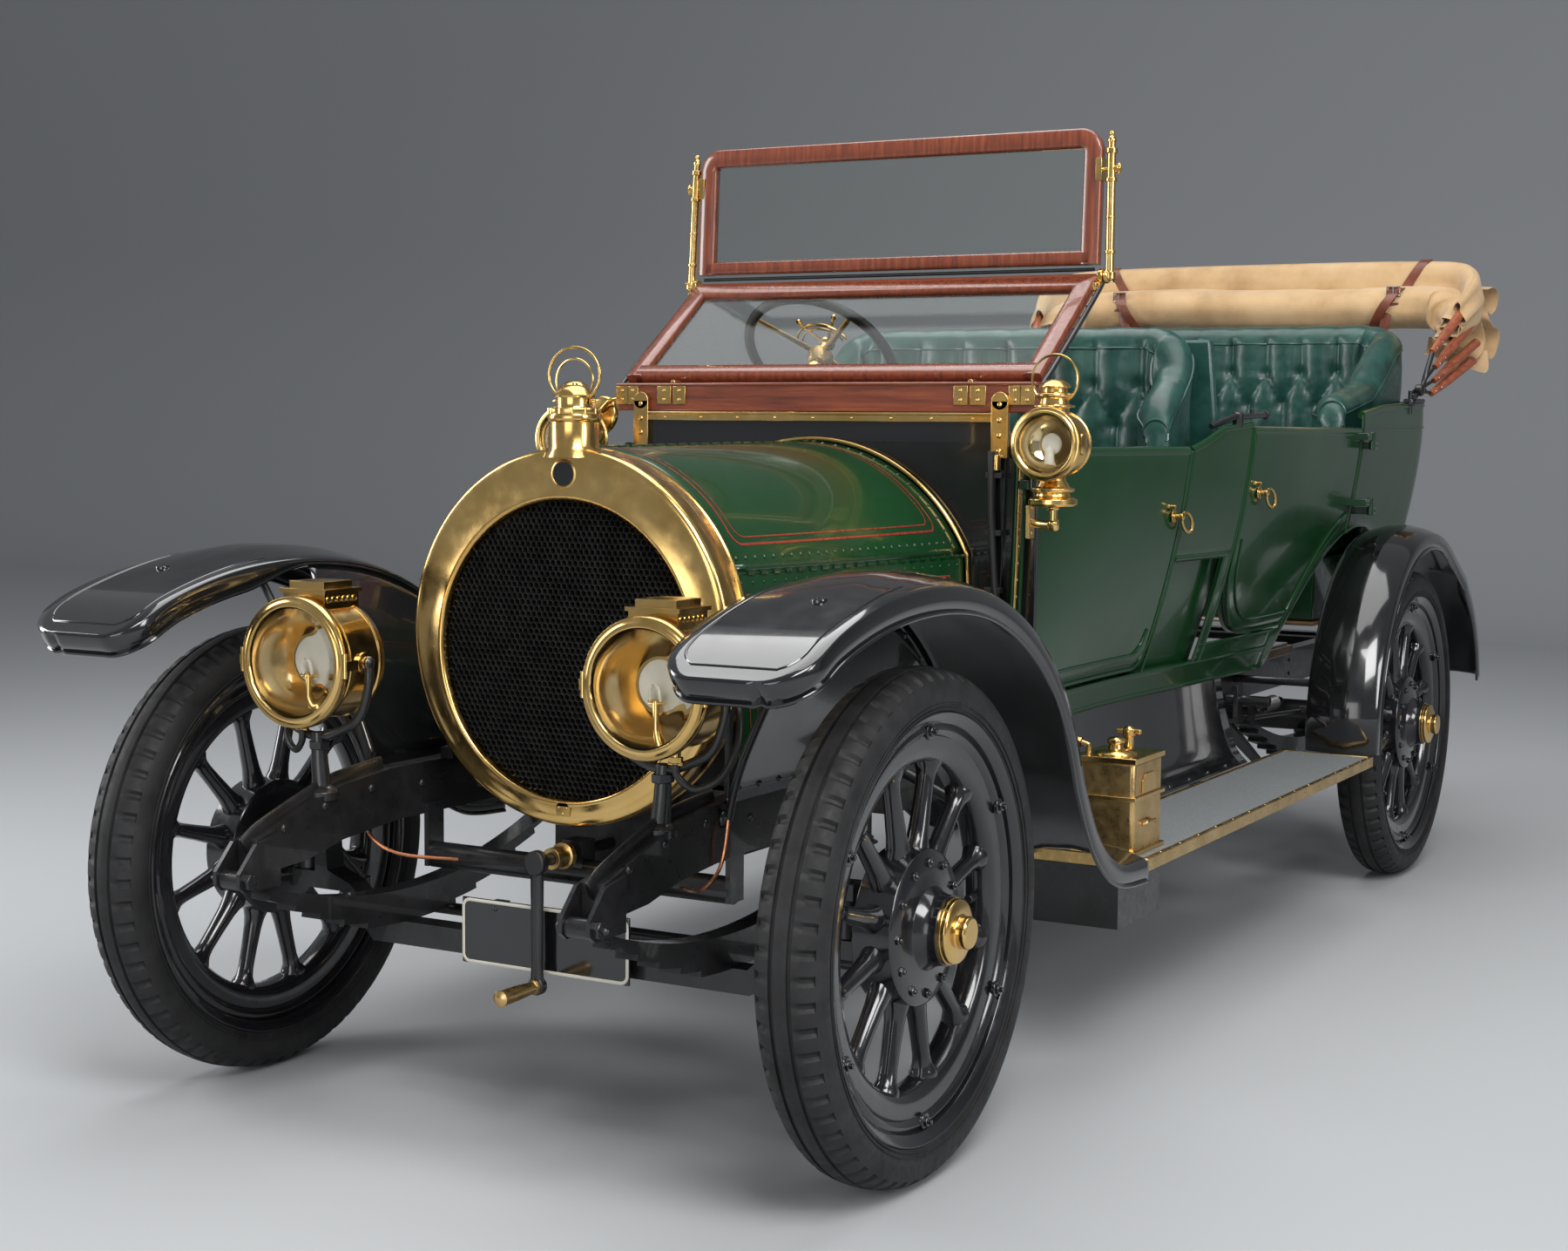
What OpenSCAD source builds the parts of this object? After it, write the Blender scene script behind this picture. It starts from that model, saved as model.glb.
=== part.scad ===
// Open four-seat tourer of the brass era, as separate solids.
// Millimetres. +X is the car's left, +Y points to its rear, +Z is up.
// Stations along Y are counted from the front axle. place() then moves them so
// that the origin lies on the ground under the middle of the whole car.

/* [Wheels] */
// Distance between the axles
wheelbase = 3188; // [3000:4:3300]
// Distance between the tyre centres
track = 1423; // [1380:1:1460]
// Outer diameter of a tyre
tyre_d = 880; // [840:2:900]
// Width of a tyre
tyre_w = 122; // [100:1:130]
// Diameter of the wooden felloe's outer face
felloe_d = 680; // [640:2:700]
// Number of spokes in a wheel
spokes = 12; // [10:1:14]
// Diameter of the axle ends that carry the wheels
stub_d = 40; // [34:1:46]

/* [Chassis] */
// Distance between the centres of the two frame rails
rail_gap = 730; // [700:2:760]
// Width of one frame rail
rail_w = 44; // [36:1:50]
// Height of the frame's top face
rail_top = 630; // [600:1:660]
// Depth of the frame rails
rail_h = 100; // [80:1:120]
// How far the frame runs behind the front axle
rail_end = 3880; // [3840:5:3950]
// Distance of a kingpin from the middle of the car
kingpin_x = 600; // [590:1:606]
// Thickness of one spring leaf
leaf_t = 10.5; // [9:0.5:12]

/* [Front] */
// Outer radius of the round radiator
radiator_r = 349; // [320:1:356]
// Height of the radiator's centre
radiator_z = 888; // [870:1:900]
// Radius of the opening for the core
core_r = 278; // [250:1:290]
// Station of the dashboard's front face
dash_y = 960; // [950:2:980]
// Diameter of a headlamp's rim
headlamp_d = 240; // [210:2:250]
// Diameter of a side lamp's rim
side_lamp_d = 152; // [130:2:156]

/* [Body] */
// Half of the body's width at the dashboard
dash_half = 500; // [490:1:510]
// Half of the body's width at the rear seat
tub_half = 630; // [600:2:640]
// Thickness of a door or a body wall
wall = 30; // [24:1:34]
// Height of the front doors' top edge
front_door_top = 1228; // [1200:1:1240]
// Height of the rear doors' top edge
rear_door_top = 1276; // [1250:1:1290]
// Gap between a door and the panel that it closes on
door_gap = 8; // [7:0.5:10]
// Station of the back of the tub
tub_end = 3920; // [3900:5:3960]
// Half of the width of the windscreen
screen_half = 516; // [500:1:520]

/* [Wings and boards] */
// Distance of a wing's outer edge from the middle of the car
wing_out = 800; // [786:1:812]
// Distance of a wing's inner edge from the middle of the car
wing_in = 545; // [540:1:560]
// Height of the running boards' top face
board_top = 412; // [400:1:430]
// Thickness of a running board
board_t = 27; // [20:1:32]
// Thickness of the wing and apron sheets
sheet_t = 5; // [4:0.5:6]
// Radius of the rear wings about the rear wheel
rear_wing_r = 545; // [535:1:550]

/* [Hidden] */
$fn = 96;

// Furthest stations of the whole car, which set the origin.
front_end = -545;
rear_end = 4105;
origin_y = (front_end + rear_end) / 2;

hub_z = tyre_d / 2;
wheel_x = track / 2;
rail_x = rail_gap / 2;
rail_out = rail_x + rail_w / 2;
rail_in = rail_x - rail_w / 2;
rail_bottom = rail_top - rail_h;
running = 0.05;
seat_gap = 0.3;

green = [0.05, 0.16, 0.07];
black = [0.03, 0.03, 0.03];
brass = [0.78, 0.6, 0.28];
leather = [0.05, 0.13, 0.11];
canvas = [0.66, 0.55, 0.36];
timber = [0.4, 0.17, 0.08];
steel = [0.45, 0.45, 0.46];

// ---------------------------------------------------------------- helpers

module place() {
    translate([0, -origin_y, 0]) children();
}

// A shape on both sides of the car.
module both_sides() {
    children();
    mirror([1, 0, 0]) children();
}

// A profile drawn in (y, z), pushed out along X from x0 over width w.
module along_x(x0, w) {
    translate([x0, 0, 0]) rotate([90, 0, 90]) linear_extrude(w) children();
}

// A profile drawn in (x, z), pushed out along Y from y0 over length l.
module along_y(y0, l) {
    translate([0, y0 + l, 0]) rotate([90, 0, 0]) linear_extrude(l) children();
}

// A round rod from point a to point b.
module rod(a, b, d) {
    v = b - a;
    translate(a)
        rotate([0, acos(v[2] / norm(v)), atan2(v[1], v[0])])
            cylinder(d = d, h = norm(v));
}

module disc_x(p, d, l) {
    translate(p) rotate([0, 90, 0]) cylinder(d = d, h = l);
}

module disc_y(p, d, l) {
    translate(p) rotate([-90, 0, 0]) cylinder(d = d, h = l);
}

module block(low, high) {
    translate(low) cube(high - low);
}

// A closed sheet between two grids of points of the same size.
module plate(outer, inner) {
    rows = len(outer);
    cols = len(outer[0]);
    count = rows * cols;
    points = [for (g = [outer, inner]) for (row = g) for (p = row) p];
    function at(g, r, c) = g * count + r * cols + c;
    faces = [
        for (r = [0 : rows - 2]) for (c = [0 : cols - 2]) each [
            [at(0, r, c), at(0, r + 1, c), at(0, r + 1, c + 1)],
            [at(0, r, c), at(0, r + 1, c + 1), at(0, r, c + 1)],
            [at(1, r, c), at(1, r + 1, c + 1), at(1, r + 1, c)],
            [at(1, r, c), at(1, r, c + 1), at(1, r + 1, c + 1)]
        ],
        for (r = [0 : rows - 2]) each [
            [at(0, r, 0), at(1, r, 0), at(1, r + 1, 0)],
            [at(0, r, 0), at(1, r + 1, 0), at(0, r + 1, 0)],
            [at(0, r, cols - 1), at(1, r + 1, cols - 1), at(1, r, cols - 1)],
            [at(0, r, cols - 1), at(0, r + 1, cols - 1), at(1, r + 1, cols - 1)]
        ],
        for (c = [0 : cols - 2]) each [
            [at(0, 0, c), at(0, 0, c + 1), at(1, 0, c + 1)],
            [at(0, 0, c), at(1, 0, c + 1), at(1, 0, c)],
            [at(0, rows - 1, c), at(1, rows - 1, c + 1), at(0, rows - 1, c + 1)],
            [at(0, rows - 1, c), at(1, rows - 1, c), at(1, rows - 1, c + 1)]
        ]
    ];
    polyhedron(points, faces);
}

// Smooth curve through a few control points, n steps between two of them.
function knot(p, i) = p[max(0, min(len(p) - 1, i))];
function curve_at(a, b, c, d, t) =
    0.5 * (2 * b + (c - a) * t + (2 * a - 5 * b + 4 * c - d) * t * t
        + (3 * b - a - 3 * c + d) * t * t * t);
function curve(p, n) = [
    for (i = [0 : len(p) - 2]) for (k = [0 : n - 1])
        curve_at(knot(p, i - 1), p[i], p[i + 1], knot(p, i + 2), k / n),
    p[len(p) - 1]
];
function unit(v) = v / norm(v);
// Normal of a 2-D path at its point i, on the left of its direction.
function path_normal(p, i) =
    let (v = unit(knot(p, i + 1) - knot(p, i - 1))) [-v[1], v[0]];

// ---------------------------------------------------------------- body surface

waist_z = 1300;
tuck_h = 610;
tuck_front = 20;
tuck_rear = 130;
widening = 1600;
corner_r = 220;

function ease(t) = sin(90 * min(1, max(0, t)));
function waist_x(y) = dash_half + (tub_half - dash_half) * ease((y - dash_y) / widening);
function tuck(y) = tuck_front + (tuck_rear - tuck_front) * ease((y - dash_y) / 900);
function inset(z) = pow(max(0, (waist_z - z) / tuck_h), 1.6);
// Outer surface of the body side at station y and height z.
function side_x(y, z) = waist_x(y) - tuck(y) * inset(z);

function span(a, b, n) = [for (i = [0 : n]) a + (b - a) * i / n];

// Left wall between stations, with its lower and upper edges given by functions
// of y that the caller lists: stations holds [y, z_low, z_high].
module side_panel(stations, depth = 0, t = wall, rows = 6) {
    outer = [for (s = stations) [for (z = span(s[2], s[1], rows))
        [side_x(s[0], z) - depth, s[0], z]]];
    inner = [for (s = stations) [for (z = span(s[2], s[1], rows))
        [side_x(s[0], z) - depth - t, s[0], z]]];
    plate(outer, inner);
}

// ---------------------------------------------------------------- chassis

front_eye = [-463, 482];
front_eye_rear = 463;
spring_w = rail_w;
eye_d = 34;
eye_pin_d = 16;
cheek_t = 8;
rear_spring_x = 452;
rear_spring_half = 640;
rear_eye_z = 500;
rear_spring_w = 56;

// Two cheeks and a pin that carry a spring eye at (x, y, z).
module hanger(x, y, z, w, top) {
    for (side = [-1, 1])
        translate([x + side * (w / 2 + 1 + cheek_t / 2) - cheek_t / 2, 0, 0]) {
            block([0, y - 20, z], [cheek_t, y + 20, top]);
            disc_x([0, y, z], 40, cheek_t);
        }
    disc_x([x - w / 2 - cheek_t - 1, y, z], eye_pin_d, w + 2 * cheek_t + 2);
}

cross_tube_z = 448;
cross_tube_y = 60;
handle_z = 486;
handle_shaft_d = 22;
board_y0 = 922;
board_y1 = wheelbase - rear_wing_r - 23;
board_in = 548;
bracket_y = [962, 1480, 2000, 2490];

module chassis_frame() {
    color(black) {
        both_sides() {
            // Rail with its curved dumb iron in front
            along_x(rail_in, rail_w)
                polygon([
                    [-430, 548], [-398, 557], [-280, 596], [-199, 617], [-64, rail_top],
                    [rail_end, rail_top], [rail_end, rail_top - 70],
                    [rail_end - 180, rail_bottom], [-40, rail_bottom], [-200, 516],
                    [-300, 494], [-395, 488], [-430, 492]
                ]);
            for (side = [-1, 1])
                along_x(rail_x + side * (spring_w / 2 + 1 + cheek_t / 2) - cheek_t / 2, cheek_t)
                    polygon([
                        [-484, 474], [-470, 463], [-380, 463], [-380, 556],
                        [-440, 545], [-484, 498]
                    ]);
            block([rail_in - 1, -428, 480], [rail_out + 1, -384, 545]);
            disc_x([rail_in - cheek_t - 1, front_eye[0], front_eye[1]], eye_pin_d,
                rail_w + 2 * cheek_t + 2);
            hanger(rail_x, front_eye_rear, front_eye[1], spring_w, rail_bottom + 40);
            block([rail_in - 1, front_eye_rear - 20, rail_bottom + 1],
                [rail_out + 1, front_eye_rear + 20, rail_bottom + 40]);
            // Rear spring hangers outside the rails
            for (y = [wheelbase - rear_spring_half, wheelbase + rear_spring_half]) {
                hanger(rear_spring_x, y, rear_eye_z, rear_spring_w, rail_bottom + 30);
                block([rail_out, y - 20, rail_bottom + 5],
                    [rear_spring_x + rear_spring_w / 2 + cheek_t, y + 20, rail_bottom + 30]);
            }
            // Brackets for the running boards
            for (y = bracket_y)
                along_y(y - 15, 30)
                    polygon([
                        [rail_out, rail_bottom], [rail_out + 30, rail_bottom],
                        [board_in - 2, board_top - board_t], [760, board_top - board_t],
                        [760, board_top - board_t - 10], [board_in - 14, board_top - board_t - 10],
                        [rail_out, rail_bottom - 20], [rail_in, rail_bottom - 20],
                        [rail_in, rail_bottom]
                    ]);
            // End plates of the front cross tube
            block([rail_in - 10, cross_tube_y - 24, cross_tube_z - 20],
                [rail_in, cross_tube_y + 24, rail_bottom + 20]);
            block([rail_in - 10, cross_tube_y - 24, rail_bottom + 2],
                [rail_in + 4, cross_tube_y + 24, rail_bottom + 20]);
        }
        // Front cross tube with the bearing of the starting handle
        difference() {
            union() {
                disc_x([-rail_in + 5, cross_tube_y, cross_tube_z], 50, 2 * rail_in - 10);
                block([-22, cross_tube_y - 22, cross_tube_z], [22, cross_tube_y + 22, handle_z + 24]);
            }
            disc_y([0, cross_tube_y - 40, handle_z], handle_shaft_d + 2 * running, 80);
        }
        // Ledges that carry the bonnet's sides
        both_sides()
            translate([0, 0, rail_top])
                linear_extrude(bonnet_low - rail_top - seat_gap)
                    polygon([
                        [bonnet_side_in[0] - 8, 98], [rail_in + 8, 98], [rail_out, 300],
                        [rail_out, 950], [bonnet_side_in[1] - 22, 950]
                    ]);
        // Cross members
        for (y = [1080, 2330, 3760])
            block([-rail_in, y - 30, rail_bottom + 28], [rail_in, y + 30, rail_top - 8]);
        // Luggage grid plate on the rear cross member
        difference() {
            block([-rail_in, rail_end - 60, rail_top - 60], [rail_in, rail_end, rail_top]);
            for (x = [-grid_bolt_x / 2, grid_bolt_x / 2])
                disc_y([x, rail_end - 70, rail_top - 30], grid_bolt_d, 80);
        }
    }
}
grid_bolt_x = 500;
grid_bolt_d = 14;

beam_low = 285;
beam_high = 330;
beam_w = 50;
jaw_low = [372, 405];
jaw_high = [475, 503];
kingpin_d = 22;

module front_axle() {
    jaw_x = kingpin_x + 22;
    color(black)
        difference() {
            both_sides()
                along_y(-beam_w / 2, beam_w)
                    polygon([
                        [0, beam_low], [420, beam_low], [500, jaw_low[0]], [jaw_x, jaw_low[0]],
                        [jaw_x, jaw_low[1]], [kingpin_x - 35, jaw_low[1]],
                        [kingpin_x - 35, jaw_high[0]], [jaw_x, jaw_high[0]],
                        [jaw_x, jaw_high[1]], [kingpin_x - 58, jaw_high[1]],
                        [kingpin_x - 66, jaw_low[1] + 5], [478, 388], [415, beam_high],
                        [0, beam_high]
                    ]);
            both_sides()
                translate([kingpin_x, 0, jaw_low[0] - 10])
                    cylinder(d = kingpin_d + 2 * running, h = 160);
        }
}

// One leaf seen from the side: a thin arc below centre (0, 0).
module leaf_2d(r, t, reach) {
    half = asin(reach / r);
    intersection() {
        difference() {
            circle(r = r + t, $fn = 720);
            circle(r = r, $fn = 720);
        }
        polygon([
            [0, 0], [-(r + 200) * sin(half), -(r + 200) * cos(half)],
            [0, -(r + 400)], [(r + 200) * sin(half), -(r + 200) * cos(half)]
        ]);
    }
}

// A pack of leaves: x0 its inner face, y its middle, low the top of the main
// leaf at the middle, eye_z the height of its eyes.
module spring(x0, w, y, low, eye_z, half, leaves, step) {
    rise = eye_z - low;
    r = (half * half + rise * rise) / (2 * rise);
    difference() {
        union() {
            along_x(x0, w)
                translate([y, low + r])
                    for (k = [0 : leaves - 1])
                        leaf_2d(r + k * leaf_t - 0.05, leaf_t + 0.1, half - k * step);
            for (side = [-1, 1])
                disc_x([x0, y + side * half, eye_z], eye_d, w);
        }
        for (side = [-1, 1])
            disc_x([x0 - 1, y + side * half, eye_z], eye_pin_d + 2 * running, w + 2);
    }
}

front_leaves = 6;
rear_leaves = 7;
front_low = beam_high + front_leaves * leaf_t;

module front_springs() {
    color(black)
        both_sides()
            spring(rail_x - spring_w / 2, spring_w, 0, front_low, front_eye[1],
                front_eye_rear, front_leaves, 66);
}

rear_tube_d = 90;
rear_low = hub_z - rear_tube_d / 2 - 6;

module rear_springs() {
    color(black)
        both_sides()
            spring(rear_spring_x - rear_spring_w / 2, rear_spring_w, wheelbase, rear_low,
                rear_eye_z, rear_spring_half, rear_leaves, 84);
}

brake_d = 380;
brake_w = 62;
hub_in = 640;
rear_hub_in = 600;

module rear_axle() {
    color(black) {
        disc_x([-rear_hub_in + 4, wheelbase, hub_z], rear_tube_d, 2 * rear_hub_in - 8);
        disc_x([-wheel_x - 48, wheelbase, hub_z], stub_d, 2 * wheel_x + 96);
        // The gear case, in three steps across
        for (c = [[286, 96], [250, 150], [180, 210]])
            disc_x([-c[1] / 2, wheelbase, hub_z], c[0], c[1]);
        disc_y([0, wheelbase - 240, hub_z], 120, 200);
        both_sides()
            block([rear_spring_x - 34, wheelbase - 24, rear_low + seat_gap],
                [rear_spring_x + 34, wheelbase + 24, hub_z - 10]);
    }
}

engine_y = [170, 900];
gearbox_y = [1130, 1620];
shaft_z = 520;

module engine_and_gearbox() {
    color(steel) {
        block([-130, engine_y[0], 430], [130, engine_y[1], 1060]);
        disc_y([0, engine_y[1] - 5, shaft_z], 220, 80);
        disc_y([0, engine_y[1], shaft_z], 60, gearbox_y[0] - engine_y[1] + 5);
        block([-110, gearbox_y[0], 410], [110, gearbox_y[1], rail_top + 5]);
        rod([0, gearbox_y[1] - 5, shaft_z - 10], [0, wheelbase - 242, hub_z + 8], 60);
        for (y = [engine_y[0] + 60, engine_y[1] - 60, (gearbox_y[0] + gearbox_y[1]) / 2])
            block([-rail_in, y - 25, 560], [rail_in, y + 25, 600]);
    }
}

exhaust_x = -235;

module exhaust() {
    color(steel) {
        rod([exhaust_x, 760, 650], [exhaust_x, 760, 470], 46);
        disc_y([exhaust_x, 760, 470], 46, 1225);
        disc_y([exhaust_x, 1960, 450], 130, 620);
        disc_y([exhaust_x, 2570, 440], 40, 330);
        block([exhaust_x - 23, 737, 640], [-130, 783, 690]);
        for (y = [2040, 2500])
            block([exhaust_x - 6, y - 12, 510], [exhaust_x + 6, y + 12, rail_bottom + 60]);
        for (y = [2040, 2500])
            block([-rail_in, y - 12, rail_bottom + 40], [exhaust_x + 6, y + 12, rail_bottom + 60]);
    }
}

// ---------------------------------------------------------------- radiator and bonnet

radiator_y = [11, 92];
core_z = 865;
neck_y = 46;
ridge_rod_d = 8;

module radiator() {
    color(brass)
        difference() {
            union() {
                disc_y([0, radiator_y[0], radiator_z], 2 * radiator_r,
                    radiator_y[1] - radiator_y[0]);
                // Feet on the frame
                both_sides()
                    block([190, 30, rail_top], [rail_x + 12, 80, rail_top + 26]);
                translate([0, neck_y, radiator_z + radiator_r - 12]) cylinder(d = 84, h = 70);
                // Rod under the bonnet's ridge
                rod([0, radiator_y[1] - 2, ridge_z[0] - ridge_rod_drop],
                    [0, dash_y, ridge_z[1] - ridge_rod_drop], ridge_rod_d);
            }
            disc_y([0, radiator_y[0] - 1, core_z], 2 * core_r, 200);
        }
}

module radiator_core() {
    color(black)
        disc_y([0, radiator_y[0] + 12, core_z], 2 * (core_r - seat_gap), 60);
}

module filler_cap() {
    top = radiator_z + radiator_r + 58;
    color(brass)
        translate([0, neck_y, top + seat_gap]) {
            cylinder(d = 92, h = 16);
            cylinder(d = 66, h = 34);
            translate([0, 0, 30]) sphere(d = 52);
        }
}

bonnet_y = [radiator_y[1] + seat_gap, 952];
bonnet_t = 6;
ridge_z = [1237, 1245];
fold_x = [312, 366];
fold_z = [1012, 1008];
bonnet_low = 652;
bonnet_side_in = [330, 384];
ridge_rod_drop = bonnet_t + seat_gap + ridge_rod_d / 2;
fold_gap = 0.5;

// Half section of the bonnet's top: a quarter-round from the ridge to the fold.
// end 0 is the radiator end and end 1 the dashboard end.
function top_section(end, inset_t) = [
    for (a = span(0, 90, 10))
        [2 + (fold_x[end] - 2 - inset_t) * sin(a),
         fold_z[end] + (ridge_z[end] - fold_z[end] - inset_t) * cos(a)]
];
function side_section(end, inset_t) = [
    for (t = span(0, 1, 3))
        [fold_x[end] - inset_t + (bonnet_side_in[end] - fold_x[end]) * t,
         fold_z[end] - fold_gap + (bonnet_low - fold_z[end] + fold_gap) * t]
];

// A sheet between two outer sections and two inner ones. Below the fold its rear
// edge runs forward by bonnet_cut, so that it clears the dashboard as it swings.
bonnet_cut = 20;
function bonnet_end(end, z) =
    bonnet_y[end] - end * bonnet_cut * min(1, max(0, (fold_z[1] - z) / (fold_z[1] - bonnet_low)));

module bonnet_half(section_0, section_1, inner_0, inner_1) {
    plate(
        [for (e = [0, 1]) [for (p = (e == 0 ? section_0 : section_1))
            [p[0], bonnet_end(e, p[1]), p[1]]]],
        [for (e = [0, 1]) [for (p = (e == 0 ? inner_0 : inner_1))
            [p[0], bonnet_end(e, p[1]), p[1]]]]
    );
}

module bonnet_top() {
    color(green)
        bonnet_half(top_section(0, 0), top_section(1, 0),
            top_section(0, bonnet_t), top_section(1, bonnet_t));
}

module bonnet_side() {
    color(green)
        bonnet_half(side_section(0, 0), side_section(1, 0),
            side_section(0, bonnet_t), side_section(1, bonnet_t));
}

module bonnet_left() {
    bonnet_top();
}

module bonnet_right() {
    mirror([1, 0, 0]) bonnet_top();
}

module bonnet_side_left() {
    bonnet_side();
}

module bonnet_side_right() {
    mirror([1, 0, 0]) bonnet_side();
}

// ---------------------------------------------------------------- dashboard and windscreen

dash_t = 25;
dash_top = 1300;
board_z = [1300, 1371];
column_d = 38;
screen_low = [1004, 1382];
divider = [1316, 1610];
screen_top = 1933;
frame_w = 42;
frame_t = 26;
glass_t = 5;
post_d = 18;
upper_lean = 3;
upper_gap = 26;
pivot_d = 12;
screen_len = norm([divider[0] - screen_low[0], divider[1] - screen_low[1]]);
screen_rake = atan2(divider[0] - screen_low[0], divider[1] - screen_low[1]);

column_tilt = 45;
column_x = -290;
column_top = [1520, 1447];
column_foot_y = 640;
column_slope = tan(90 - column_tilt);
column_foot_z = column_top[1] - (column_top[0] - column_foot_y) * column_slope;

module column_hole(d) {
    rod([column_x, column_foot_y, column_foot_z],
        [column_x, column_top[0], column_top[1]], d);
}

module dashboard() {
    color(timber)
        difference() {
            union() {
                along_y(dash_y, dash_t)
                    polygon([
                        [-428, floor_z[1]], [428, floor_z[1]], [430, 700], [450, 1000],
                        [456, dash_top], [-456, dash_top], [-450, 1000], [-430, 700]
                    ]);
                block([-screen_half, dash_y + 4, board_z[0]],
                    [screen_half, dash_y + 62, board_z[1]]);
            }
            column_hole(column_d + 6);
        }
}

// Outline of a screen frame in its own plane, with rounded upper corners.
module screen_ring(half, h, w, round_r) {
    difference() {
        screen_shape(half, h, round_r);
        translate([0, w]) screen_shape(half - w, h - 2 * w, max(6, round_r - w / 2));
    }
}

module screen_shape(half, h, round_r) {
    translate([-half, 0]) square([2 * half, h - round_r]);
    translate([-half + round_r, 0]) square([2 * (half - round_r), h]);
    for (side = [-1, 1])
        translate([side * (half - round_r), h - round_r]) circle(r = round_r);
}

module lower_place() {
    translate([0, screen_low[0], screen_low[1]])
        rotate([90 - screen_rake, 0, 0])
            translate([0, 0, -frame_t / 2]) children();
}

module upper_place() {
    translate([0, divider[0] + 1, divider[1] + upper_gap])
        rotate([90 - upper_lean, 0, 0])
            translate([0, 0, -frame_t / 2]) children();
}

upper_h = screen_top - divider[1] - upper_gap;
lower_h = screen_len - 14;

module screen_lower_frame() {
    color(timber) {
        lower_place()
            difference() {
                linear_extrude(frame_t) screen_ring(screen_half - 2, lower_h, frame_w, 4);
                translate([0, 0, frame_t / 2 - glass_t / 2 - seat_gap])
                    linear_extrude(glass_t + 2 * seat_gap)
                        translate([0, frame_w - 8])
                            screen_shape(screen_half - frame_w + 6, lower_h - 2 * frame_w + 16, 6);
            }
        // Pivot ears of the upper screen
        both_sides()
            difference() {
                union() {
                    disc_x([screen_half - 1, divider[0], divider[1]], 30, 11);
                    block([screen_half - 36, divider[0] - 40, divider[1] - 34],
                        [screen_half + 7, divider[0] - 5, divider[1] - 16]);
                    block([screen_half - 1, divider[0] - 38, divider[1] - 30],
                        [screen_half + 9, divider[0] + 6, divider[1] - 4]);
                }
                disc_x([screen_half - 6, divider[0], divider[1]], pivot_d + 2 * running, 20);
            }
    }
}

module screen_lower_glass() {
    color([0.8, 0.9, 0.85, 0.4])
        lower_place()
            translate([0, frame_w - 6, frame_t / 2 - glass_t / 2])
                linear_extrude(glass_t)
                    screen_shape(screen_half - frame_w + 4, lower_h - 2 * frame_w + 12, 6);
}

module screen_upper_frame() {
    color(timber) {
        upper_place()
            difference() {
                linear_extrude(frame_t) screen_ring(screen_half - 4, upper_h, frame_w, 36);
                translate([0, 0, frame_t / 2 - glass_t / 2 - seat_gap])
                    linear_extrude(glass_t + 2 * seat_gap)
                        translate([0, frame_w - 8])
                            screen_shape(screen_half - frame_w + 4, upper_h - 2 * frame_w + 16, 20);
            }
        // Side posts with the pivot pins
        both_sides() {
            rod([screen_half + 20, divider[0], divider[1] - 8],
                [screen_half + 14, divider[0] + 15, screen_top - 30], post_d);
            disc_x([screen_half - 4, divider[0], divider[1]], pivot_d, 24);
            disc_x([screen_half - 6, divider[0] + 15, screen_top - 60], 10, 20);
        }
    }
}

module screen_upper_glass() {
    color([0.8, 0.9, 0.85, 0.4])
        upper_place()
            translate([0, frame_w - 6, frame_t / 2 - glass_t / 2])
                linear_extrude(glass_t)
                    screen_shape(screen_half - frame_w + 2, upper_h - 2 * frame_w + 12, 19);
}

mirror_at = [-588, 1004, 1300];
mirror_d = 93;

module driving_mirror() {
    color(brass) {
        translate(mirror_at) rotate([-100, 0, 0]) cylinder(d = mirror_d, h = 14, center = true);
        rod([-screen_half - 1, mirror_at[1] - 14, 1338],
            [mirror_at[0] + 22, mirror_at[1] - 2, 1332], 12);
        rod([mirror_at[0] + 22, mirror_at[1] - 2, 1334], [mirror_at[0] + 8, mirror_at[1], 1318], 12);
    }
}

// ---------------------------------------------------------------- wings, boards, aprons

// A wing's crown in (y, z), front to back, as control points.
front_wing_path = curve([
    [front_end + 11, 904], [-420, 965], [-240, 1008], [-40, 1018], [140, 994],
    [300, 932], [430, 838], [520, 722], [580, 600], [660, 490], [770, 425],
    [board_y0 - 2, board_top - 3]
], 3);
tail_y = 3846;
rear_wing_path = concat(
    [[wheelbase + rear_wing_r * cos(172), board_top + seat_gap]],
    [for (a = span(172, 62, 16))
        [wheelbase + rear_wing_r * cos(a), hub_z + rear_wing_r * sin(a)]],
    curve([[3620, 838], [3735, 738], [3810, 630], [tail_y, 520]], 3)
);
// Across a wing: share of its width from inside to outside, and height over the edge.
crown = [[0, 0], [0.12, 9], [0.35, 22], [0.6, 24], [0.85, 14], [0.985, 0], [1, -12], [1, -42]];

module wing_sheet(path, x0, x1) {
    w = x1 - x0;
    outer = [for (i = [0 : len(path) - 1]) let (n = path_normal(path, i))
        [for (c = crown) [x0 + c[0] * w, path[i][0] + n[0] * c[1], path[i][1] + n[1] * c[1]]]];
    inner = [for (i = [0 : len(path) - 1]) let (n = path_normal(path, i))
        [for (c = crown) let (lip = c[1] < -11 ? sheet_t : 0, drop = lip > 0 ? 0 : sheet_t)
            [x0 + c[0] * w - lip, path[i][0] + n[0] * (c[1] - drop),
             path[i][1] + n[1] * (c[1] - drop)]]];
    plate(outer, inner);
}

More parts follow.
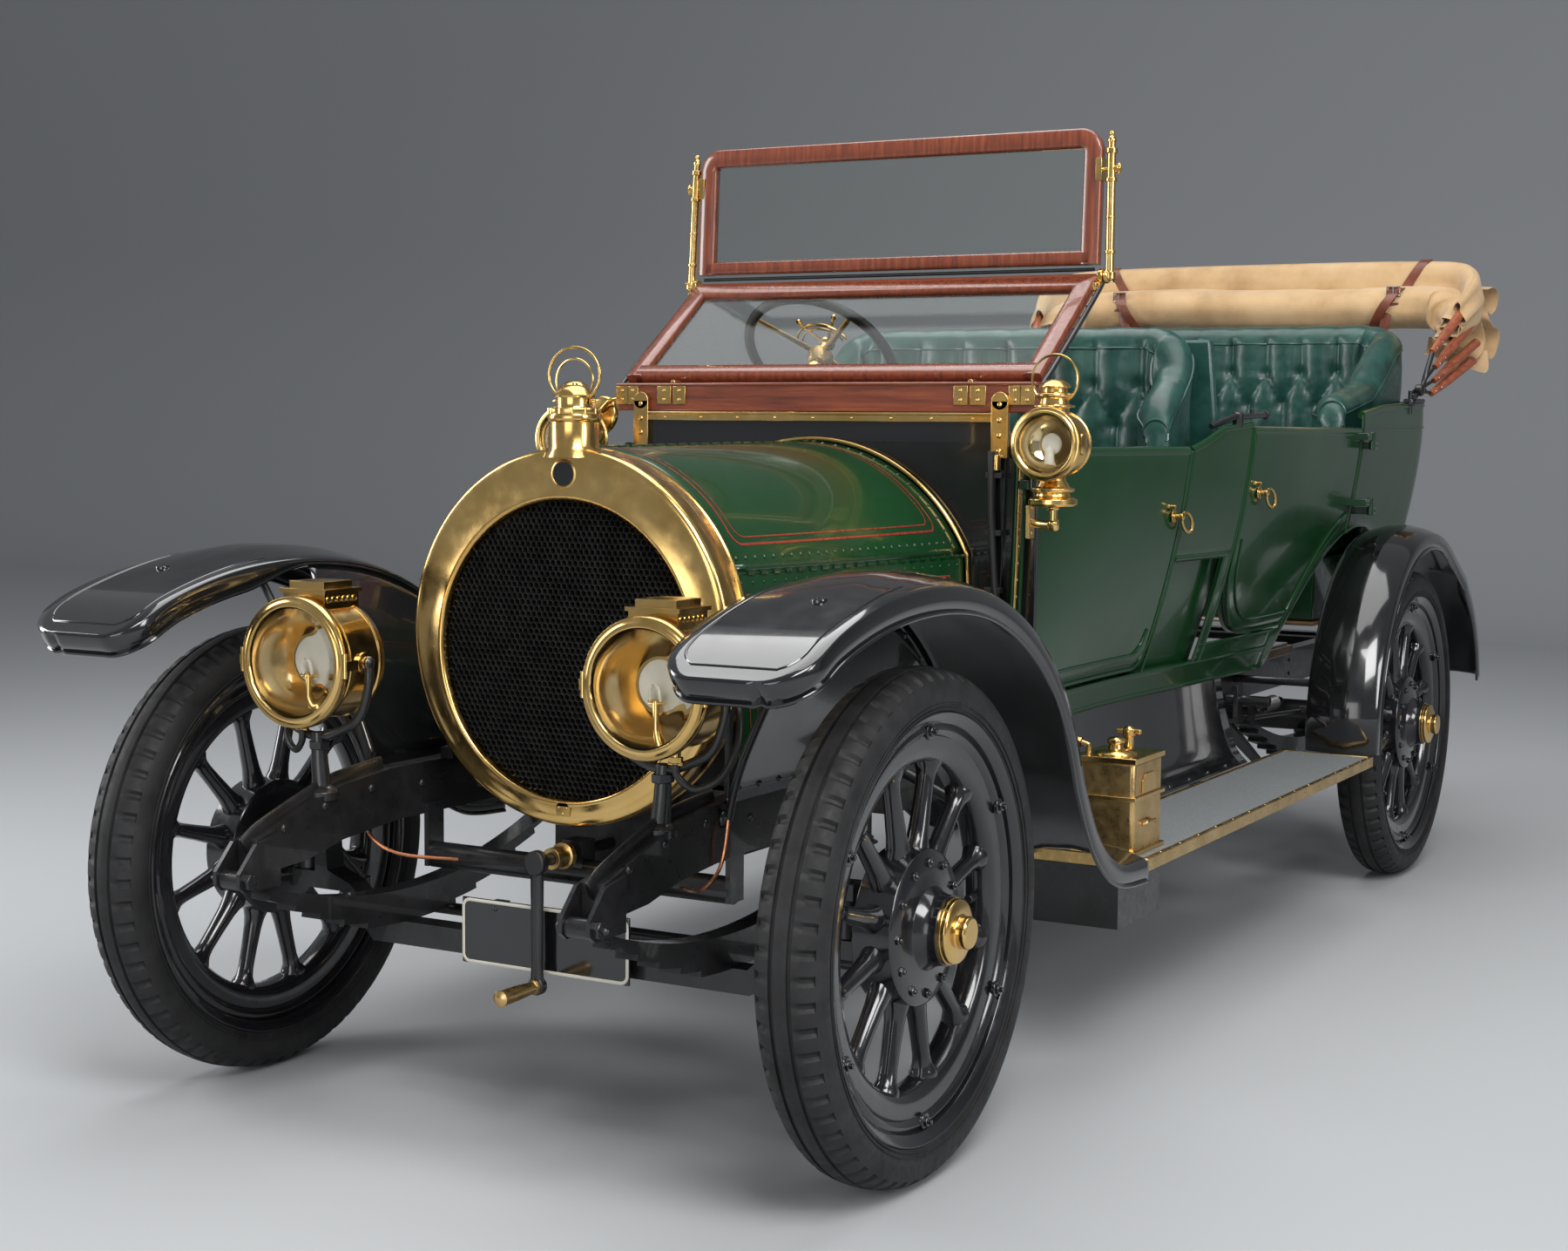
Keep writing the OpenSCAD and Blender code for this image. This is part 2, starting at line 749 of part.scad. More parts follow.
module front_wings() {
    color(black)
        both_sides() {
            wing_sheet(front_wing_path, wing_in, wing_out);
            // Stays on the dumb iron and behind the wheel
            rod([rail_out + 8.5, -330, 545], [wing_in + 60, -345, 972], 20);
            rod([rail_out + 4.5, 640, 590], [wing_in + 40, 640, 515], 22);
            // Inner valance between the frame and the wing
            plate(
                [for (y = span(-60, 500, 7)) [for (t = span(0, 1, 4))
                    let (top = wing_edge(y))
                        [rail_out + (wing_in + 3 - rail_out) * t, y, rail_top - 4 + (top - rail_top) * t]]],
                [for (y = span(-60, 500, 7)) [for (t = span(0, 1, 4))
                    let (top = wing_edge(y))
                        [rail_out + (wing_in + 3 - rail_out) * t + 4, y,
                         rail_top - 4 - 3 + (top - rail_top) * t]]]
            );
        }
}
// Height of the front wing's inner edge at station y.
function wing_edge(y) = lookup(y, [for (p = front_wing_path) [p[0], p[1]]]);

rear_wing_in = 640;

module rear_wings() {
    color(black)
        both_sides() {
            wing_sheet(rear_wing_path, rear_wing_in - 30, wing_out);
            // Stays from the frame
            rod([rail_out, 2690, 590], [rear_wing_in + 20, 2690, 590], 22);
            rod([rail_out, 3790, 585], [rear_wing_in + 20, 3790, 585], 22);
        }
}

module running_boards() {
    color(black)
        both_sides()
            block([board_in, board_y0, board_top - board_t], [wing_out, board_y1, board_top]);
}

apron_y = [board_y0, 2440];

module side_aprons() {
    drop = [[rail_out + seat_gap, rail_top - 6], [rail_out + 22, rail_top - 30],
        [rail_out + 60, rail_top - 110], [rail_out + 110, 455],
        [board_in - 4, board_top + 4]];
    color(black)
        both_sides()
            plate(
                [for (y = span(apron_y[0], apron_y[1], 2)) [for (p = drop) [p[0] + 4, y, p[1] + 2]]],
                [for (y = span(apron_y[0], apron_y[1], 2)) [for (p = drop) [p[0], y, p[1] - 2]]]
            );
}

// ---------------------------------------------------------------- lamps, plate, boxes

headlamp_at = [373, -302, 849];
headlamp_r = headlamp_d / 2;
lamp_depth = 175;

module headlamp() {
    x = headlamp_at[0];
    y = headlamp_at[1];
    z = headlamp_at[2];
    difference() {
        union() {
            disc_y([x, y, z], headlamp_d, 22);
            disc_y([x, y + 20, z], headlamp_d - 28, lamp_depth - 60);
            translate([x, y + lamp_depth - 42, z])
                rotate([-90, 0, 0])
                    cylinder(d1 = headlamp_d - 28, d2 = headlamp_d - 110, h = 42);
            // Vent box
            block([x - 46, y + 40, z + 80], [x + 46, y + 128, z + 128]);
            block([x - 38, y + 50, z + 126], [x + 38, y + 118, z + 150]);
        }
        disc_y([x, y - 1, z], headlamp_d - 44, 90);
    }
    // Fork on the dumb iron
    for (side = [-1, 1]) {
        rod([x + side * (headlamp_r - 6), y + 70, z], [x + side * (headlamp_r - 6), y + 70, z - 70], 16);
        rod([x + side * (headlamp_r - 6), y + 70, z - 68], [x, y + 70, z - 142], 18);
        disc_x([x + side * (headlamp_r - 6) - 14, y + 70, z], 18, 28);
    }
    rod([x, y + 70, z - 140], [rail_x, y + 70, 612.4], 26);
}

module headlamps() {
    color(brass) both_sides() headlamp();
}

side_lamp_at = [588, 846, 1247];

module side_lamp() {
    x = side_lamp_at[0];
    y = side_lamp_at[1];
    z = side_lamp_at[2];
    difference() {
        union() {
            disc_y([x, y, z], side_lamp_d, 18);
            disc_y([x, y + 16, z], side_lamp_d - 26, 78);
            // Oil font below
            translate([x, y + 52, z - 128]) cylinder(d = 92, h = 44);
            translate([x, y + 52, z - 90]) cylinder(d1 = 70, d2 = 40, h = 40);
            // Chimney above
            translate([x, y + 52, z + 50]) cylinder(d = 52, h = 46);
            translate([x, y + 52, z + 90]) cylinder(d1 = 76, d2 = 46, h = 22);
            translate([x, y + 52, z + 110]) sphere(d = 40);
        }
        disc_y([x, y - 1, z], side_lamp_d - 36, 60);
    }
    // Arm on the body's front post
    rod([x, y + 86, z - 30], [side_x(938, z - 30) + 0.9, 938, z - 30], 20);
}

module side_lamps() {
    color(brass) both_sides() side_lamp();
}

module lamp_glasses() {
    color([0.8, 0.9, 0.9, 0.4])
        both_sides() {
            disc_y([headlamp_at[0], headlamp_at[1] + 4, headlamp_at[2]],
                headlamp_d - 44 - 2 * seat_gap, 4);
            disc_y([side_lamp_at[0], side_lamp_at[1] + 3, side_lamp_at[2]],
                side_lamp_d - 36 - 2 * seat_gap, 4);
        }
}

plate_half = 188;
plate_z = [275, 403];

module number_plate() {
    color(black) {
        block([-plate_half, -50, plate_z[0]], [plate_half, -46, plate_z[1]]);
        for (x = [-110, 110])
            block([x - 15, -46, beam_low + 6], [x + 15, -beam_w / 2, beam_high - 6]);
    }
}

generator_low = [632, 912];
generator_size = [134, 166, 208];

module gas_generator() {
    color(brass)
        translate([generator_low[0], generator_low[1] + 16, board_top]) {
            cube(generator_size);
            translate([-6, -6, 118]) cube([generator_size[0] + 12, generator_size[1] + 12, 14]);
            translate([67, 60, generator_size[2] - 1]) cylinder(d = 88, h = 30);
            translate([67, 60, generator_size[2] + 28]) cylinder(d = 40, h = 24);
            translate([67, 134, generator_size[2] - 1]) cylinder(d = 26, h = 44);
        }
}

module battery_box() {
    color(black)
        block([485, 1005, 240], [705, 1250, board_top - board_t]);
}

// ---------------------------------------------------------------- floor, body, seats

floor_z = [rail_top, 655];
sill_top = 697;
door_low = sill_top + door_gap;
front_door_y = [962, 1742];
rear_door_y = [2110, 3045];
post_y = [924, front_door_y[0] - door_gap];
mid_y = [front_door_y[1] + door_gap, rear_door_y[0] - door_gap - 1];
tub_y = rear_door_y[1] + door_gap;
arch_door_r = rear_wing_r + 52;
arch_tub_r = rear_wing_r + 20;
rear_door_low = 748;
lip_z = 972;

function arch_z(y, r) =
    abs(y - wheelbase) < r ? hub_z + sqrt(r * r - pow(y - wheelbase, 2)) : 0;

module floor() {
    color(timber)
        difference() {
            union() {
                block([-430, dash_y + 4, floor_z[0]], [430, 3700, floor_z[1]]);
                both_sides()
                    side_panel([for (y = span(post_y[0], 2600, 12)) [y, floor_z[0] + 2, sill_top]],
                        0, 44, 1);
                both_sides()
                    plate(
                        [for (y = [post_y[0], 2600]) [for (z = [floor_z[1], floor_z[0] + 2])
                            [side_x(y, z) - 40, y, z]]],
                        [for (y = [post_y[0], 2600]) [for (z = [floor_z[1], floor_z[0] + 2])
                            [400, y, z]]]
                    );
            }
            // Hole over the gearbox lid
            block([-120, gearbox_y[0] - 10, 600], [120, gearbox_y[1] + 10, 645]);
        }
}

hinge_d = 18;
hinge_pin_d = 8;
hinge_h = 24;
front_axis = [front_door_y[0] - 5, dash_half + 16];
rear_axis = [rear_door_y[1] + 3, tub_half + 26];
front_hinges = [800, 1150];
rear_hinges = [1040, 1225];

// The body's half of a door hinge: a knuckle with a bore and its bracket.
module hinge_body(axis, z, back) {
    difference() {
        union() {
            translate([axis[1], axis[0], z]) cylinder(d = hinge_d, h = hinge_h);
            block([side_x(axis[0] + back, z) - 3, min(axis[0] + back * 0.25, axis[0] + back),
                    z + 2],
                [axis[1], max(axis[0] + back * 0.25, axis[0] + back), z + hinge_h - 2]);
        }
        translate([axis[1], axis[0], z - 5])
            cylinder(d = hinge_pin_d + 2 * running, h = hinge_h + 10);
    }
}

// The door's half: a knuckle over the body's one, its pin and its bracket.
module hinge_door(axis, z, ahead) {
    translate([axis[1], axis[0], z - 12]) cylinder(d = hinge_pin_d, h = 2 * hinge_h + 12);
    translate([axis[1], axis[0], z + hinge_h + 1]) cylinder(d = hinge_d, h = hinge_h);
    block([side_x(axis[0] + ahead, z) - 3, min(axis[0] + ahead * 0.35, axis[0] + ahead),
            z + hinge_h + 3],
        [axis[1], max(axis[0] + ahead * 0.35, axis[0] + ahead), z + 2 * hinge_h - 1]);
}

mid_top = [[0, front_door_top], [0.25, 1250], [0.5, 1278], [1, 1290]];

module body_sides() {
    color(green)
        both_sides() {
            // Front post
            side_panel([for (y = span(post_y[0], post_y[1], 1)) [y, sill_top, front_door_top]],
                0, 40);
            for (z = front_hinges)
                hinge_body(front_axis, z, -16);
            // Front seat's side, set in below its lip
            side_panel([for (y = span(mid_y[0], mid_y[1], 6))
                [y, lip_z, lookup((y - mid_y[0]) / (mid_y[1] - mid_y[0]), mid_top)]], 0, 46);
            side_panel([for (y = span(mid_y[0], mid_y[1], 4)) [y, sill_top, lip_z + 20]], 42, 22);
            // Post in front of the rear door
            side_panel([for (y = span(mid_y[1] - 46, mid_y[1], 1)) [y, sill_top, lip_z + 6]], 0, 50);
            // Sill under the rear door
            side_panel([for (y = span(mid_y[1] - 40, 2600, 8)) [y, sill_top, rear_door_low - door_gap]],
                0, 44, 1);
        }
}

rail_rise = [[tub_y, 1322], [3280, 1345], [3800, 1360], [5000, 1360]];
tub_low = 720;
bend_y = tub_end - corner_r;

// Left half of the tub's plan, front to back: [x, y, normal x, normal y].
tub_plan = concat(
    [for (y = span(tub_y, bend_y, 7)) [waist_x(y), y, 1, 0]],
    [for (a = span(10, 90, 8))
        [tub_half - corner_r + corner_r * cos(a), bend_y + corner_r * sin(a), cos(a), sin(a)]],
    [[0, tub_end, 0, 1]]
);

function tub_point(p, z, t) =
    let (back = t + tuck_rear * inset(z)) [p[0] - p[2] * back, p[1] - p[3] * back, z];

module tub_wall(low, t) {
    plate(
        [for (p = tub_plan) [for (z = span(lookup(p[1], rail_rise), low(p[1]), 8)) tub_point(p, z, 0)]],
        [for (p = tub_plan) [for (z = span(lookup(p[1], rail_rise), low(p[1]), 8)) tub_point(p, z, t)]]
    );
}

module rear_tub() {
    color(green)
        both_sides() {
            tub_wall(function(y) max(tub_low, arch_z(y, arch_tub_r)), wall);
            // Band between the rear door and the wheel arch
            side_panel([for (y = span(2600, tub_y + 4, 10))
                [y, max(sill_top, arch_z(y, arch_tub_r)),
                 max(rear_door_low, arch_z(y, arch_door_r)) - door_gap]], 0, 44, 1);
            for (z = rear_hinges)
                hinge_body(rear_axis, z, 18);
            // Floor beside and behind the rear seat
            translate([0, 0, tub_low - 20])
                linear_extrude(20)
                    polygon([[0, 3100], [484, 3100], [484, bend_y], [410, tub_end - 146],
                        [0, tub_end - 146]]);
        }
}

front_seat_y = [1560, 2020];
rear_seat_y = [3130, 3700];
cushion_low = 905;
cushion_top = 1045;
partition_y = [2062, 2092];

module seat_base() {
    color(leather) {
        difference() {
            along_y(front_seat_y[0] + 20, partition_y[1] - front_seat_y[0] - 20)
                polygon([[-392, floor_z[1]], [392, floor_z[1]], [392, 705], [436, cushion_low],
                    [-436, cushion_low], [-392, 705]]);
            block([-370, front_seat_y[0] + 50, floor_z[1] - 1],
                [370, partition_y[0] - 10, cushion_low - 20]);
        }
        // Partition behind the front seat
        along_y(partition_y[0], partition_y[1] - partition_y[0])
            polygon([[-400, 700], [400, 700], [484, 960], [490, 1000], [536, 1250], [516, 1500],
                [-516, 1500], [-536, 1250], [-490, 1000], [-484, 960]]);
        difference() {
            block([-470, rear_seat_y[0] + 20, tub_low + seat_gap],
                [470, rear_seat_y[1], cushion_low]);
            block([-440, rear_seat_y[0] + 50, tub_low - 1],
                [440, rear_seat_y[1] - 30, cushion_low - 20]);
        }
    }
}

module seat_cushions() {
    color(leather) {
        block([-452, front_seat_y[0], cushion_low + seat_gap], [452, front_seat_y[1] - 20, cushion_top]);
        block([-505, rear_seat_y[0], cushion_low + seat_gap], [505, rear_seat_y[1] + 20, cushion_top]);
    }
}

// Seat back with its arms: a wall round the seat, in plan from the arm's front
// end to the middle. ends lists [y, z_high] along it.
module seat_wrap(y_arm, y_back, half, round_r, rise, low, t) {
    plan = concat(
        [for (y = span(y_arm, y_back - round_r, 5)) [half, y, 1, 0]],
        [for (a = span(15, 90, 5))
            [half - round_r + round_r * cos(a), y_back - round_r + round_r * sin(a), cos(a), sin(a)]],
        [[0, y_back, 0, 1]]
    );
    plate(
        [for (p = plan) [for (z = span(lookup(p[1], rise), low, 4)) [p[0], p[1], z]]],
        [for (p = plan) [for (z = span(lookup(p[1], rise), low, 4))
            [p[0] - p[2] * t, p[1] - p[3] * t, z]]]
    );
}

front_rise = [[1800, 1330], [1900, 1400], [2000, 1505], [2060, 1530]];
rear_rise = [[3090, 1372], [3400, 1420], [3650, 1560], [3860, 1610]];

module seat_backs() {
    color(leather)
        both_sides() {
            seat_wrap(1800, partition_y[0] - seat_gap, 504, 130, front_rise, cushion_top + seat_gap, 80);
            seat_wrap(3090, tub_end - wall - 40, 560, 160, rear_rise, cushion_top + seat_gap, 90);
        }
}

// ---------------------------------------------------------------- hood

hood_pivot = [642, 3560, 1440];
hood_path = [
    [672, 3180, 1640], [690, 3400, 1668], [696, 3650, 1698], [664, 3860, 1722],
    [540, 3985, 1740], [270, 4022, 1748], [0, 4030, 1750]
];

// The bundle's section about its path: half width, half height.
bundle_half = [74, 84];

module hood_bundle() {
    ring = [for (a = span(0, 345, 23)) [bundle_half[0] * cos(a), bundle_half[1] * sin(a)]];
    path = curve(hood_path, 3);
    count = len(ring);
    function side_at(i) = let (d = unit(knot(path, i + 1) - knot(path, i - 1))) unit([d[1], -d[0], 0]);
    points = [for (i = [0 : len(path) - 1]) for (q = ring)
        path[i] + side_at(i) * q[0] + [0, 0, q[1]]];
    rings = len(path);
    faces = [
        [for (k = [0 : count - 1]) k],
        [for (k = [count - 1 : -1 : 0]) (rings - 1) * count + k],
        for (i = [0 : rings - 2]) for (k = [0 : count - 1]) each [
            [i * count + k, (i + 1) * count + k, (i + 1) * count + (k + 1) % count],
            [i * count + k, (i + 1) * count + (k + 1) % count, i * count + (k + 1) % count]
        ]
    ];
    color(canvas) both_sides() polyhedron(points, faces);
}

module hood_sticks() {
    color(timber)
        both_sides() {
            for (s = [[3380, 1573], [3480, 1586], [3620, 1603], [3740, 1618]])
                let (tip = [672, s[0], s[1]])
                    rod(hood_pivot + unit(tip - hood_pivot) * 18, tip, 22);
            disc_x([hood_pivot[0] - 18, hood_pivot[1], hood_pivot[2]], 64, 36);
            block([tub_half - wall, hood_pivot[1] - 14,
                    lookup(hood_pivot[1], rail_rise) + 0.6],
                [tub_half + 4, hood_pivot[1] + 14, hood_pivot[2] - 6]);
            // Rests on the seat's side and the tub's rail
            translate([588, 1990, 1283.6]) cylinder(d = 16, h = 22);
            rod([588, 1984, 1298], [640, 2170, 1304], 14);
            rod([573, 3826, 1364], [655, 3840, 1633], 18);
        }
}

// ---------------------------------------------------------------- steering and controls

column_dir = [0, column_top[0] - column_foot_y, column_top[1] - column_foot_z];
column_len = norm(column_dir);
wheel_rim_d = 400;
rim_t = 26;

module column_place() {
    translate([column_x, column_top[0], column_top[1]])
        rotate([-(90 - column_tilt), 0, 0]) children();
}

module steering_column() {
    color(brass)
        column_place() {
            translate([0, 0, -column_len]) cylinder(d = column_d, h = column_len - 30);
            translate([0, 0, -40]) cylinder(d = 20, h = 60);
        }
    color(black)
        block([-rail_in, column_foot_y - 50, rail_bottom + 6],
            [column_x + 50, column_foot_y + 60, column_foot_z + 40]);
}

module steering_wheel() {
    color(black)
        column_place()
            difference() {
                union() {
                    rotate_extrude() translate([wheel_rim_d / 2 - rim_t / 2, 0]) circle(d = rim_t, $fn = 40);
                    translate([0, 0, -24]) cylinder(d = 62, h = 34);
                    for (a = [45, 135])
                        rotate([0, 0, a]) rotate([0, 90, 0])
                            cylinder(d = 16, h = wheel_rim_d - rim_t, center = true);
                }
                translate([0, 0, -50]) cylinder(d = 20 + 2 * running, h = 100);
            }
}

module hand_levers() {
    color(brass) {
        for (s = [[-370, 1400, 1130], [-390, 1440, 1180]]) {
            rod([s[0], s[1] - 120, floor_z[1] + 20], [s[0], s[1] - 60, 980], 18);
            translate([s[0], s[1] - 60, 980]) sphere(d = 24);
            rod([s[0], s[1] - 60, 980], [s[0], s[1], s[2]], 16);
            translate([s[0], s[1], s[2]]) sphere(d = 34);
        }
        block([-400, 1265, floor_z[1]], [-360, 1400, floor_z[1] + 40]);
    }
}

handle_y = -64;
handle_arm = 227;

module starting_handle() {
    color(steel) {
        disc_y([0, handle_y - 10, handle_z], handle_shaft_d, engine_y[0] - handle_y - 5);
        disc_y([0, handle_y - 16, handle_z], 40, 22);
        translate([-13, handle_y - 16, handle_z - handle_arm]) cube([26, 16, handle_arm]);
        disc_y([0, handle_y - 127, handle_z - handle_arm], 26, 127);
        disc_y([0, handle_y - 16, handle_z - handle_arm], 36, 18);
    }
}

// ---------------------------------------------------------------- doors

door_steps = 10;

module front_door() {
    color(green) {
        side_panel([for (y = span(front_door_y[0], front_door_y[1], door_steps))
            [y, door_low, front_door_top]]);
        for (z = front_hinges)
            hinge_door(front_axis, z, 16);
    }
    color(brass) {
        rod([side_x(1690, 1085) - 4, 1690, 1085], [side_x(1690, 1085) + 30, 1690, 1085], 12);
        translate([side_x(1690, 1085) + 30, 1690, 1064])
            rotate([0, 90, 0]) cylinder(d = 50, h = 8, center = true);
    }
}

module rear_door() {
    color(green) {
        side_panel([for (y = concat(span(rear_door_y[0], 2640, 6), span(2700, rear_door_y[1], 8)))
            [y, max(rear_door_low, arch_z(y, arch_door_r)), rear_door_top]]);
        for (z = rear_hinges)
            hinge_door(rear_axis, z, -16);
    }
    color(brass) {
        rod([side_x(2165, 1112) - 4, 2165, 1112], [side_x(2165, 1112) + 30, 2165, 1112], 12);
        translate([side_x(2165, 1112) + 30, 2165, 1091])
            rotate([0, 90, 0]) cylinder(d = 50, h = 8, center = true);
    }
}

module door_front_left() {
    front_door();
}

module door_front_right() {
    mirror([1, 0, 0]) front_door();
}

module door_rear_left() {
    rear_door();
}

module door_rear_right() {
    mirror([1, 0, 0]) rear_door();
}

// ---------------------------------------------------------------- steering knuckles

arm_y = 160;
tie_z = 318;
tie_d = 28;
tie_eye_d = 34;
tie_pin_d = 14;
open_pin_play = 1;

module knuckle() {
    color(black) {
        translate([kingpin_x, 0, jaw_low[1] + 2])
            cylinder(d = 44, h = jaw_high[0] - jaw_low[1] - 4);
        translate([kingpin_x, 0, jaw_low[0] - 3]) cylinder(d = kingpin_d, h = 136);
        disc_x([kingpin_x, 0, hub_z], stub_d, wheel_x - kingpin_x + 62);
        rod([kingpin_x, 0, hub_z], [kingpin_x, 74, hub_z], 24);
        rod([kingpin_x, 68, hub_z], [kingpin_x, arm_y, tie_z + 32], 24);
        translate([kingpin_x, arm_y, tie_z + tie_d / 2 + 5]) cylinder(d = 34, h = 22);
        translate([kingpin_x, arm_y, tie_z - 20]) cylinder(d = tie_pin_d, h = 46);
    }
}

module knuckle_left() {
    knuckle();
}

module knuckle_right() {
    mirror([1, 0, 0]) knuckle();
}

module tie_rod() {
    color(steel)
        difference() {
            union() {
                disc_x([-kingpin_x, arm_y, tie_z], tie_d - 4, 2 * kingpin_x);
                both_sides()
                    translate([kingpin_x, arm_y, tie_z - tie_d / 2]) cylinder(d = tie_eye_d, h = tie_d);
            }
            translate([kingpin_x, arm_y, tie_z - 30]) cylinder(d = tie_pin_d + 2 * running, h = 60);
            translate([-kingpin_x, arm_y, tie_z - 30])
                cylinder(d = tie_pin_d + 2 * open_pin_play, h = 60);
        }
}

// ---------------------------------------------------------------- wheels

rim_r = felloe_d / 2 + 12;
flange_r = rim_r + 10;
felloe_in = felloe_d / 2 - 62;
hub_r = 60;
cap_end = 121;

// A wheel about the X axis at the origin, its outer face towards +X.
module wheel(inner_end, drum) {
    rotate([0, 90, 0])
        difference() {
            union() {
                // Wooden felloe and steel rim
                rotate_extrude() {
                    translate([felloe_in, -31]) square([felloe_d / 2 - felloe_in + 0.1, 62]);
                    translate([felloe_d / 2, -48]) square([rim_r - felloe_d / 2, 96]);
                    for (side = [-54, 47.5])
                        translate([felloe_d / 2 + 2, side]) square([flange_r - felloe_d / 2 - 2, 6.5]);
                }
                for (i = [0 : spokes - 1])
                    rotate([0, 0, 360 * i / spokes])
                        rotate([0, 90, 0])
                            translate([0, 0, 40])
                                cylinder(d1 = 48, d2 = 40, h = felloe_in - 30);
                translate([0, 0, -inner_end]) cylinder(r = hub_r, h = inner_end + 76);
                translate([0, 0, -34]) cylinder(r = 133, h = 10);
                translate([0, 0, 24]) cylinder(r = 133, h = 10);
                translate([0, 0, 70]) cylinder(r = 55, h = 30);
                translate([0, 0, 95]) cylinder(r = 28, h = cap_end - 95);
                if (drum)
                    translate([0, 0, -inner_end]) cylinder(d = brake_d, h = brake_w);
            }
            translate([0, 0, -inner_end - 1]) cylinder(d = stub_d + 2 * running, h = inner_end + 66);
            if (drum)
                translate([0, 0, -inner_end - 1]) cylinder(d = rear_tube_d + 12, h = 40);
        }
}

module tyre() {
    half = tyre_w / 2;
    color(black)
        rotate([0, 90, 0])
            rotate_extrude()
                difference() {
                    translate([tyre_d / 2 - half, 0]) circle(r = half);
                    translate([0, -half - 1]) square([rim_r + seat_gap, 2 * half + 2]);
                    for (side = [-half - 1, 47])
                        translate([0, side])
                            square([flange_r + seat_gap, half + 1 - 47]);
                }
}

module on_left(y) {
    translate([wheel_x, y, hub_z]) children();
}

module on_right(y) {
    mirror([1, 0, 0]) translate([wheel_x, y, hub_z]) children();
}

module wheel_front_left() {
    color(black) on_left(0) wheel(wheel_x - hub_in, false);
}

module wheel_front_right() {
    color(black) on_right(0) wheel(wheel_x - hub_in, false);
}

module wheel_rear_left() {
    color(black) on_left(wheelbase) wheel(wheel_x - rear_hub_in, true);
}

module wheel_rear_right() {
    color(black) on_right(wheelbase) wheel(wheel_x - rear_hub_in, true);
}

module tyre_front_left() {
    on_left(0) tyre();
}

module tyre_front_right() {
    on_right(0) tyre();
}

module tyre_rear_left() {
    on_left(wheelbase) tyre();
}

module tyre_rear_right() {
    on_right(wheelbase) tyre();
}

place() chassis_frame();
place() front_axle();
place() front_springs();
place() rear_springs();
place() rear_axle();
place() engine_and_gearbox();
place() exhaust();
place() radiator();
place() radiator_core();
place() filler_cap();
place() dashboard();
place() screen_lower_frame();
place() screen_lower_glass();
place() screen_upper_frame();
place() screen_upper_glass();
place() driving_mirror();
place() front_wings();
place() rear_wings();
place() running_boards();
place() side_aprons();
place() headlamps();
place() side_lamps();
place() lamp_glasses();
place() number_plate();
place() gas_generator();
place() battery_box();
place() floor();
place() body_sides();
place() rear_tub();
place() seat_base();
place() seat_cushions();
place() seat_backs();
place() hood_bundle();
place() hood_sticks();
place() steering_column();
place() hand_levers();
place() starting_handle();
place() bonnet_left();
place() bonnet_right();
place() bonnet_side_left();
place() bonnet_side_right();
place() door_front_left();
place() door_front_right();
place() door_rear_left();
place() door_rear_right();
place() steering_wheel();
place() knuckle_left();
place() knuckle_right();
place() tie_rod();
place() wheel_front_left();
place() wheel_front_right();
place() wheel_rear_left();
place() wheel_rear_right();
place() tyre_front_left();
place() tyre_front_right();
place() tyre_rear_left();
place() tyre_rear_right();
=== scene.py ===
"""Open four-seat tourer of the brass era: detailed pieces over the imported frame.
Lengths in the tables are millimetres at stations counted from the front axle."""
import math
import random

import bmesh
import bpy
from mathutils import Matrix, Vector
from mathutils import noise


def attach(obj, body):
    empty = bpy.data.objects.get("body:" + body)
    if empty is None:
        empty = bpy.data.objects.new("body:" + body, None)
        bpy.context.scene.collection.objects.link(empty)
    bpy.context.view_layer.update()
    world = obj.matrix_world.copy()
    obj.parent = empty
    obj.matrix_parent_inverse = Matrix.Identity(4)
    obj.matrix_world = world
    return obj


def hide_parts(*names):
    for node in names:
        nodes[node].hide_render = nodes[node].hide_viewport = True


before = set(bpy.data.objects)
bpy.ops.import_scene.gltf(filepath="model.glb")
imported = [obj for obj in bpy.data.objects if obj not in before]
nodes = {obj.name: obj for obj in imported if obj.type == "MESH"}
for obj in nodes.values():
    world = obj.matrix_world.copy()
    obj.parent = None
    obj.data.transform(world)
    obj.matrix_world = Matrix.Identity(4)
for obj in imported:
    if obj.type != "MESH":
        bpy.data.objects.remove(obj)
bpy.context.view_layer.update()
random.seed(7)

# ---------------------------------------------------------------- places shared with the CAD source

ORIGIN_Y = 1780
WHEELBASE = 3188
WHEEL_X = 711.5
HUB_Z = 440
DASH_Y = 960
SIDES = ((1, "left"), (-1, "right"))


def unit(v):
    return v.normalized()


def P(x, y, z):
    """A point of the tables in the row frame, in metres."""
    return Vector((x, y - ORIGIN_Y, z)) / 1000


def lerp(a, b, t):
    return a + (b - a) * t


def span(a, b, n):
    return [a + (b - a) * i / n for i in range(n + 1)]


def lookup(x, table):
    for (x0, y0), (x1, y1) in zip(table, table[1:]):
        if x <= x1:
            return lerp(y0, y1, min(1, max(0, (x - x0) / (x1 - x0))))
    return table[-1][1]


def curve(points, n):
    """Catmull-Rom curve through points, n steps between two of them."""
    p = [Vector(q) for q in points]
    out = []
    for i in range(len(p) - 1):
        a, b, c, d = p[max(0, i - 1)], p[i], p[i + 1], p[min(len(p) - 1, i + 2)]
        for k in range(n):
            t = k / n
            out.append(0.5 * (2 * b + (c - a) * t + (2 * a - 5 * b + 4 * c - d) * t * t
                              + (3 * b - a - 3 * c + d) * t ** 3))
    return out + [p[-1]]


# The corners of a rounded rectangle: side in each direction, and the angle where its arc starts
CORNERS = ((1, 1, 0), (-1, 1, 90), (-1, -1, 180), (1, -1, 270))


def angles(n):
    """n angles evenly round a circle."""
    return [2 * math.pi * k / n for k in range(n)]


def cos_sin(degrees):
    return math.cos(math.radians(degrees)), math.sin(math.radians(degrees))


def smooth(t):
    t = min(1, max(0, t))
    return t * t * (3 - 2 * t)


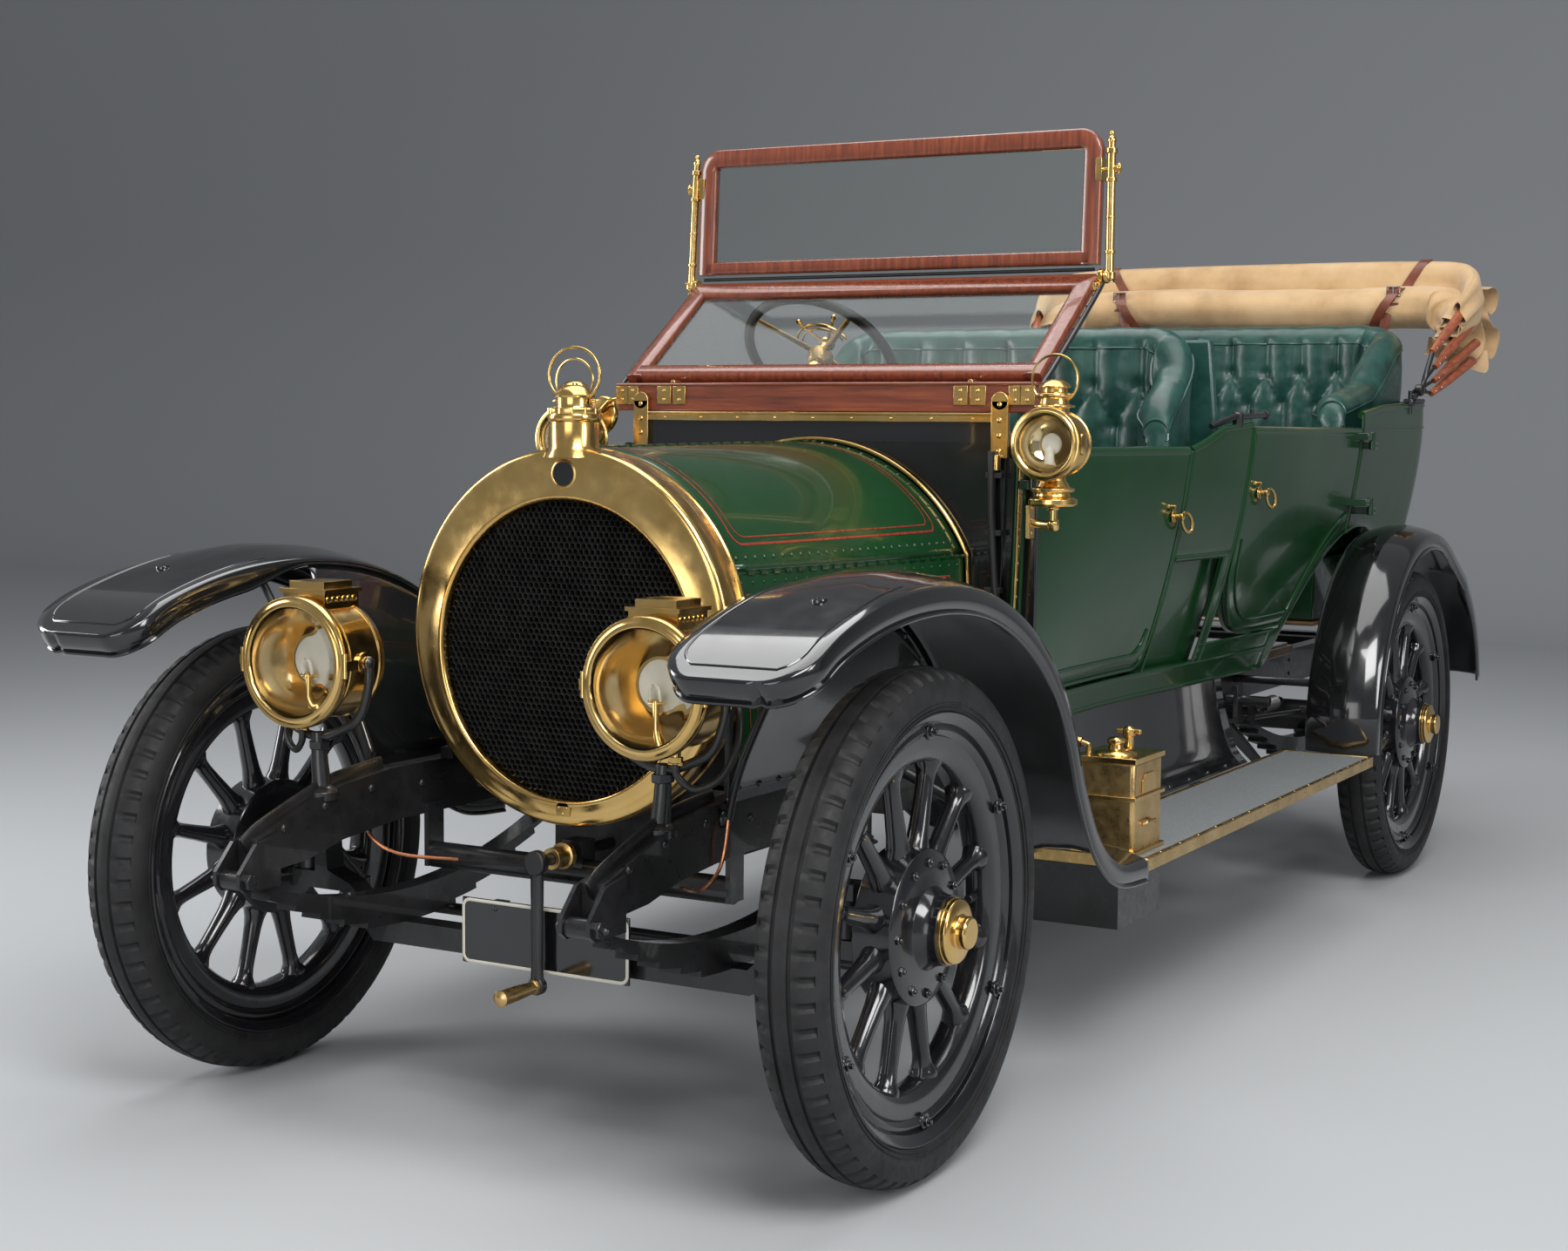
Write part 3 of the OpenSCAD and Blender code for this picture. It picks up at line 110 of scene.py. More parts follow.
# ---------------------------------------------------------------- materials

def new_material(name, color, rough, metal=0.0, coat=0.0, spec=0.5):
    m = bpy.data.materials.new(name)
    m.use_nodes = True
    b = m.node_tree.nodes["Principled BSDF"]
    b.inputs["Base Color"].default_value = (*color, 1)
    b.inputs["Roughness"].default_value = rough
    b.inputs["Metallic"].default_value = metal
    b.inputs["Coat Weight"].default_value = coat
    b.inputs["Coat Roughness"].default_value = 0.04
    b.inputs["Specular IOR Level"].default_value = spec
    return m, m.node_tree, b


def coords(nt, stretch=(1, 1, 1)):
    tc = nt.nodes.new("ShaderNodeTexCoord")
    mp = nt.nodes.new("ShaderNodeMapping")
    mp.inputs["Scale"].default_value = stretch
    nt.links.new(tc.outputs["Object"], mp.inputs["Vector"])
    return mp.outputs["Vector"]


def noise_node(nt, vector, scale, detail=4.0, rough=0.55):
    n = nt.nodes.new("ShaderNodeTexNoise")
    n.inputs["Scale"].default_value = scale
    n.inputs["Detail"].default_value = detail
    n.inputs["Roughness"].default_value = rough
    nt.links.new(vector, n.inputs["Vector"])
    return n.outputs["Fac"]


def ramp(nt, fac, stops):
    r = nt.nodes.new("ShaderNodeValToRGB")
    while len(r.color_ramp.elements) < len(stops):
        r.color_ramp.elements.new(0.5)
    for e, (pos, col) in zip(r.color_ramp.elements, stops):
        e.position = pos
        e.color = (*col, 1) if len(col) == 3 else col
    nt.links.new(fac, r.inputs["Fac"])
    return r.outputs["Color"]


def bump(nt, b, height, strength, distance=0.001):
    n = nt.nodes.new("ShaderNodeBump")
    n.inputs["Strength"].default_value = strength
    n.inputs["Distance"].default_value = distance
    nt.links.new(height, n.inputs["Height"])
    nt.links.new(n.outputs["Normal"], b.inputs["Normal"])
    return n


def varied(name, dark, light, rough, metal=0.0, coat=0.0, scale=9.0, grain=0.0, grain_scale=400.0,
           rough_spread=0.1, spec=0.5, stretch=(1, 1, 1)):
    """Paint, metal or rubber whose colour and gloss change softly over the surface."""
    m, nt, b = new_material(name, light, rough, metal, coat, spec)
    v = coords(nt, stretch)
    f = noise_node(nt, v, scale)
    nt.links.new(ramp(nt, f, [(0.3, dark), (0.7, light)]), b.inputs["Base Color"])
    g = noise_node(nt, v, scale * 4.3, 6.0)
    low, high = max(0.02, rough - rough_spread), rough + rough_spread
    nt.links.new(ramp(nt, g, [(0.3, (low,) * 3), (0.75, (high,) * 3)]), b.inputs["Roughness"])
    if grain:
        bump(nt, b, noise_node(nt, v, grain_scale, 3.0), grain)
    return m


def wood(name, dark, mid, light, along=0):
    stretch = [26.0, 26.0, 26.0]
    stretch[along] = 1.6
    m, nt, b = new_material(name, mid, 0.28, 0.0, 0.7)
    v = coords(nt, stretch)
    f = noise_node(nt, v, 4.0, 8.0, 0.65)
    nt.links.new(ramp(nt, f, [(0.28, dark), (0.5, mid), (0.72, light)]), b.inputs["Base Color"])
    nt.links.new(ramp(nt, f, [(0.3, (0.34,) * 3), (0.7, (0.22,) * 3)]), b.inputs["Roughness"])
    bump(nt, b, f, 0.12)
    return m


def leather_material():
    m, nt, b = new_material("teal_leather", (0.012, 0.062, 0.048), 0.36, 0.0, 0.12)
    v = coords(nt)
    cells = nt.nodes.new("ShaderNodeTexVoronoi")
    cells.inputs["Scale"].default_value = 420
    nt.links.new(v, cells.inputs["Vector"])
    f = noise_node(nt, v, 14.0, 6.0)
    nt.links.new(ramp(nt, f, [(0.3, (0.006, 0.034, 0.028)), (0.55, (0.012, 0.06, 0.047)),
                              (0.8, (0.024, 0.09, 0.07))]), b.inputs["Base Color"])
    nt.links.new(ramp(nt, noise_node(nt, v, 60.0), [(0.3, (0.28,) * 3), (0.7, (0.45,) * 3)]),
                 b.inputs["Roughness"])
    bump(nt, b, cells.outputs["Distance"], 0.16, 0.0006)
    return m


def canvas_material():
    m, nt, b = new_material("tan_duck", (0.56, 0.38, 0.2), 0.85, spec=0.25)
    b.inputs["Sheen Weight"].default_value = 0.25
    v = coords(nt)
    waves = []
    for axis in ("X", "Y", "Z"):
        w = nt.nodes.new("ShaderNodeTexWave")
        w.bands_direction = axis
        w.inputs["Scale"].default_value = 190
        w.inputs["Distortion"].default_value = 0.6
        nt.links.new(v, w.inputs["Vector"])
        waves.append(w.outputs["Fac"])
    a = nt.nodes.new("ShaderNodeMath")
    a.operation = "MULTIPLY"
    nt.links.new(waves[0], a.inputs[0])
    nt.links.new(waves[1], a.inputs[1])
    c = nt.nodes.new("ShaderNodeMath")
    c.operation = "ADD"
    nt.links.new(a.outputs[0], c.inputs[0])
    nt.links.new(waves[2], c.inputs[1])
    f = noise_node(nt, v, 7.0, 8.0, 0.6)
    nt.links.new(ramp(nt, f, [(0.25, (0.38, 0.235, 0.11)), (0.5, (0.53, 0.35, 0.18)),
                              (0.8, (0.62, 0.44, 0.25))]), b.inputs["Base Color"])
    bump(nt, b, c.outputs[0], 0.3, 0.0008)
    return m


def lino_material():
    m, nt, b = new_material("lino", (0.2, 0.21, 0.21), 0.5)
    v = coords(nt)
    f = noise_node(nt, v, 240.0, 4.0, 0.7)
    nt.links.new(ramp(nt, f, [(0.3, (0.13, 0.14, 0.145)), (0.7, (0.27, 0.285, 0.29))]),
                 b.inputs["Base Color"])
    bump(nt, b, f, 0.25)
    return m


def glass_material(name, tint, rough=0.0):
    m, nt, b = new_material(name, tint, rough)
    b.inputs["Transmission Weight"].default_value = 1.0
    b.inputs["IOR"].default_value = 1.12
    v = coords(nt)
    nt.links.new(ramp(nt, noise_node(nt, v, 6.0), [(0.3, (rough + 0.0,) * 3), (0.8, (rough + 0.03,) * 3)]),
                 b.inputs["Roughness"])
    return m


GREEN = varied("coach_green", (0.005, 0.034, 0.010), (0.008, 0.047, 0.014), 0.2, coat=0.35, scale=3,
               rough_spread=0.05, grain=0.02, grain_scale=60, spec=0.3)
GREEN_TRIM = varied("coach_green_trim", (0.004, 0.026, 0.008), (0.007, 0.038, 0.012), 0.22, coat=0.6)
BLACK = varied("coach_black", (0.005, 0.005, 0.0055), (0.009, 0.009, 0.0105), 0.15, coat=0.8, scale=4,
               rough_spread=0.06, grain=0.02, grain_scale=70)
CHASSIS = varied("chassis_black_paint", (0.006, 0.006, 0.006), (0.017, 0.017, 0.019), 0.34, coat=0.3,
                 scale=12, grain=0.12, grain_scale=220)
WHEEL = varied("wheel_black_paint", (0.006, 0.006, 0.007), (0.012, 0.012, 0.014), 0.2, coat=0.6,
               scale=10, grain=0.05, grain_scale=160)
BRASS = varied("brass_polished", (0.66, 0.42, 0.13), (0.84, 0.58, 0.23), 0.2, metal=1.0, scale=7,
               rough_spread=0.09, grain=0.03, grain_scale=300)
BRASS_DULL = varied("brass_satin", (0.5, 0.33, 0.12), (0.72, 0.5, 0.22), 0.34, metal=1.0, scale=16,
                    rough_spread=0.12, grain=0.08, grain_scale=420)
REFLECTOR = varied("reflector", (0.7, 0.56, 0.34), (0.86, 0.74, 0.5), 0.16, metal=1.0, scale=5)
STEEL = varied("steel_bright", (0.3, 0.3, 0.31), (0.55, 0.55, 0.57), 0.3, metal=1.0, scale=20,
               grain=0.1, grain_scale=300)
COPPER = varied("copper_pipe", (0.36, 0.13, 0.06), (0.6, 0.25, 0.13), 0.3, metal=1.0, scale=14)
IRON = varied("iron_cast", (0.03, 0.03, 0.032), (0.09, 0.09, 0.095), 0.55, metal=0.6, scale=14,
              grain=0.3, grain_scale=150)
RUBBER = varied("tyre_black", (0.011, 0.011, 0.0115), (0.024, 0.024, 0.025), 0.62, scale=18,
                rough_spread=0.12, grain=0.25, grain_scale=500, spec=0.3)
HOSE = varied("hose_black", (0.01, 0.01, 0.01), (0.02, 0.02, 0.02), 0.45, scale=30, grain=0.1)
CORE = varied("core_black", (0.012, 0.012, 0.012), (0.035, 0.034, 0.033), 0.42, metal=0.5, scale=25,
              grain=0.1)
RED = varied("coach_line_red", (0.2, 0.02, 0.012), (0.32, 0.035, 0.02), 0.3, coat=0.4)
PALE = varied("pale_border", (0.6, 0.57, 0.48), (0.76, 0.73, 0.64), 0.4, coat=0.2)
STRAP = varied("strap_leather", (0.1, 0.025, 0.012), (0.2, 0.055, 0.025), 0.42, coat=0.15, scale=22,
               grain=0.25, grain_scale=260)
CREAM = varied("burner_white", (0.6, 0.58, 0.5), (0.78, 0.76, 0.7), 0.5)
MAHOGANY = wood("mahogany_x", (0.075, 0.014, 0.006), (0.17, 0.038, 0.016), (0.26, 0.07, 0.03), 0)
MAHOGANY_Z = wood("mahogany_z", (0.075, 0.014, 0.006), (0.17, 0.038, 0.016), (0.26, 0.07, 0.03), 2)
ASH = wood("bow_wood", (0.12, 0.025, 0.01), (0.3, 0.075, 0.03), (0.4, 0.12, 0.05), 1)
BOARDS = wood("floor_boards", (0.08, 0.045, 0.02), (0.15, 0.085, 0.04), (0.2, 0.12, 0.06), 1)
LEATHER = leather_material()
CANVAS = canvas_material()
LINO = lino_material()
GLASS = glass_material("plate_glass", (0.93, 0.97, 0.95))
LENS = glass_material("lamp_glass", (0.97, 0.96, 0.92), 0.01)

# ---------------------------------------------------------------- mesh helpers


class Build:
    """Collects the parts of one piece as points and faces, in the tables' millimetres."""

    def __init__(self):
        self.v, self.f = [], []

    def grid(self, rows, close_u=False, close_v=False, caps=False):
        """rows of points; close_u joins the last row to the first, close_v the ends of each row."""
        base, n, w = len(self.v), len(rows), len(rows[0])
        for row in rows:
            self.v += [Vector(p) for p in row]
        for i in range(n if close_u else n - 1):
            for k in range(w if close_v else w - 1):
                a, b = base + i * w, base + ((i + 1) % n) * w
                k2 = (k + 1) % w
                self.f.append((a + k, b + k, b + k2, a + k2))
        if caps:
            self.f.append(tuple(base + k for k in range(w)))
            self.f.append(tuple(base + (n - 1) * w + k for k in reversed(range(w))))
        return self

    def lathe(self, at, axis, profile, n=48, closed=False):
        """profile is [(radius, distance along the axis)]."""
        at, axis = Vector(at), unit(Vector(axis))
        side = unit(axis.orthogonal())
        other = axis.cross(side)
        rows = []
        for i in range(n):
            a = 2 * math.pi * i / n
            d = side * math.cos(a) + other * math.sin(a)
            rows.append([at + d * max(r, 0.01) + axis * h for r, h in profile])
        return self.grid(rows, close_u=True, close_v=closed)

    def tube(self, points, r, n=10, closed=False, flat=1.0, up=None):
        """A round or flattened bar along points; r may be a function of the share of the way."""
        pts = [Vector(p) for p in points]
        rows = []
        u = Vector(up) if up else None
        for i, p in enumerate(pts):
            if closed:
                t = unit(pts[(i + 1) % len(pts)] - pts[i - 1])
            else:
                t = unit(pts[min(i + 1, len(pts) - 1)] - pts[max(i - 1, 0)])
            if u is None or (not up and abs(u.dot(t)) > 0.999):
                u = t.orthogonal()
            s = unit(t.cross(u))
            w = unit(s.cross(t))
            if not up:
                u = w
            rr = r(i / (len(pts) - 1)) if callable(r) else r
            rows.append([p + (s * math.cos(q) * rr) + (w * math.sin(q) * rr * flat)
                         for q in (2 * math.pi * k / n for k in range(n))])
        return self.grid(rows, close_u=closed, close_v=True, caps=not closed)

    def box(self, low, high):
        x0, y0, z0 = low
        x1, y1, z1 = high
        base = len(self.v)
        self.v += [Vector((x, y, z)) for z in (z0, z1) for y in (y0, y1) for x in (x0, x1)]
        for q in ((0, 2, 3, 1), (4, 5, 7, 6), (0, 1, 5, 4), (2, 6, 7, 3), (0, 4, 6, 2), (1, 3, 7, 5)):
            self.f.append(tuple(base + i for i in q))
        return self

    def prism(self, outline, direction):
        """A flat outline of points pushed along a vector."""
        base, n = len(self.v), len(outline)
        d = Vector(direction)
        self.v += [Vector(p) for p in outline] + [Vector(p) + d for p in outline]
        self.f.append(tuple(base + i for i in reversed(range(n))))
        self.f.append(tuple(base + n + i for i in range(n)))
        for i in range(n):
            k = (i + 1) % n
            self.f.append((base + i, base + k, base + n + k, base + n + i))
        return self

    def dome(self, at, axis, r, h=None, n=10):
        h = h or r * 0.6
        return self.lathe(at, axis, [(r, -0.5), (r, h * 0.1), (r * 0.86, h * 0.55), (r * 0.5, h * 0.9),
                                     (0, h)], n)

    def hexagon(self, at, axis, r, h):
        """A hexagonal nut or bolt head."""
        return self.lathe(at, axis, [(r, -1), (r, h * 0.85), (r * 0.86, h), (0, h)], 6)

    def make(self, name, material, body, slot=None, bevel=0.0, sharp=40, solid=0.0, subdivide=0,
             replaces=(), recalc=True):
        mesh = bpy.data.meshes.new(name)
        bm = bmesh.new()
        verts = [bm.verts.new(P(*p)) for p in self.v]
        for f in self.f:
            try:
                bm.faces.new([verts[i] for i in f])
            except ValueError:
                pass
        bmesh.ops.remove_doubles(bm, verts=bm.verts, dist=2e-5)
        if recalc:
            bmesh.ops.recalc_face_normals(bm, faces=bm.faces)
        bm.to_mesh(mesh)
        bm.free()
        mesh.shade_smooth()
        mesh.set_sharp_from_angle(angle=math.radians(sharp))
        o = bpy.data.objects.new(name, mesh)
        bpy.context.scene.collection.objects.link(o)
        mesh.materials.append(material)
        if solid:
            s = o.modifiers.new("thick", "SOLIDIFY")
            s.thickness = solid / 1000
            s.offset = 0
        if bevel:
            b = o.modifiers.new("bevel", "BEVEL")
            b.width = bevel / 1000
            b.segments = 2
            b.limit_method = "ANGLE"
            b.angle_limit = math.radians(sharp)
        if subdivide:
            d = o.modifiers.new("subdivide", "SUBSURF")
            d.levels = d.render_levels = subdivide
        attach(o, body)
        if replaces:
            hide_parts(*replaces)
        return o


def mirrored(build, sign):
    """The same parts on the right side of the car where sign is -1."""
    if sign > 0:
        return build
    out = Build()
    out.v = [Vector((-p.x, p.y, p.z)) for p in build.v]
    out.f = [tuple(reversed(f)) for f in build.f]
    return out


def both(build):
    """The parts on both sides, as one piece."""
    other = mirrored(build, -1)
    n = len(build.v)
    out = Build()
    out.v = build.v + other.v
    out.f = build.f + [tuple(i + n for i in f) for f in other.f]
    return out


# ---------------------------------------------------------------- wheels and tyres

RIM = [(372, -50), (371, -45), (357, -41), (352, -30), (352, 30), (357, 41), (371, 45), (372, 50),
       (364, 55), (352, 50), (345, 44), (345, -44), (352, -50), (364, -55)]
FELLOE = [(346, -36), (346, 36), (334, 41), (326, 37), (322, 32), (303, 30), (288, 27), (280, 19),
          (278, 0), (280, -19), (288, -27), (303, -30), (322, -32), (326, -37), (334, -41)]
SPOKES = 12
SPOKE_ROWS = [(96, 25, 22), (134, 25, 22), (146, 20, 20), (165, 17, 18), (205, 15, 16.5),
              (245, 14, 16), (262, 16, 18), (272, 22, 22), (280, 28, 25), (290, 28, 25)]
HUB = [(40, -46), (60, -46), (60, -40), (128, -38), (133, -34), (133, 34), (128, 38), (98, 41), (72, 46),
       (64, 58), (60, 70), (60, 82), (40, 82)]
CAP = [(40, 80), (55.5, 80), (55.5, 96), (53, 99), (50, 100), (48, 101), (30, 102), (28, 104),
       (28, 118), (25, 121.5), (0, 121.5)]
TREAD = [(-40, 353), (-50, 362), (-57, 374), (-60.5, 388), (-60.5, 400), (-57.5, 412), (-54, 419.5),
         (-53, 421), (-46, 428), (-37, 433.5), (-27, 436.5), (-20, 437.8), (-19, 433.5), (-13, 434.2),
         (-12, 438.8), (-6, 439.7)]
SLOTS = 66
SLOT_COLUMNS = 7


def wheel(end, side):
    name = f"wheel_{end}_{side}"
    sign = 1 if side == "left" else -1
    y = 0 if end == "front" else WHEELBASE
    at = (WHEEL_X, y, HUB_Z)
    w = Build().lathe(at, (1, 0, 0), RIM, 96, closed=True)
    w.lathe(at, (1, 0, 0), FELLOE, 96, closed=True)
    w.lathe(at, (1, 0, 0), HUB, 64)
    for i in range(SPOKES):
        a = 2 * math.pi * (i + 0.5) / SPOKES
        out, round_ = Vector((0, math.cos(a), math.sin(a))), Vector((0, -math.sin(a), math.cos(a)))
        w.grid([[Vector(at) + out * r + round_ * (wide * math.cos(q)) + Vector((thick * math.sin(q), 0, 0))
                 for q in angles(16)]
                for r, wide, thick in SPOKE_ROWS], close_v=True)
        a = 2 * math.pi * i / SPOKES
        out = Vector((0, math.cos(a), math.sin(a)))
        w.hexagon(Vector(at) + out * 112 + Vector((38, 0, 0)), (1, 0, 0), 9, 7)
        w.dome(Vector(at) + out * 112 + Vector((45, 0, 0)), (1, 0, 0), 4.5, 5)
        if i % 2:
            p = Vector(at) + out * 333
            w.hexagon(p + Vector((40, 0, 0)), (1, 0, 0), 10, 7)
            w.lathe(p + Vector((46, 0, 0)), (1, 0, 0), [(4.5, 0), (4.5, 7), (0, 8)], 10)
            w.lathe(p + Vector((36, 0, 0)), (1, 0, 0), [(15, 0), (15, 5), (12, 6), (0, 6)], 16)
    valve = Vector((0, 1, 0))
    w.tube([Vector(at) + valve * r for r in (352, 300, 262)], 6, 10)
    w.tube([Vector(at) + valve * r for r in (268, 246)], 8.5, 10)
    if end == "rear":
        w.lathe(at, (1, 0, 0), [(60, -86), (176, -86), (180, -82), (180, -52), (176, -48), (136, -34)], 64)
    else:
        w.lathe(at, (1, 0, 0), [(45, -46), (54, -52), (54, -60), (40, -62)], 40)
    mirrored(w, sign).make(name + "_wood", WHEEL, name, "wheel_black", bevel=1.2, replaces=[name])
    cap = Build().lathe(at, (1, 0, 0), CAP, 48)
    cap.lathe(at, (1, 0, 0), [(40, 84), (57, 84), (57, 89), (40, 89)], 48)
    mirrored(cap, sign).make(name + "_cap", BRASS, name, "polished_brass", bevel=0.8, sharp=30)


def tyre(end, side):
    name = f"tyre_{end}_{side}"
    sign = 1 if side == "left" else -1
    y = 0 if end == "front" else WHEELBASE
    section = TREAD + [(0, 440)] + [(-t, r) for t, r in reversed(TREAD)]
    columns = SLOTS * SLOT_COLUMNS
    rows = []
    for i in range(columns):
        a = 2 * math.pi * i / columns
        in_slot = (i % SLOT_COLUMNS) in (0, 1)
        row = []
        for t, r in section:
            deep = 5.0 if in_slot and 22 < abs(t) < 54 else 0.0
            row.append((WHEEL_X + t * (1 - deep / 90), y + (r - deep) * math.cos(a),
                        HUB_Z + (r - deep) * math.sin(a)))
        rows.append(row)
    tread = Build().grid(rows, close_u=True)
    for s in (-1, 1):
        for r in (372, 380):
            tread.tube([(WHEEL_X + s * (57.6 if r == 372 else 59.6), y + r * math.cos(a),
                         HUB_Z + r * math.sin(a))
                        for a in angles(96)], 1.3, 6, closed=True)
    mirrored(tread, sign).make(name + "_tread", RUBBER, f"wheel_{end}_{side}", "tyre_rubber", sharp=32,
                               replaces=[name])


for end in ("front", "rear"):
    for side in ("left", "right"):
        wheel(end, side)
        tyre(end, side)

# ---------------------------------------------------------------- wings

WING_IN, WING_OUT = 545, 800
REAR_WING_IN = 610
REAR_WING_R = 545
FRONT_WING = [(-534, 904), (-420, 965), (-240, 1008), (-40, 1018), (140, 994), (300, 932), (430, 838),
              (520, 722), (580, 600), (660, 490), (770, 425), (920, 409)]
REAR_WING_TAIL = [(3620, 838), (3735, 738), (3810, 630), (3846, 520)]
CROWN = [(0, 0), (0.12, 9), (0.35, 22), (0.6, 24), (0.85, 14), (1, 1)]


def path_frames(path):
    """Each point of a (y, z) path with its normal, which points up or outwards."""
    out = []
    for i, p in enumerate(path):
        d = unit(path[min(i + 1, len(path) - 1)] - path[max(i - 1, 0)])
        out.append((p, Vector((-d.y, d.x))))
    return out


def wing(path, x_in, x_out, corner, lip_in=10.0):
    """A crowned wing with a lip along its sides and round its front corners, and beads along its edges."""
    frames = path_frames(path)
    walked, total = [0.0], 0.0
    for a, b in zip(path, path[1:]):
        total += (b - a).length
        walked.append(total)
    shares = span(0, 1, 14)
    crown = [lookup(t, CROWN) for t in shares]
    rows, rims = [], ([], [])
    for (p, n), s in zip(frames, walked):
        cut = corner - math.sqrt(max(0, corner ** 2 - max(0, corner - s) ** 2)) if s < corner else 0
        x0, x1 = x_in + cut * 0.8, x_out - cut
        flat = smooth((s - 150) / 330) if corner else 1
        row = [Vector((x0 + (x1 - x0) * t, p.x + n.x * c * flat, p.y + n.y * c * flat))
               for t, c in zip(shares, crown)]
        rows.append(row)
        deep = lerp(42, lip_in, smooth((s - 300) / 200)) if corner else lip_in
        down = Vector((0, -n.x, -n.y))
        rims[0].append((row[0], down, deep))
        rims[1].append((row[-1], down, 42))
    front = [(q, rims[0][0][1], 42) for q in rows[0][1:-1]]
    rim = list(reversed(rims[0])) + front + rims[1] if corner else None
    b, beads = Build().grid(rows), Build()
    for line in ([rim] if rim else [rims[0], rims[1]]):
        lip, edge = [], []
        for i, (q, d, deep) in enumerate(line):
            t = unit(line[min(i + 1, len(line) - 1)][0] - line[max(i - 1, 0)][0])
            out = unit(t.cross(d))
            if not rim:
                out = Vector((1 if q.x > (x_in + x_out) / 2 else -1, 0, 0))
            elif out.dot(q - Vector((x_in + x_out, 0, 0)) / 2) < 0 and i > len(rims[0]) + len(front):
                out = -out
            elif out.x > 0 and i < len(rims[0]):
                out = -out
            elif len(rims[0]) <= i < len(rims[0]) + len(front) and out.y > 0:
                out = -out
            lip.append([q, q + d * 3 + out * 3, q + d * deep * 0.5 + out * 4, q + d * deep + out * 3])
            edge.append(lip[-1][-1])
        b.grid(lip)
        beads.tube(edge, 4.0, 8)
    if corner:
        line = [(p, n, s, row) for (p, n), s, row in zip(frames, walked, rows) if 24 <= s <= 400]
        left, right_side = [], []
        for p, n, s, _ in line:
            e = max(0, 56 - (s - 24))
            round_in = 56 - math.sqrt(max(0, 3136 - e * e))
            for store, x in ((left, x_in + 22 + round_in), (right_side, x_out - 24 - round_in)):
                flat = smooth((s - 150) / 330)
                c = lookup((x - x_in) / (x_out - x_in), CROWN) * flat + 0.8
                store.append(Vector((x, p.x + n.x * c, p.y + n.y * c)))
        beads.tube(list(reversed(left)) + right_side, 2.6, 8)
        p, n, s, _ = line[len(line) * 2 // 3]
        c = 4 + 24 * smooth((s - 150) / 330)
        beads.lathe(((x_in + x_out) / 2 + 24, p.x + n.x * (c - 3), p.y + n.y * (c - 3)), (0, n.x, n.y),
                    [(0, 3), (6, 3), (6, 4), (12, 4), (13, 2), (13, -3)], 20)
    return b, beads


front_path = [Vector((p.x, p.y)) for p in curve([(a, c, 0) for a, c in FRONT_WING], 12)]
FRONT_CORNER = 75
ahead_of = [FRONT_CORNER * (1 - math.cos(math.radians(a))) for a in span(0, 90, 10)]
lengths = [0.0]
for a, b in zip(front_path, front_path[1:]):
    lengths.append(lengths[-1] + (b - a).length)


def front_at(s):
    """The point of the front wing's path at a length from its front edge."""
    return Vector((lookup(s, [(l, q.x) for l, q in zip(lengths, front_path)]),
                   lookup(s, [(l, q.y) for l, q in zip(lengths, front_path)])))


front_path = [front_at(s) for s in ahead_of] + [q for l, q in zip(lengths, front_path) if l > 90]
rear_path = [Vector((WHEELBASE + REAR_WING_R * math.cos(math.radians(172)), 412.3))]
rear_path += [Vector((WHEELBASE + REAR_WING_R * math.cos(math.radians(a)),
                      HUB_Z + REAR_WING_R * math.sin(math.radians(a)))) for a in span(172, 62, 44)]
rear_path += [Vector((p.x, p.y)) for p in curve([(a, c, 0) for a, c in REAR_WING_TAIL], 8)]

RAIL_OUT = 387
for label, path, x_in, corner, node in (
        ("front_wing", front_path, WING_IN, FRONT_CORNER, "front_wings"),
        ("rear_wing", rear_path, REAR_WING_IN, 0, "rear_wings")):
    sheet_parts, bead_parts = wing(path, x_in, WING_OUT - 3, corner)
    both(sheet_parts).make(label + "_sheets", BLACK, "chassis", "wing_black", solid=3, sharp=50,
                           replaces=[node])
    both(bead_parts).make(label + "_beads", BLACK, "chassis", "wing_black")


def front_edge(y):
    """Height of the front wing's path above a place along the car."""
    return lookup(y, [(p.x, p.y) for p in front_path])


stays = Build()
stays.tube(curve([(395, -60, 600), (430, -75, 700), (520, -120, 850),
                  (600, -150, front_edge(-150) - 6)], 8), 8, 12)
stays.tube([(392, 640, 590), (470, 640, 556), (590, 640, 512)], 11, 12)
stays.tube([(388, 2690, 592), (660, 2690, 592)], 11, 12)
stays.tube([(388, 3790, 585), (660, 3790, 585)], 11, 12)
stays.dome((388, -60, 600), (1, 0, 0), 16, 10, 16)
both(stays).make("wing_stays", CHASSIS, "chassis", "chassis_black", bevel=0.8)


valance = Build()
rows = []
for y in span(-60, 500, 28):
    top = front_edge(y) - 2
    rows.append([(lerp(RAIL_OUT, WING_IN + 3, t), y, lerp(626, top, t)) for t in span(0, 1, 10)])
valance.grid(rows)
both(valance).make("front_valances", BLACK, "chassis", "wing_black", solid=2.5)
bolts = Build()
for y in span(-30, 470, 7):
    for t in (0.06, 0.94):
        bolts.dome((lerp(RAIL_OUT, WING_IN + 3, t) + 2, y, lerp(626, front_edge(y) - 2, t) + 1),
                   (0.9, 0, -0.4), 6, 4)
# The inner sheet of each rear wing, between the body and the wing
inner = Build()
rows = []
for a in span(176, 20, 40):
    c, s = cos_sin(a)
    rows.append([(REAR_WING_IN + 2, WHEELBASE + r * c, max(415, HUB_Z + r * s)) for r in (470, 510, 543)])
inner.grid(rows)
both(inner).make("rear_wing_inners", BLACK, "chassis", "wing_black", solid=2.5)
for a in span(165, 35, 9):
    c, s = cos_sin(a)
    bolts.dome((REAR_WING_IN + 4, WHEELBASE + 495 * c, HUB_Z + 495 * s), (1, 0, 0), 7, 5)
both(bolts).make("valance_bolts", BLACK, "chassis", "wing_black")

# ---------------------------------------------------------------- chassis details

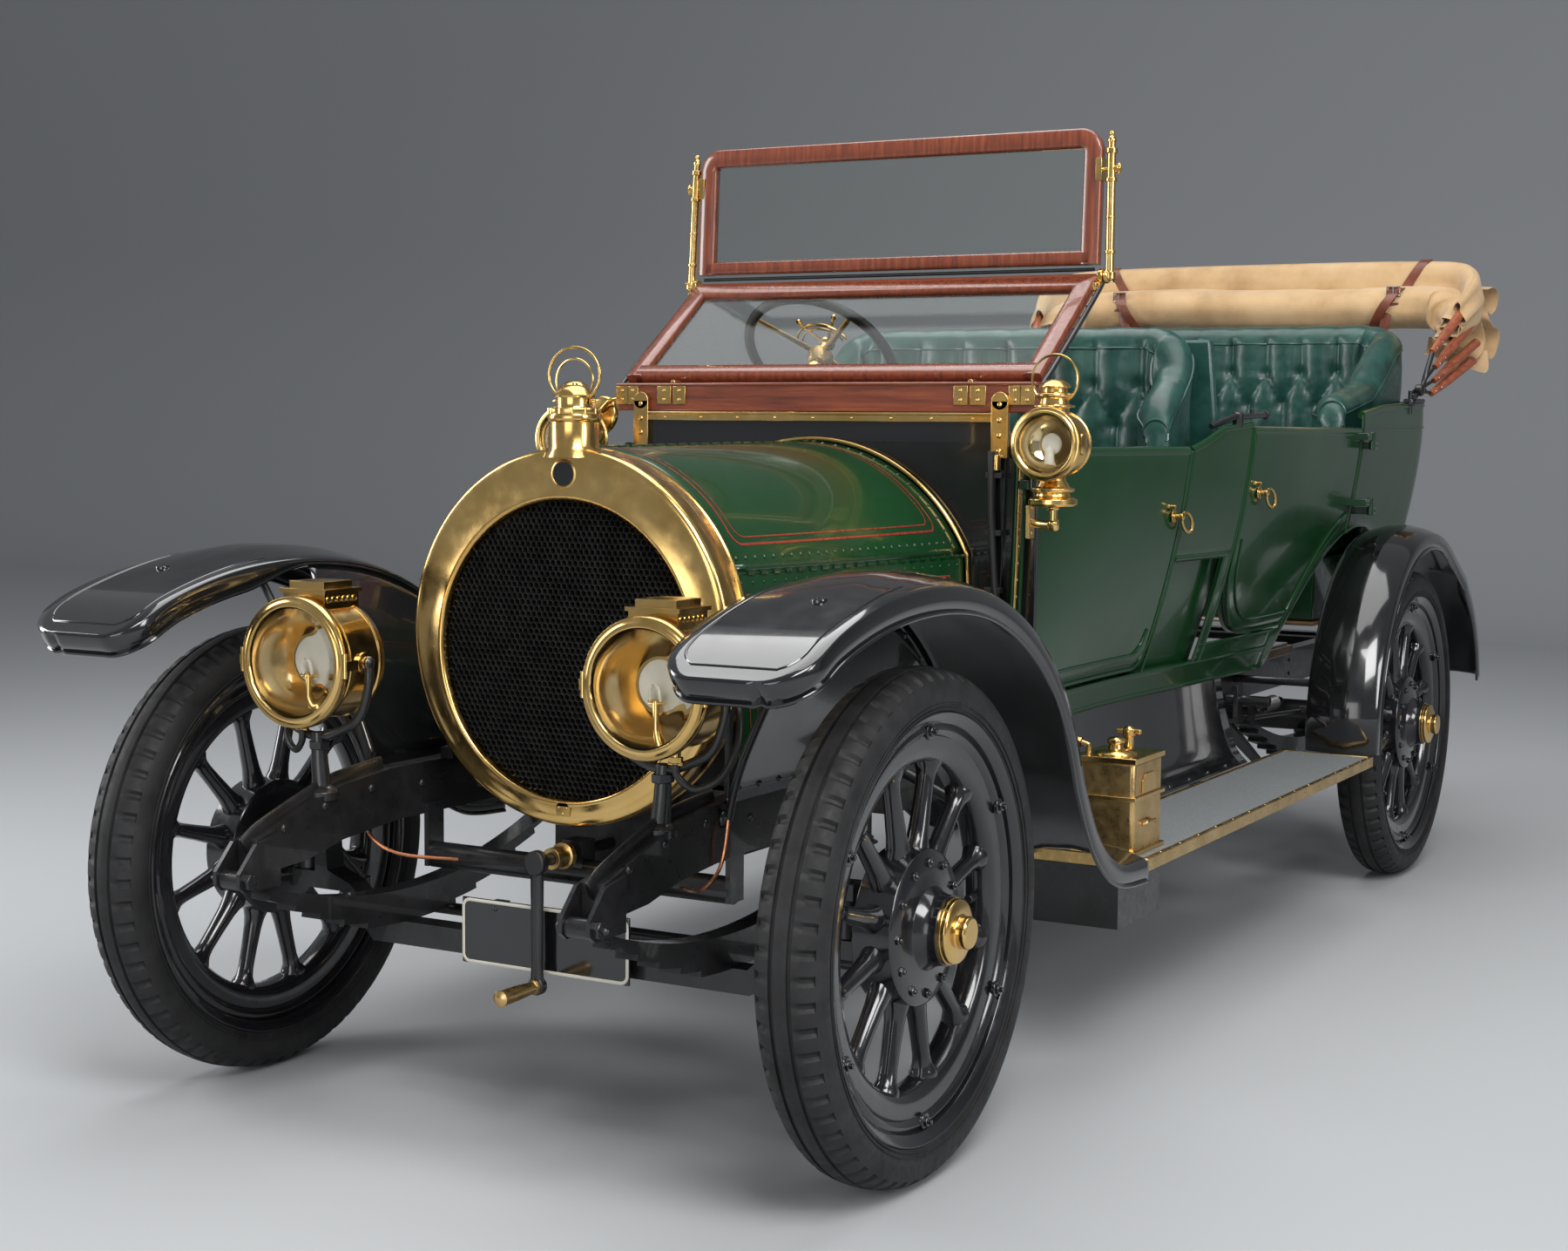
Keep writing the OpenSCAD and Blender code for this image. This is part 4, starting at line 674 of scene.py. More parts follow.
for node, material in (("chassis_frame", CHASSIS), ("front_axle", CHASSIS), ("front_springs", CHASSIS),
                       ("rear_springs", CHASSIS), ("rear_axle", CHASSIS), ("engine_and_gearbox", IRON),
                       ("exhaust", IRON), ("battery_box", CHASSIS), ("floor", BOARDS),
                       ("knuckle_left", CHASSIS), ("knuckle_right", CHASSIS), ("tie_rod", CHASSIS),
                       ("screen_lower_glass", GLASS), ("screen_upper_glass", GLASS)):
    nodes[node].data.materials.clear()
    nodes[node].data.materials.append(material)

fittings = Build()
RAIL_IN, RAIL_X = 343, 365
for y, z in ((-360, 560), (-250, 585), (-120, 600), (30, 590), (300, 580), (480, 590)):
    fittings.dome((RAIL_OUT, y, z), (1, 0, 0), 8, 5)
    fittings.dome((RAIL_IN, y, z), (-1, 0, 0), 8, 5)
for y in (700, 1200, 1700, 2200, 2700, 3200, 3700):
    for z in (560, 600):
        fittings.dome((RAIL_OUT, y, z), (1, 0, 0), 6, 4)
for y in (-463, 463):
    fittings.hexagon((RAIL_OUT + 9, y, 482), (1, 0, 0), 15, 10)
    fittings.hexagon((RAIL_IN - 9, y, 482), (-1, 0, 0), 15, 10)
    fittings.lathe((RAIL_OUT + 18, y, 482), (1, 0, 0), [(6, 0), (6, 8), (3.5, 10), (3.5, 14), (0, 14)], 14)
# Rounded tops of the dumb irons
fittings.tube(curve([(RAIL_X, -440, 536), (RAIL_X, -398, 560), (RAIL_X, -280, 599), (RAIL_X, -199, 620),
                     (RAIL_X, -64, 633)], 6), 20, 14, flat=0.3, up=(1, 0, 0))
both(fittings).make("chassis_fittings", CHASSIS, "chassis", "chassis_black", bevel=1.5)

# ---------------------------------------------------------------- radiator

R_OUT, R_Z, R_CORE, R_CORE_Z = 349, 888, 278, 865


def ring(radius, z, y, n=160):
    return [(radius * math.sin(a), y, z + radius * math.cos(a))
            for a in (2 * math.pi * i / n for i in range(n))]


shell = Build()
shell.grid([ring(300, R_Z, 92), ring(344, R_Z, 92), ring(349, R_Z, 88), ring(349, R_Z, 84),
            ring(346.5, R_Z, 82), ring(346.5, R_Z, 78), ring(348.5, R_Z, 76), ring(348.5, R_Z, 22),
            ring(346, R_Z, 15), ring(340, R_Z, 12), ring(330, R_Z + 1, 11.5),
            ring(R_CORE + 14, R_CORE_Z + 2, 11.5), ring(R_CORE + 9, R_CORE_Z, 8),
            ring(R_CORE + 3, R_CORE_Z, 8), ring(R_CORE - 1, R_CORE_Z, 12), ring(R_CORE - 1, R_CORE_Z, 34)],
           close_v=True)
neck_z = R_Z + R_OUT
shell.lathe((0, 46, 0), (0, 0, 1), [(58, neck_z - 18), (50, neck_z - 4), (46, neck_z + 2), (45, neck_z + 46),
                                    (48, neck_z + 48), (50, neck_z + 54), (48, neck_z + 60),
                                    (30, neck_z + 60)], 56)
shell.make("radiator_shell", BRASS, "chassis", "polished_brass", sharp=50, replaces=["radiator"])

back = Build()
back.grid([ring(0.01, R_Z, 90, 64), ring(340, R_Z, 90, 64)], close_v=True)
back.grid([ring(0.01, R_CORE_Z, 36, 64), ring(R_CORE - 1, R_CORE_Z, 36, 64)], close_v=True)
back.make("radiator_back", CORE, "chassis", "core_metal")

CELL = 12.4
comb = Build()
row_step = CELL * math.sqrt(3) / 2
for j in range(-int(R_CORE / row_step) - 1, int(R_CORE / row_step) + 2):
    for i in range(-int(R_CORE / CELL) - 1, int(R_CORE / CELL) + 2):
        cx, cz = (i + 0.5 * (j % 2)) * CELL, j * row_step
        if math.hypot(cx, cz) > R_CORE - CELL * 0.45:
            continue
        rings = [[(cx + rr * math.sin(math.pi / 3 * k), yy, R_CORE_Z + cz + rr * math.cos(math.pi / 3 * k))
                  for k in range(6)]
                 for rr, yy in ((CELL * 0.577, 24), (CELL * 0.44, 22), (CELL * 0.43, 34))]
        comb.grid(rings, close_v=True)
comb.make("radiator_honeycomb", CORE, "chassis", "core_metal", sharp=25, replaces=["radiator_core"],
          recalc=False)

badge = Build()
badge.lathe((0, 12, 1189), (0, -1, 0), [(27, -2), (27, 1), (24, 2.4), (22.5, 1.2), (0, 1.2)], 48)
badge.make("radiator_badge", BRASS_DULL, "chassis", "polished_brass", sharp=30)
disc = Build().lathe((0, 10.6, 1189), (0, -1, 0), [(22, 0), (22, 0.9), (0, 1.1)], 40)
disc.make("radiator_badge_enamel", BLACK, "chassis", "core_metal")
drain = Build()
drain.prism([(x, 12, z) for x, z in ((-14, 560), (14, 560), (16, 578), (8, 586), (-8, 586), (-16, 578))],
            (0, -4, 0))
for x, z in ((-9, 575), (9, 575), (0, 564)):
    drain.dome((x, 8, z), (0, -1, 0), 2.2, 1.6, 8)
drain.make("radiator_drain_plate", BRASS, "chassis", "polished_brass", bevel=0.8)

cap = Build()
top = neck_z + 60
cap.lathe((0, 46, 0), (0, 0, 1), [(30, top), (46, top), (47, top + 3), (47, top + 9), (44, top + 12),
                                  (34, top + 13), (33, top + 16), (33, top + 30), (37, top + 31),
                                  (38, top + 34), (36, top + 37), (33, top + 40), (27, top + 47),
                                  (16, top + 52), (6, top + 54), (5, top + 57), (0, top + 58)], 56)
for a in span(0, 330, 11):
    c, s = cos_sin(a)
    cap.tube([(47 * c, 46 + 47 * s, top + 1), (47 * c, 46 + 47 * s, top + 11)], 2.2, 8)
cap.make("filler_cap_lantern", BRASS, "chassis", "polished_brass", sharp=35, replaces=["filler_cap"])
bail = Build()
bail.tube([(56 * math.sin(a), 46, top + 22 + 50 * (1 - math.cos(a)) - 0) for a in
           angles(48)], 2.6, 10, closed=True)
for s in (-1, 1):
    bail.dome((s * 36, 46, top + 24), (s, 0, 0), 5, 12)
bail.make("filler_cap_ring", BRASS, "chassis", "polished_brass")

# ---------------------------------------------------------------- bonnet

BONNET_Y = (92.3, 948)
RIDGE_Z, FOLD_X, FOLD_Z, SIDE_X = (1237, 1245), (312, 366), (1012, 1008), (330, 384)
BONNET_LOW = 652
CENTRE_Z = (908.2, 843.9)


def bonnet_point(u, v, lift=0.0):
    """u runs from the radiator to the dashboard, v from the ridge to the fold; lift is outwards."""
    r = lerp(RIDGE_Z[0] - CENTRE_Z[0], RIDGE_Z[1] - CENTRE_Z[1], u) + lift
    zc = lerp(*CENTRE_Z, u)
    end = lerp(math.atan2(FOLD_X[0], FOLD_Z[0] - CENTRE_Z[0]),
               math.atan2(FOLD_X[1], FOLD_Z[1] - CENTRE_Z[1]), u)
    a = lerp(0.006, end, v)
    return Vector((r * math.sin(a), lerp(*BONNET_Y, u), zc + r * math.cos(a)))


def side_point(u, v, lift=0.0):
    """v runs from the fold down to the lower edge of the bonnet's side."""
    return Vector((lerp(lerp(*FOLD_X, u), lerp(*SIDE_X, u), v) + lift,
                   lerp(BONNET_Y[0], BONNET_Y[1] - 20 * v, u),
                   lerp(lerp(*FOLD_Z, u) - 1.5, BONNET_LOW + 0.5, v)))


def ribbon(point, uv, half, lift=0.5):
    """A flat painted strip on a surface, along uv points."""
    b = Build()
    rows = []
    for i, (u, v) in enumerate(uv):
        p = point(u, v, lift)
        q0, q1 = uv[max(0, i - 1)], uv[min(len(uv) - 1, i + 1)]
        t = unit(point(*q1, lift) - point(*q0, lift))
        n = unit(point(u, v, lift + 1) - p)
        s = unit(t.cross(n))
        rows.append([p + s * half, p + n * 0.25, p - s * half])
    return b.grid(rows)


def corners(u0, v0, u1, v1, ru, rv, n=6, step=24):
    """An open rounded rectangle in (u, v): from (u0, v0) along v1 to (u1, v0)."""
    out = [(u0, v) for v in span(v0, v1 - rv, step)]
    for a in span(0, 90, n)[1:]:
        c, s = cos_sin(a)
        out.append((u0 + ru * (1 - c), v1 - rv + rv * s))
    out += [(u, v1) for u in span(u0 + ru, u1 - ru, step)][1:]
    for a in span(0, 90, n)[1:]:
        c, s = cos_sin(a)
        out.append((u1 - ru + ru * s, v1 - rv + rv * c))
    return out + [(u1, v) for v in span(v1 - rv, v0, step)][1:]


LOUVRES = 11
for sign, side in SIDES:
    body, lower = f"bonnet_{side}", f"bonnet_side_{side}"
    skin = Build().grid([[bonnet_point(u, v, -1.5) for v in span(0, 1, 40)] for u in span(0, 1, 24)])
    mirrored(skin, sign).make(f"{body}_skin", GREEN, body, "body_green", solid=3, bevel=0.6,
                              replaces=[body])
    panel = Build().grid([[side_point(u, v, -1.5) for v in span(0, 1, 12)] for u in span(0, 1, 24)])
    mirrored(panel, sign).make(f"{lower}_skin", GREEN, lower, "body_green", solid=3, bevel=0.6,
                               replaces=[lower])
    lines = Build()
    for inset in (0.0, 0.022):
        part = ribbon(bonnet_point, corners(0.045 + inset * 0.9, 0.02, 0.93 - inset * 0.9, 0.86 - inset * 1.6,
                                            0.03, 0.07), 1.5 if inset else 2.4)
        n = len(lines.v)
        lines.v += part.v
        lines.f += [tuple(i + n for i in f) for f in part.f]
    mirrored(lines, sign).make(f"{body}_coach_lines", RED, body)
    low_lines = Build()
    for inset in (0.0, 0.03):
        part = ribbon(side_point, [(0.045 + inset, v) for v in span(0.9, 0.1 + inset, 10)]
                      + [(u, 0.1 + inset) for u in span(0.045 + inset, 0.93 - inset, 20)]
                      + [(0.93 - inset, v) for v in span(0.1 + inset, 0.9, 10)], 1.6)
        n = len(low_lines.v)
        low_lines.v += part.v
        low_lines.f += [tuple(i + n for i in f) for f in part.f]
    mirrored(low_lines, sign).make(f"{lower}_coach_lines", RED, lower)
    rivets = Build()
    for u in span(0.03, 0.97, 26):
        p = bonnet_point(u, 0.925)
        rivets.dome(p, p - bonnet_point(u, 0.925, -1), 4.2, 3, 8)
    for v in span(0.08, 0.86, 11):
        p = bonnet_point(0.975, v)
        rivets.dome(p, p - bonnet_point(0.975, v, -1), 3.4, 2.4, 8)
    for i, u in enumerate(span(0.004, 0.98, 40)):
        if i % 2 == 0:
            a, c = bonnet_point(u, 0.995, 0.5), bonnet_point(u + 0.0235, 0.995, 0.5)
            rivets.tube([a, c], 4.0, 8)
            rivets.tube([bonnet_point(u, 0.016, 0.5), bonnet_point(u + 0.0235, 0.016, 0.5)], 2.8, 8)
    strip = Build().grid([[bonnet_point(u, v, 0.9) for v in (0.955, 0.985)] for u in span(0.0, 1, 16)])
    mirrored(rivets, sign).make(f"{body}_rivets", GREEN_TRIM, body, "body_green")
    mirrored(strip, sign).make(f"{body}_hinge_leaf", GREEN_TRIM, body, "body_green", solid=1.5)
    vents = Build()
    for u in span(0.2, 0.8, LOUVRES - 1):
        rows = []
        for v in span(0.24, 0.82, 12):
            end = min(1, min(v - 0.24, 0.82 - v) / 0.05)
            h = 11 * math.sqrt(max(0, end))
            rows.append([side_point(u - 0.02, v, 0.2), side_point(u - 0.012, v, h * 0.35 + 0.2),
                         side_point(u + 0.0, v, h * 0.8 + 0.2), side_point(u + 0.012, v, h + 0.2),
                         side_point(u + 0.0125, v, h * 0.1)])
        vents.grid(rows)
    for u in span(0.03, 0.97, 22):
        for v in (0.04, 0.96):
            vents.dome(side_point(u, v), (1, 0, 0), 3.2, 2.2, 8)
    mirrored(vents, sign).make(f"{lower}_louvres", GREEN, lower, "body_green", sharp=50)
    catch = Build()
    for u in (0.16, 0.84):
        p = side_point(u, 0.9)
        catch.lathe(p, (1, 0, 0), [(11, 0), (11, 3), (8, 5), (4, 6), (4, 13), (0, 14)], 20)
        catch.tube([p + Vector((10, -13, 0)), p + Vector((12, 0, 0)), p + Vector((10, 13, 0))], 3.4, 10)
    mirrored(catch, sign).make(f"{lower}_catches", BRASS, lower, "polished_brass")

# Brass bead round the bonnet at the dashboard
rim = Build()
arc = [bonnet_point(1.003, v, 7) + Vector((0, 1.5, 0)) for v in span(0, 1, 40)]
down = [Vector((lerp(371, 389, t), 954.5, lerp(1008, 640, t))) for t in span(0.02, 1, 14)]
half_arc = arc + down
rim.tube([Vector((-p.x, p.y, p.z)) for p in reversed(half_arc)] + half_arc, 5.2, 10)
rim.make("bonnet_bead", BRASS, "chassis", "polished_brass")

# ---------------------------------------------------------------- dashboard and windscreen

dash = Build()
outline = [(428, 655), (430, 700), (450, 1000), (456, 1296), (-456, 1296), (-450, 1000), (-430, 700),
           (-428, 655)]
dash.prism([(x, 962, z) for x, z in outline], (0, 22, 0))
for s in (-1, 1):
    dash.prism([(s * x, 970, z) for x, z in ((444, 700), (520, 690), (522, 1230), (470, 1236), (452, 1290))],
               (0, 12, 0))
dash.make("dash_panel", BLACK, "chassis", "mahogany", bevel=2.0, replaces=["dashboard"])
beading = Build()
beading.box((-425, 953, 1290), (425, 963, 1304))
beading.box((-425, 951, 1304), (425, 966, 1309))
for s in (-1, 1):
    beading.box((min(s * 424, s * 462), 950, 1216), (max(s * 424, s * 462), 962, 1334))
    beading.lathe((s * 443, 950, 1334), (0, 1, 0), [(0, 0), (19, 0), (19, 12), (0, 12)], 28)
    for z in (1230, 1262, 1294, 1326):
        beading.dome((s * 443, 950, z), (0, -1, 0), 6, 3, 12)
    beading.tube([(s * 442, 946, 1222), (s * 442, 944, 1190)], 7, 12)
for x in span(-380, 380, 8):
    beading.dome((x, 953, 1297), (0, -1, 0), 3, 2, 8)
beading.make("dash_brass", BRASS, "chassis", "polished_brass", bevel=1.0)
conduit = Build()
conduit.tube(curve([(428, 948, 1230), (430, 946, 1100), (438, 948, 960), (446, 950, 900)], 6), 8, 12)
for z in (1180, 1060, 940):
    conduit.box((416, 944, z - 6), (452, 962, z + 6))
conduit.make("dash_conduit", HOSE, "chassis", "chassis_black", bevel=1)

board = Build()
board.box((-516, 965, 1310), (516, 1021, 1371))
board.box((-520, 962, 1366), (520, 1024, 1374))
board.make("screen_board", MAHOGANY, "chassis", "mahogany", bevel=3.5)
corner_plates = Build()
for s in (-1, 1):
    for x, w in ((500, 17), (472, 14), (388, 18), (348, 16)):
        corner_plates.box((s * x - w, 961, 1326), (s * x + w, 964.5, 1366))
        for dz in (-10, 10):
            corner_plates.dome((s * x, 961, 1346 + dz), (0, -1, 0), 4, 1.6, 12)
    corner_plates.tube([(s * 368, 966, 1374), (s * 368, 1000, 1374)], 6, 12)
corner_plates.make("screen_board_plates", BRASS, "chassis", "polished_brass", bevel=0.8)

SCREEN_HALF, FRAME_W = 516, 42
LOW, DIVIDER, SCREEN_TOP = Vector((0, 1004, 1382)), Vector((0, 1316, 1610)), 1933
lower_up = unit(DIVIDER - LOW)
upper_foot = Vector((0, 1317, 1636))
upper_up = Vector((0, math.sin(math.radians(3)), math.cos(math.radians(3))))


def frame_bars(foot, up, half, height, round_r, low_bar):
    """A screen frame of rounded wooden bars with mitred or rounded upper corners."""
    normal = unit(Vector((1, 0, 0)).cross(up))
    b = Build()
    w = FRAME_W / 2
    line = [Vector((-half + w, 0, 0)) + foot]
    line.append(Vector((-half + w, 0, 0)) + foot + up * (height - w - round_r))
    if round_r > 8:
        for a in span(0, 90, 8)[1:-1]:
            c, s = cos_sin(a)
            line.append(foot + Vector((-half + w + round_r * (1 - c), 0, 0))
                        + up * (height - w - round_r + round_r * s))
        line.append(foot + Vector((-half + w + round_r, 0, 0)) + up * (height - w))
    line += [Vector((2 * foot.x - p.x, p.y, p.z)) for p in reversed(line[1:])] + \
            [Vector((half - w, 0, 0)) + foot]
    rows = []
    for i, p in enumerate(line):
        a, c = line[max(0, i - 1)], line[min(len(line) - 1, i + 1)]
        t0 = unit(p - a) if i else unit(c - p)
        t1 = unit(c - p) if i < len(line) - 1 else t0
        mid = unit(t0 + t1)
        side = mid.cross(normal)
        stretch = 1 / max(0.5, mid.dot(t1))
        rows.append([p + side * x * stretch + normal * y for x, y in (
            (-w, -9), (-w, 9), (-w + 4, 13), (w - 4, 13), (w, 9), (w, -9), (w - 4, -13), (-w + 4, -13))])
    b.grid(rows, close_v=True, caps=True)
    bar = [[foot + Vector((x, 0, 0)) + up * (low_bar / 2 + a) + normal * c for a, c in (
        (-low_bar / 2, -9), (-low_bar / 2, 9), (-low_bar / 2 + 4, 13), (low_bar / 2 - 4, 13),
        (low_bar / 2, 9), (low_bar / 2, -9), (low_bar / 2 - 4, -13), (-low_bar / 2 + 4, -13))]
        for x in (-half + w, half - w)]
    b.grid(bar, close_v=True, caps=True)
    return b, normal


lower_bars, lower_n = frame_bars(LOW, lower_up, SCREEN_HALF - 2, (DIVIDER - LOW).length - 14, 0, 42)
lower_bars.make("lower_screen_frame", MAHOGANY_Z, "chassis", "mahogany", bevel=1.0, sharp=50,
                replaces=["screen_lower_frame"])
upper_bars, _ = frame_bars(upper_foot, upper_up, SCREEN_HALF - 4, SCREEN_TOP - 1636, 30, 30)
upper_bars.make("upper_screen_frame", MAHOGANY_Z, "upper_screen", "mahogany", bevel=1.0, sharp=50,
                replaces=["screen_upper_frame"])
trim = Build()
trim.grid([[Vector((x, 0, 0)) + DIVIDER + lower_up * a + lower_n * c for a, c in
            ((-16, -11), (-16, 11), (-4, 11), (-4, -11))] for x in (-SCREEN_HALF + 6, SCREEN_HALF - 6)],
          close_v=True, caps=True)
trim.make("lower_screen_top_bar", MAHOGANY, "chassis", "mahogany", bevel=1.5)
seal = Build().tube([(-500, 1318, 1626), (500, 1318, 1626)], 4, 10)
seal.make("screen_seal", HOSE, "upper_screen")
brackets = Build()
ear = Build()
for s in (-1, 1):
    # Pivot disc with its wing nut, on the fixed screen
    p = Vector((s * 514, 1316, 1610))
    ear.lathe(p, (s, 0, 0), [(0, 0), (17, 0), (17, 9), (13, 11), (0, 11)], 32)
    ear.box((min(s * 480, s * 521), 1276, 1578), (max(s * 480, s * 521), 1311, 1594))
    ear.tube([p + Vector((s * 4, -2, -8)), p + Vector((s * 4, -34, -30))], 8, 12, flat=0.7)
    brackets.lathe(p + Vector((s * 12, 0, 0)), (s, 0, 0), [(0, 0), (14, 0), (16, 4), (14, 9), (8, 11),
                                                       (8, 18), (5, 21), (0, 22)], 28)
    brackets.tube([p + Vector((s * 27, -16, 10)), p + Vector((s * 30, 0, 0)), p + Vector((s * 27, 16, -10))],
                  4.2, 10, flat=0.7)
    top = Vector((s * 530, 1331, 1903))
    foot = Vector((s * 536, 1316, 1602))
    post = lambda t: 9.5 if t < 0.93 else 8.0
    brackets.tube([foot.lerp(top, t) for t in span(0.0, 1, 18)], post, 16)
    for t, r, h in ((0.03, 14, 16), (0.2, 12, 8), (0.45, 11, 5), (0.72, 12.5, 10), (0.93, 13, 12)):
        c = foot.lerp(top, t)
        brackets.lathe(c - (top - foot).normalized() * h / 2, top - foot,
                       [(9, 0), (r, 1), (r, h - 1), (9, h)], 24)
    brackets.lathe(top, top - foot, [(9, -2), (10, 2), (8, 8), (4, 12), (6, 16), (5, 21), (0, 24)], 20)
    c = foot.lerp(top, 0.8)
    brackets.tube([c, Vector((s * 504, c.y - 2, c.z))], 5, 12)
    brackets.box((min(s * 500, s * 514), c.y - 15, c.z - 24), (max(s * 500, s * 514), c.y + 14, c.z + 24))
    brackets.lathe(c + Vector((s * 8, 0, 0)), (s, 0, 0),
                   [(0, 0), (8, 0), (8, 8), (5, 10), (5, 14), (0, 15)], 18)
    brackets.tube([c + Vector((s * 18, 0, -12)), c + Vector((s * 20, 0, 0)), c + Vector((s * 18, 0, 12))],
                  3.2, 8)
ear.make("screen_pivots", BRASS, "chassis", "polished_brass", bevel=0.8)
brackets.make("screen_posts", BRASS, "upper_screen", "polished_brass", bevel=0.6)
iron = Build()
for s in (-1, 1):
    # Black stays from the pivots down to the body
    iron.tube(curve([(s * 523, 1314, 1600), (s * 524, 1240, 1545), (s * 524, 1060, 1418),
                     (s * 521, 990, 1368)], 6), 6, 10)
    for t in span(0.1, 0.9, 6):
        q = Vector((s * 519, lerp(1290, 1020, t), lerp(1586, 1395, t)))
        iron.dome(q, (s, 0, 0), 3, 2, 8)
iron.make("screen_stays", CHASSIS, "chassis", "chassis_black")

# ---------------------------------------------------------------- body surface

TUB_HALF, DASH_HALF, TUB_END, CORNER_R = 630, 500, 3920, 220
BEND_Y = TUB_END - CORNER_R


def ease(t):
    return math.sin(math.radians(90 * min(1, max(0, t))))


def waist_x(y):
    return DASH_HALF + (TUB_HALF - DASH_HALF) * ease((y - DASH_Y) / 1600)


def inset(z):
    return max(0, (1300 - z) / 610) ** 1.6


def side_x(y, z):
    return waist_x(y) - (20 + 110 * ease((y - DASH_Y) / 900)) * inset(z)


def S(y, z, out=0.0):
    """A point on the left body side."""
    return Vector((side_x(y, z) + out, y, z))


def arch(y, r):
    d = abs(y - WHEELBASE)
    return HUB_Z + math.sqrt(r * r - d * d) if d < r else 0


def skin(y0, y1, low, high, depth=0.0, ny=28, nz=14, radius=(0, 0)):
    """A patch of the body side; radius rounds its lower front and rear corners."""
    rows = []
    for i in range(ny + 1):
        y = y0 + (y1 - y0) * i / ny
        lo, hi = low(y), high(y)
        for r, d in ((radius[0], y - y0), (radius[1], y1 - y)):
            if r and d < r:
                lo = max(lo, low(y) + r - math.sqrt(max(0, r * r - (r - d) ** 2)))
        rows.append([S(y, z, -depth) for z in span(hi, lo, nz)])
    return rows


def outline(rows):
    """The border of a patch, all the way round."""
    return ([r[0] for r in rows] + rows[-1][1:] + [r[-1] for r in reversed(rows)][1:]
            + list(reversed(rows[0]))[1:-1])


MID_TOP = [(0, 1228), (0.25, 1250), (0.5, 1278), (1, 1290)]
MID_Y = (1750, 2101)


def mid_top(y):
    return lookup((y - MID_Y[0]) / (MID_Y[1] - MID_Y[0]), MID_TOP)


body = Build()
beads = Build()
# Front posts, front seat's sides, posts before the rear doors and sills
body.grid(skin(924, 954, lambda y: 697, lambda y: 1228, 3, 4))
seat_side = skin(MID_Y[0], MID_Y[1], lambda y: 972, mid_top, 3)
body.grid(seat_side)
body.grid(skin(MID_Y[0], MID_Y[1], lambda y: 690, lambda y: 985, 32))
body.grid([[S(y, 697, -3), S(y, 697, -40)] for y in span(1738, 2110, 8)])
body.grid([[S(y, 974, -3), S(y, 974, -40)] for y in span(1745, 2110, 8)])
body.grid(skin(2055, 2101, lambda y: 697, lambda y: 975, 3, 6))
body.grid(skin(922, 2600, lambda y: 632, lambda y: 697, 3, 60, 4))
body.grid(skin(2061, 2600, lambda y: 697, lambda y: 740, 3, 24, 3))
for y in (1752, 2099):
    beads.tube([S(y, z, -2) for z in span(697, mid_top(y), 20)], 4, 8)
beads.tube([S(2058, z, -2) for z in span(697, 972, 14)], 4, 8)
lip = [S(y, 972, -4) for y in span(1752, 2058, 14)]
beads.tube(lip, 9, 12)
beads.tube([S(y, mid_top(y), -8) for y in span(1750, 2101, 14)], 10, 12)
beads.tube([S(y, 740, -3) for y in span(2061, 2620, 14)], 4, 8)
beads.tube([S(y, 694, -2) for y in span(926, 2600, 30)], 4.5, 8)
beads.tube([S(y, 640, -2) for y in span(926, 2600, 30)], 5, 8)
both(body).make("body_side_skins", GREEN, "chassis", "body_green", solid=4, bevel=0.8,
                replaces=["body_sides"])

# Rear tub
RAIL = [(3053, 1322), (3280, 1345), (3800, 1360), (5000, 1360)]
plan = [(waist_x(y), y, 1, 0) for y in span(3053, BEND_Y, 30)]
plan += [(TUB_HALF - CORNER_R + CORNER_R * math.cos(a), BEND_Y + CORNER_R * math.sin(a), math.cos(a),
          math.sin(a)) for a in (math.radians(q) for q in span(5, 90, 17))]
plan += [(x, TUB_END, 0, 1) for x in span(TUB_HALF - CORNER_R, 0, 6)[1:]]


def tub(p, z, out=0.0):
    back = 130 * inset(z) - out
    return Vector((p[0] - p[2] * back, p[1] - p[3] * back, z))


tub_rows = []
for p in plan:
    low = max(720, arch(p[1], 565))
    tub_rows.append([tub(p, z, -3) for z in span(lookup(p[1], RAIL), low, 18)])
tub_build = Build().grid(tub_rows)
tub_build.grid(skin(2600, 3057, lambda y: max(632, arch(y, 565)),
                    lambda y: max(748, arch(y, 597)) - 8, 3, 30, 4))
both(tub_build).make("tub_skin", GREEN, "chassis", "body_green", solid=5, bevel=1,
                     replaces=["rear_tub"])
beads.tube([tub(p, lookup(p[1], RAIL), -8) for p in plan], 11, 12)
beads.tube([tub(p, 1290, 0) for p in plan], 3.5, 8)
beads.tube([r[-1] for r in tub_rows], 5, 8)
beads.tube([tub(plan[0], z, -2) for z in span(1322, arch(3053, 565), 14)], 4, 8)
both(beads).make("body_beads", GREEN, "chassis", "body_green")
tub_floor = Build()
tub_floor.grid([[(s * min(484, side_x(y, 720) - 20), y, 716) for s in (-1, 1)] for y in span(3100, BEND_Y, 6)]
               + [[(s * 380, TUB_END - 150, 716) for s in (-1, 1)]])
tub_floor.make("tub_floor", BOARDS, "chassis", "floor_wood", solid=8)


# ---------------------------------------------------------------- doors

def front_low(y):
    return 705 + 6


def rear_low(y):
    return max(752, arch(y, 599))


DOORS = {
    "front": dict(y=(966, 1738), low=front_low, top=lambda y: 1226, radius=(0, 60), handle=(1690, 1076),
                  axis_y=957),
    "rear": dict(y=(2114, 3041), low=rear_low, top=lambda y: 1274, radius=(240, 0), handle=(2190, 1122),
                 axis_y=3048),
}


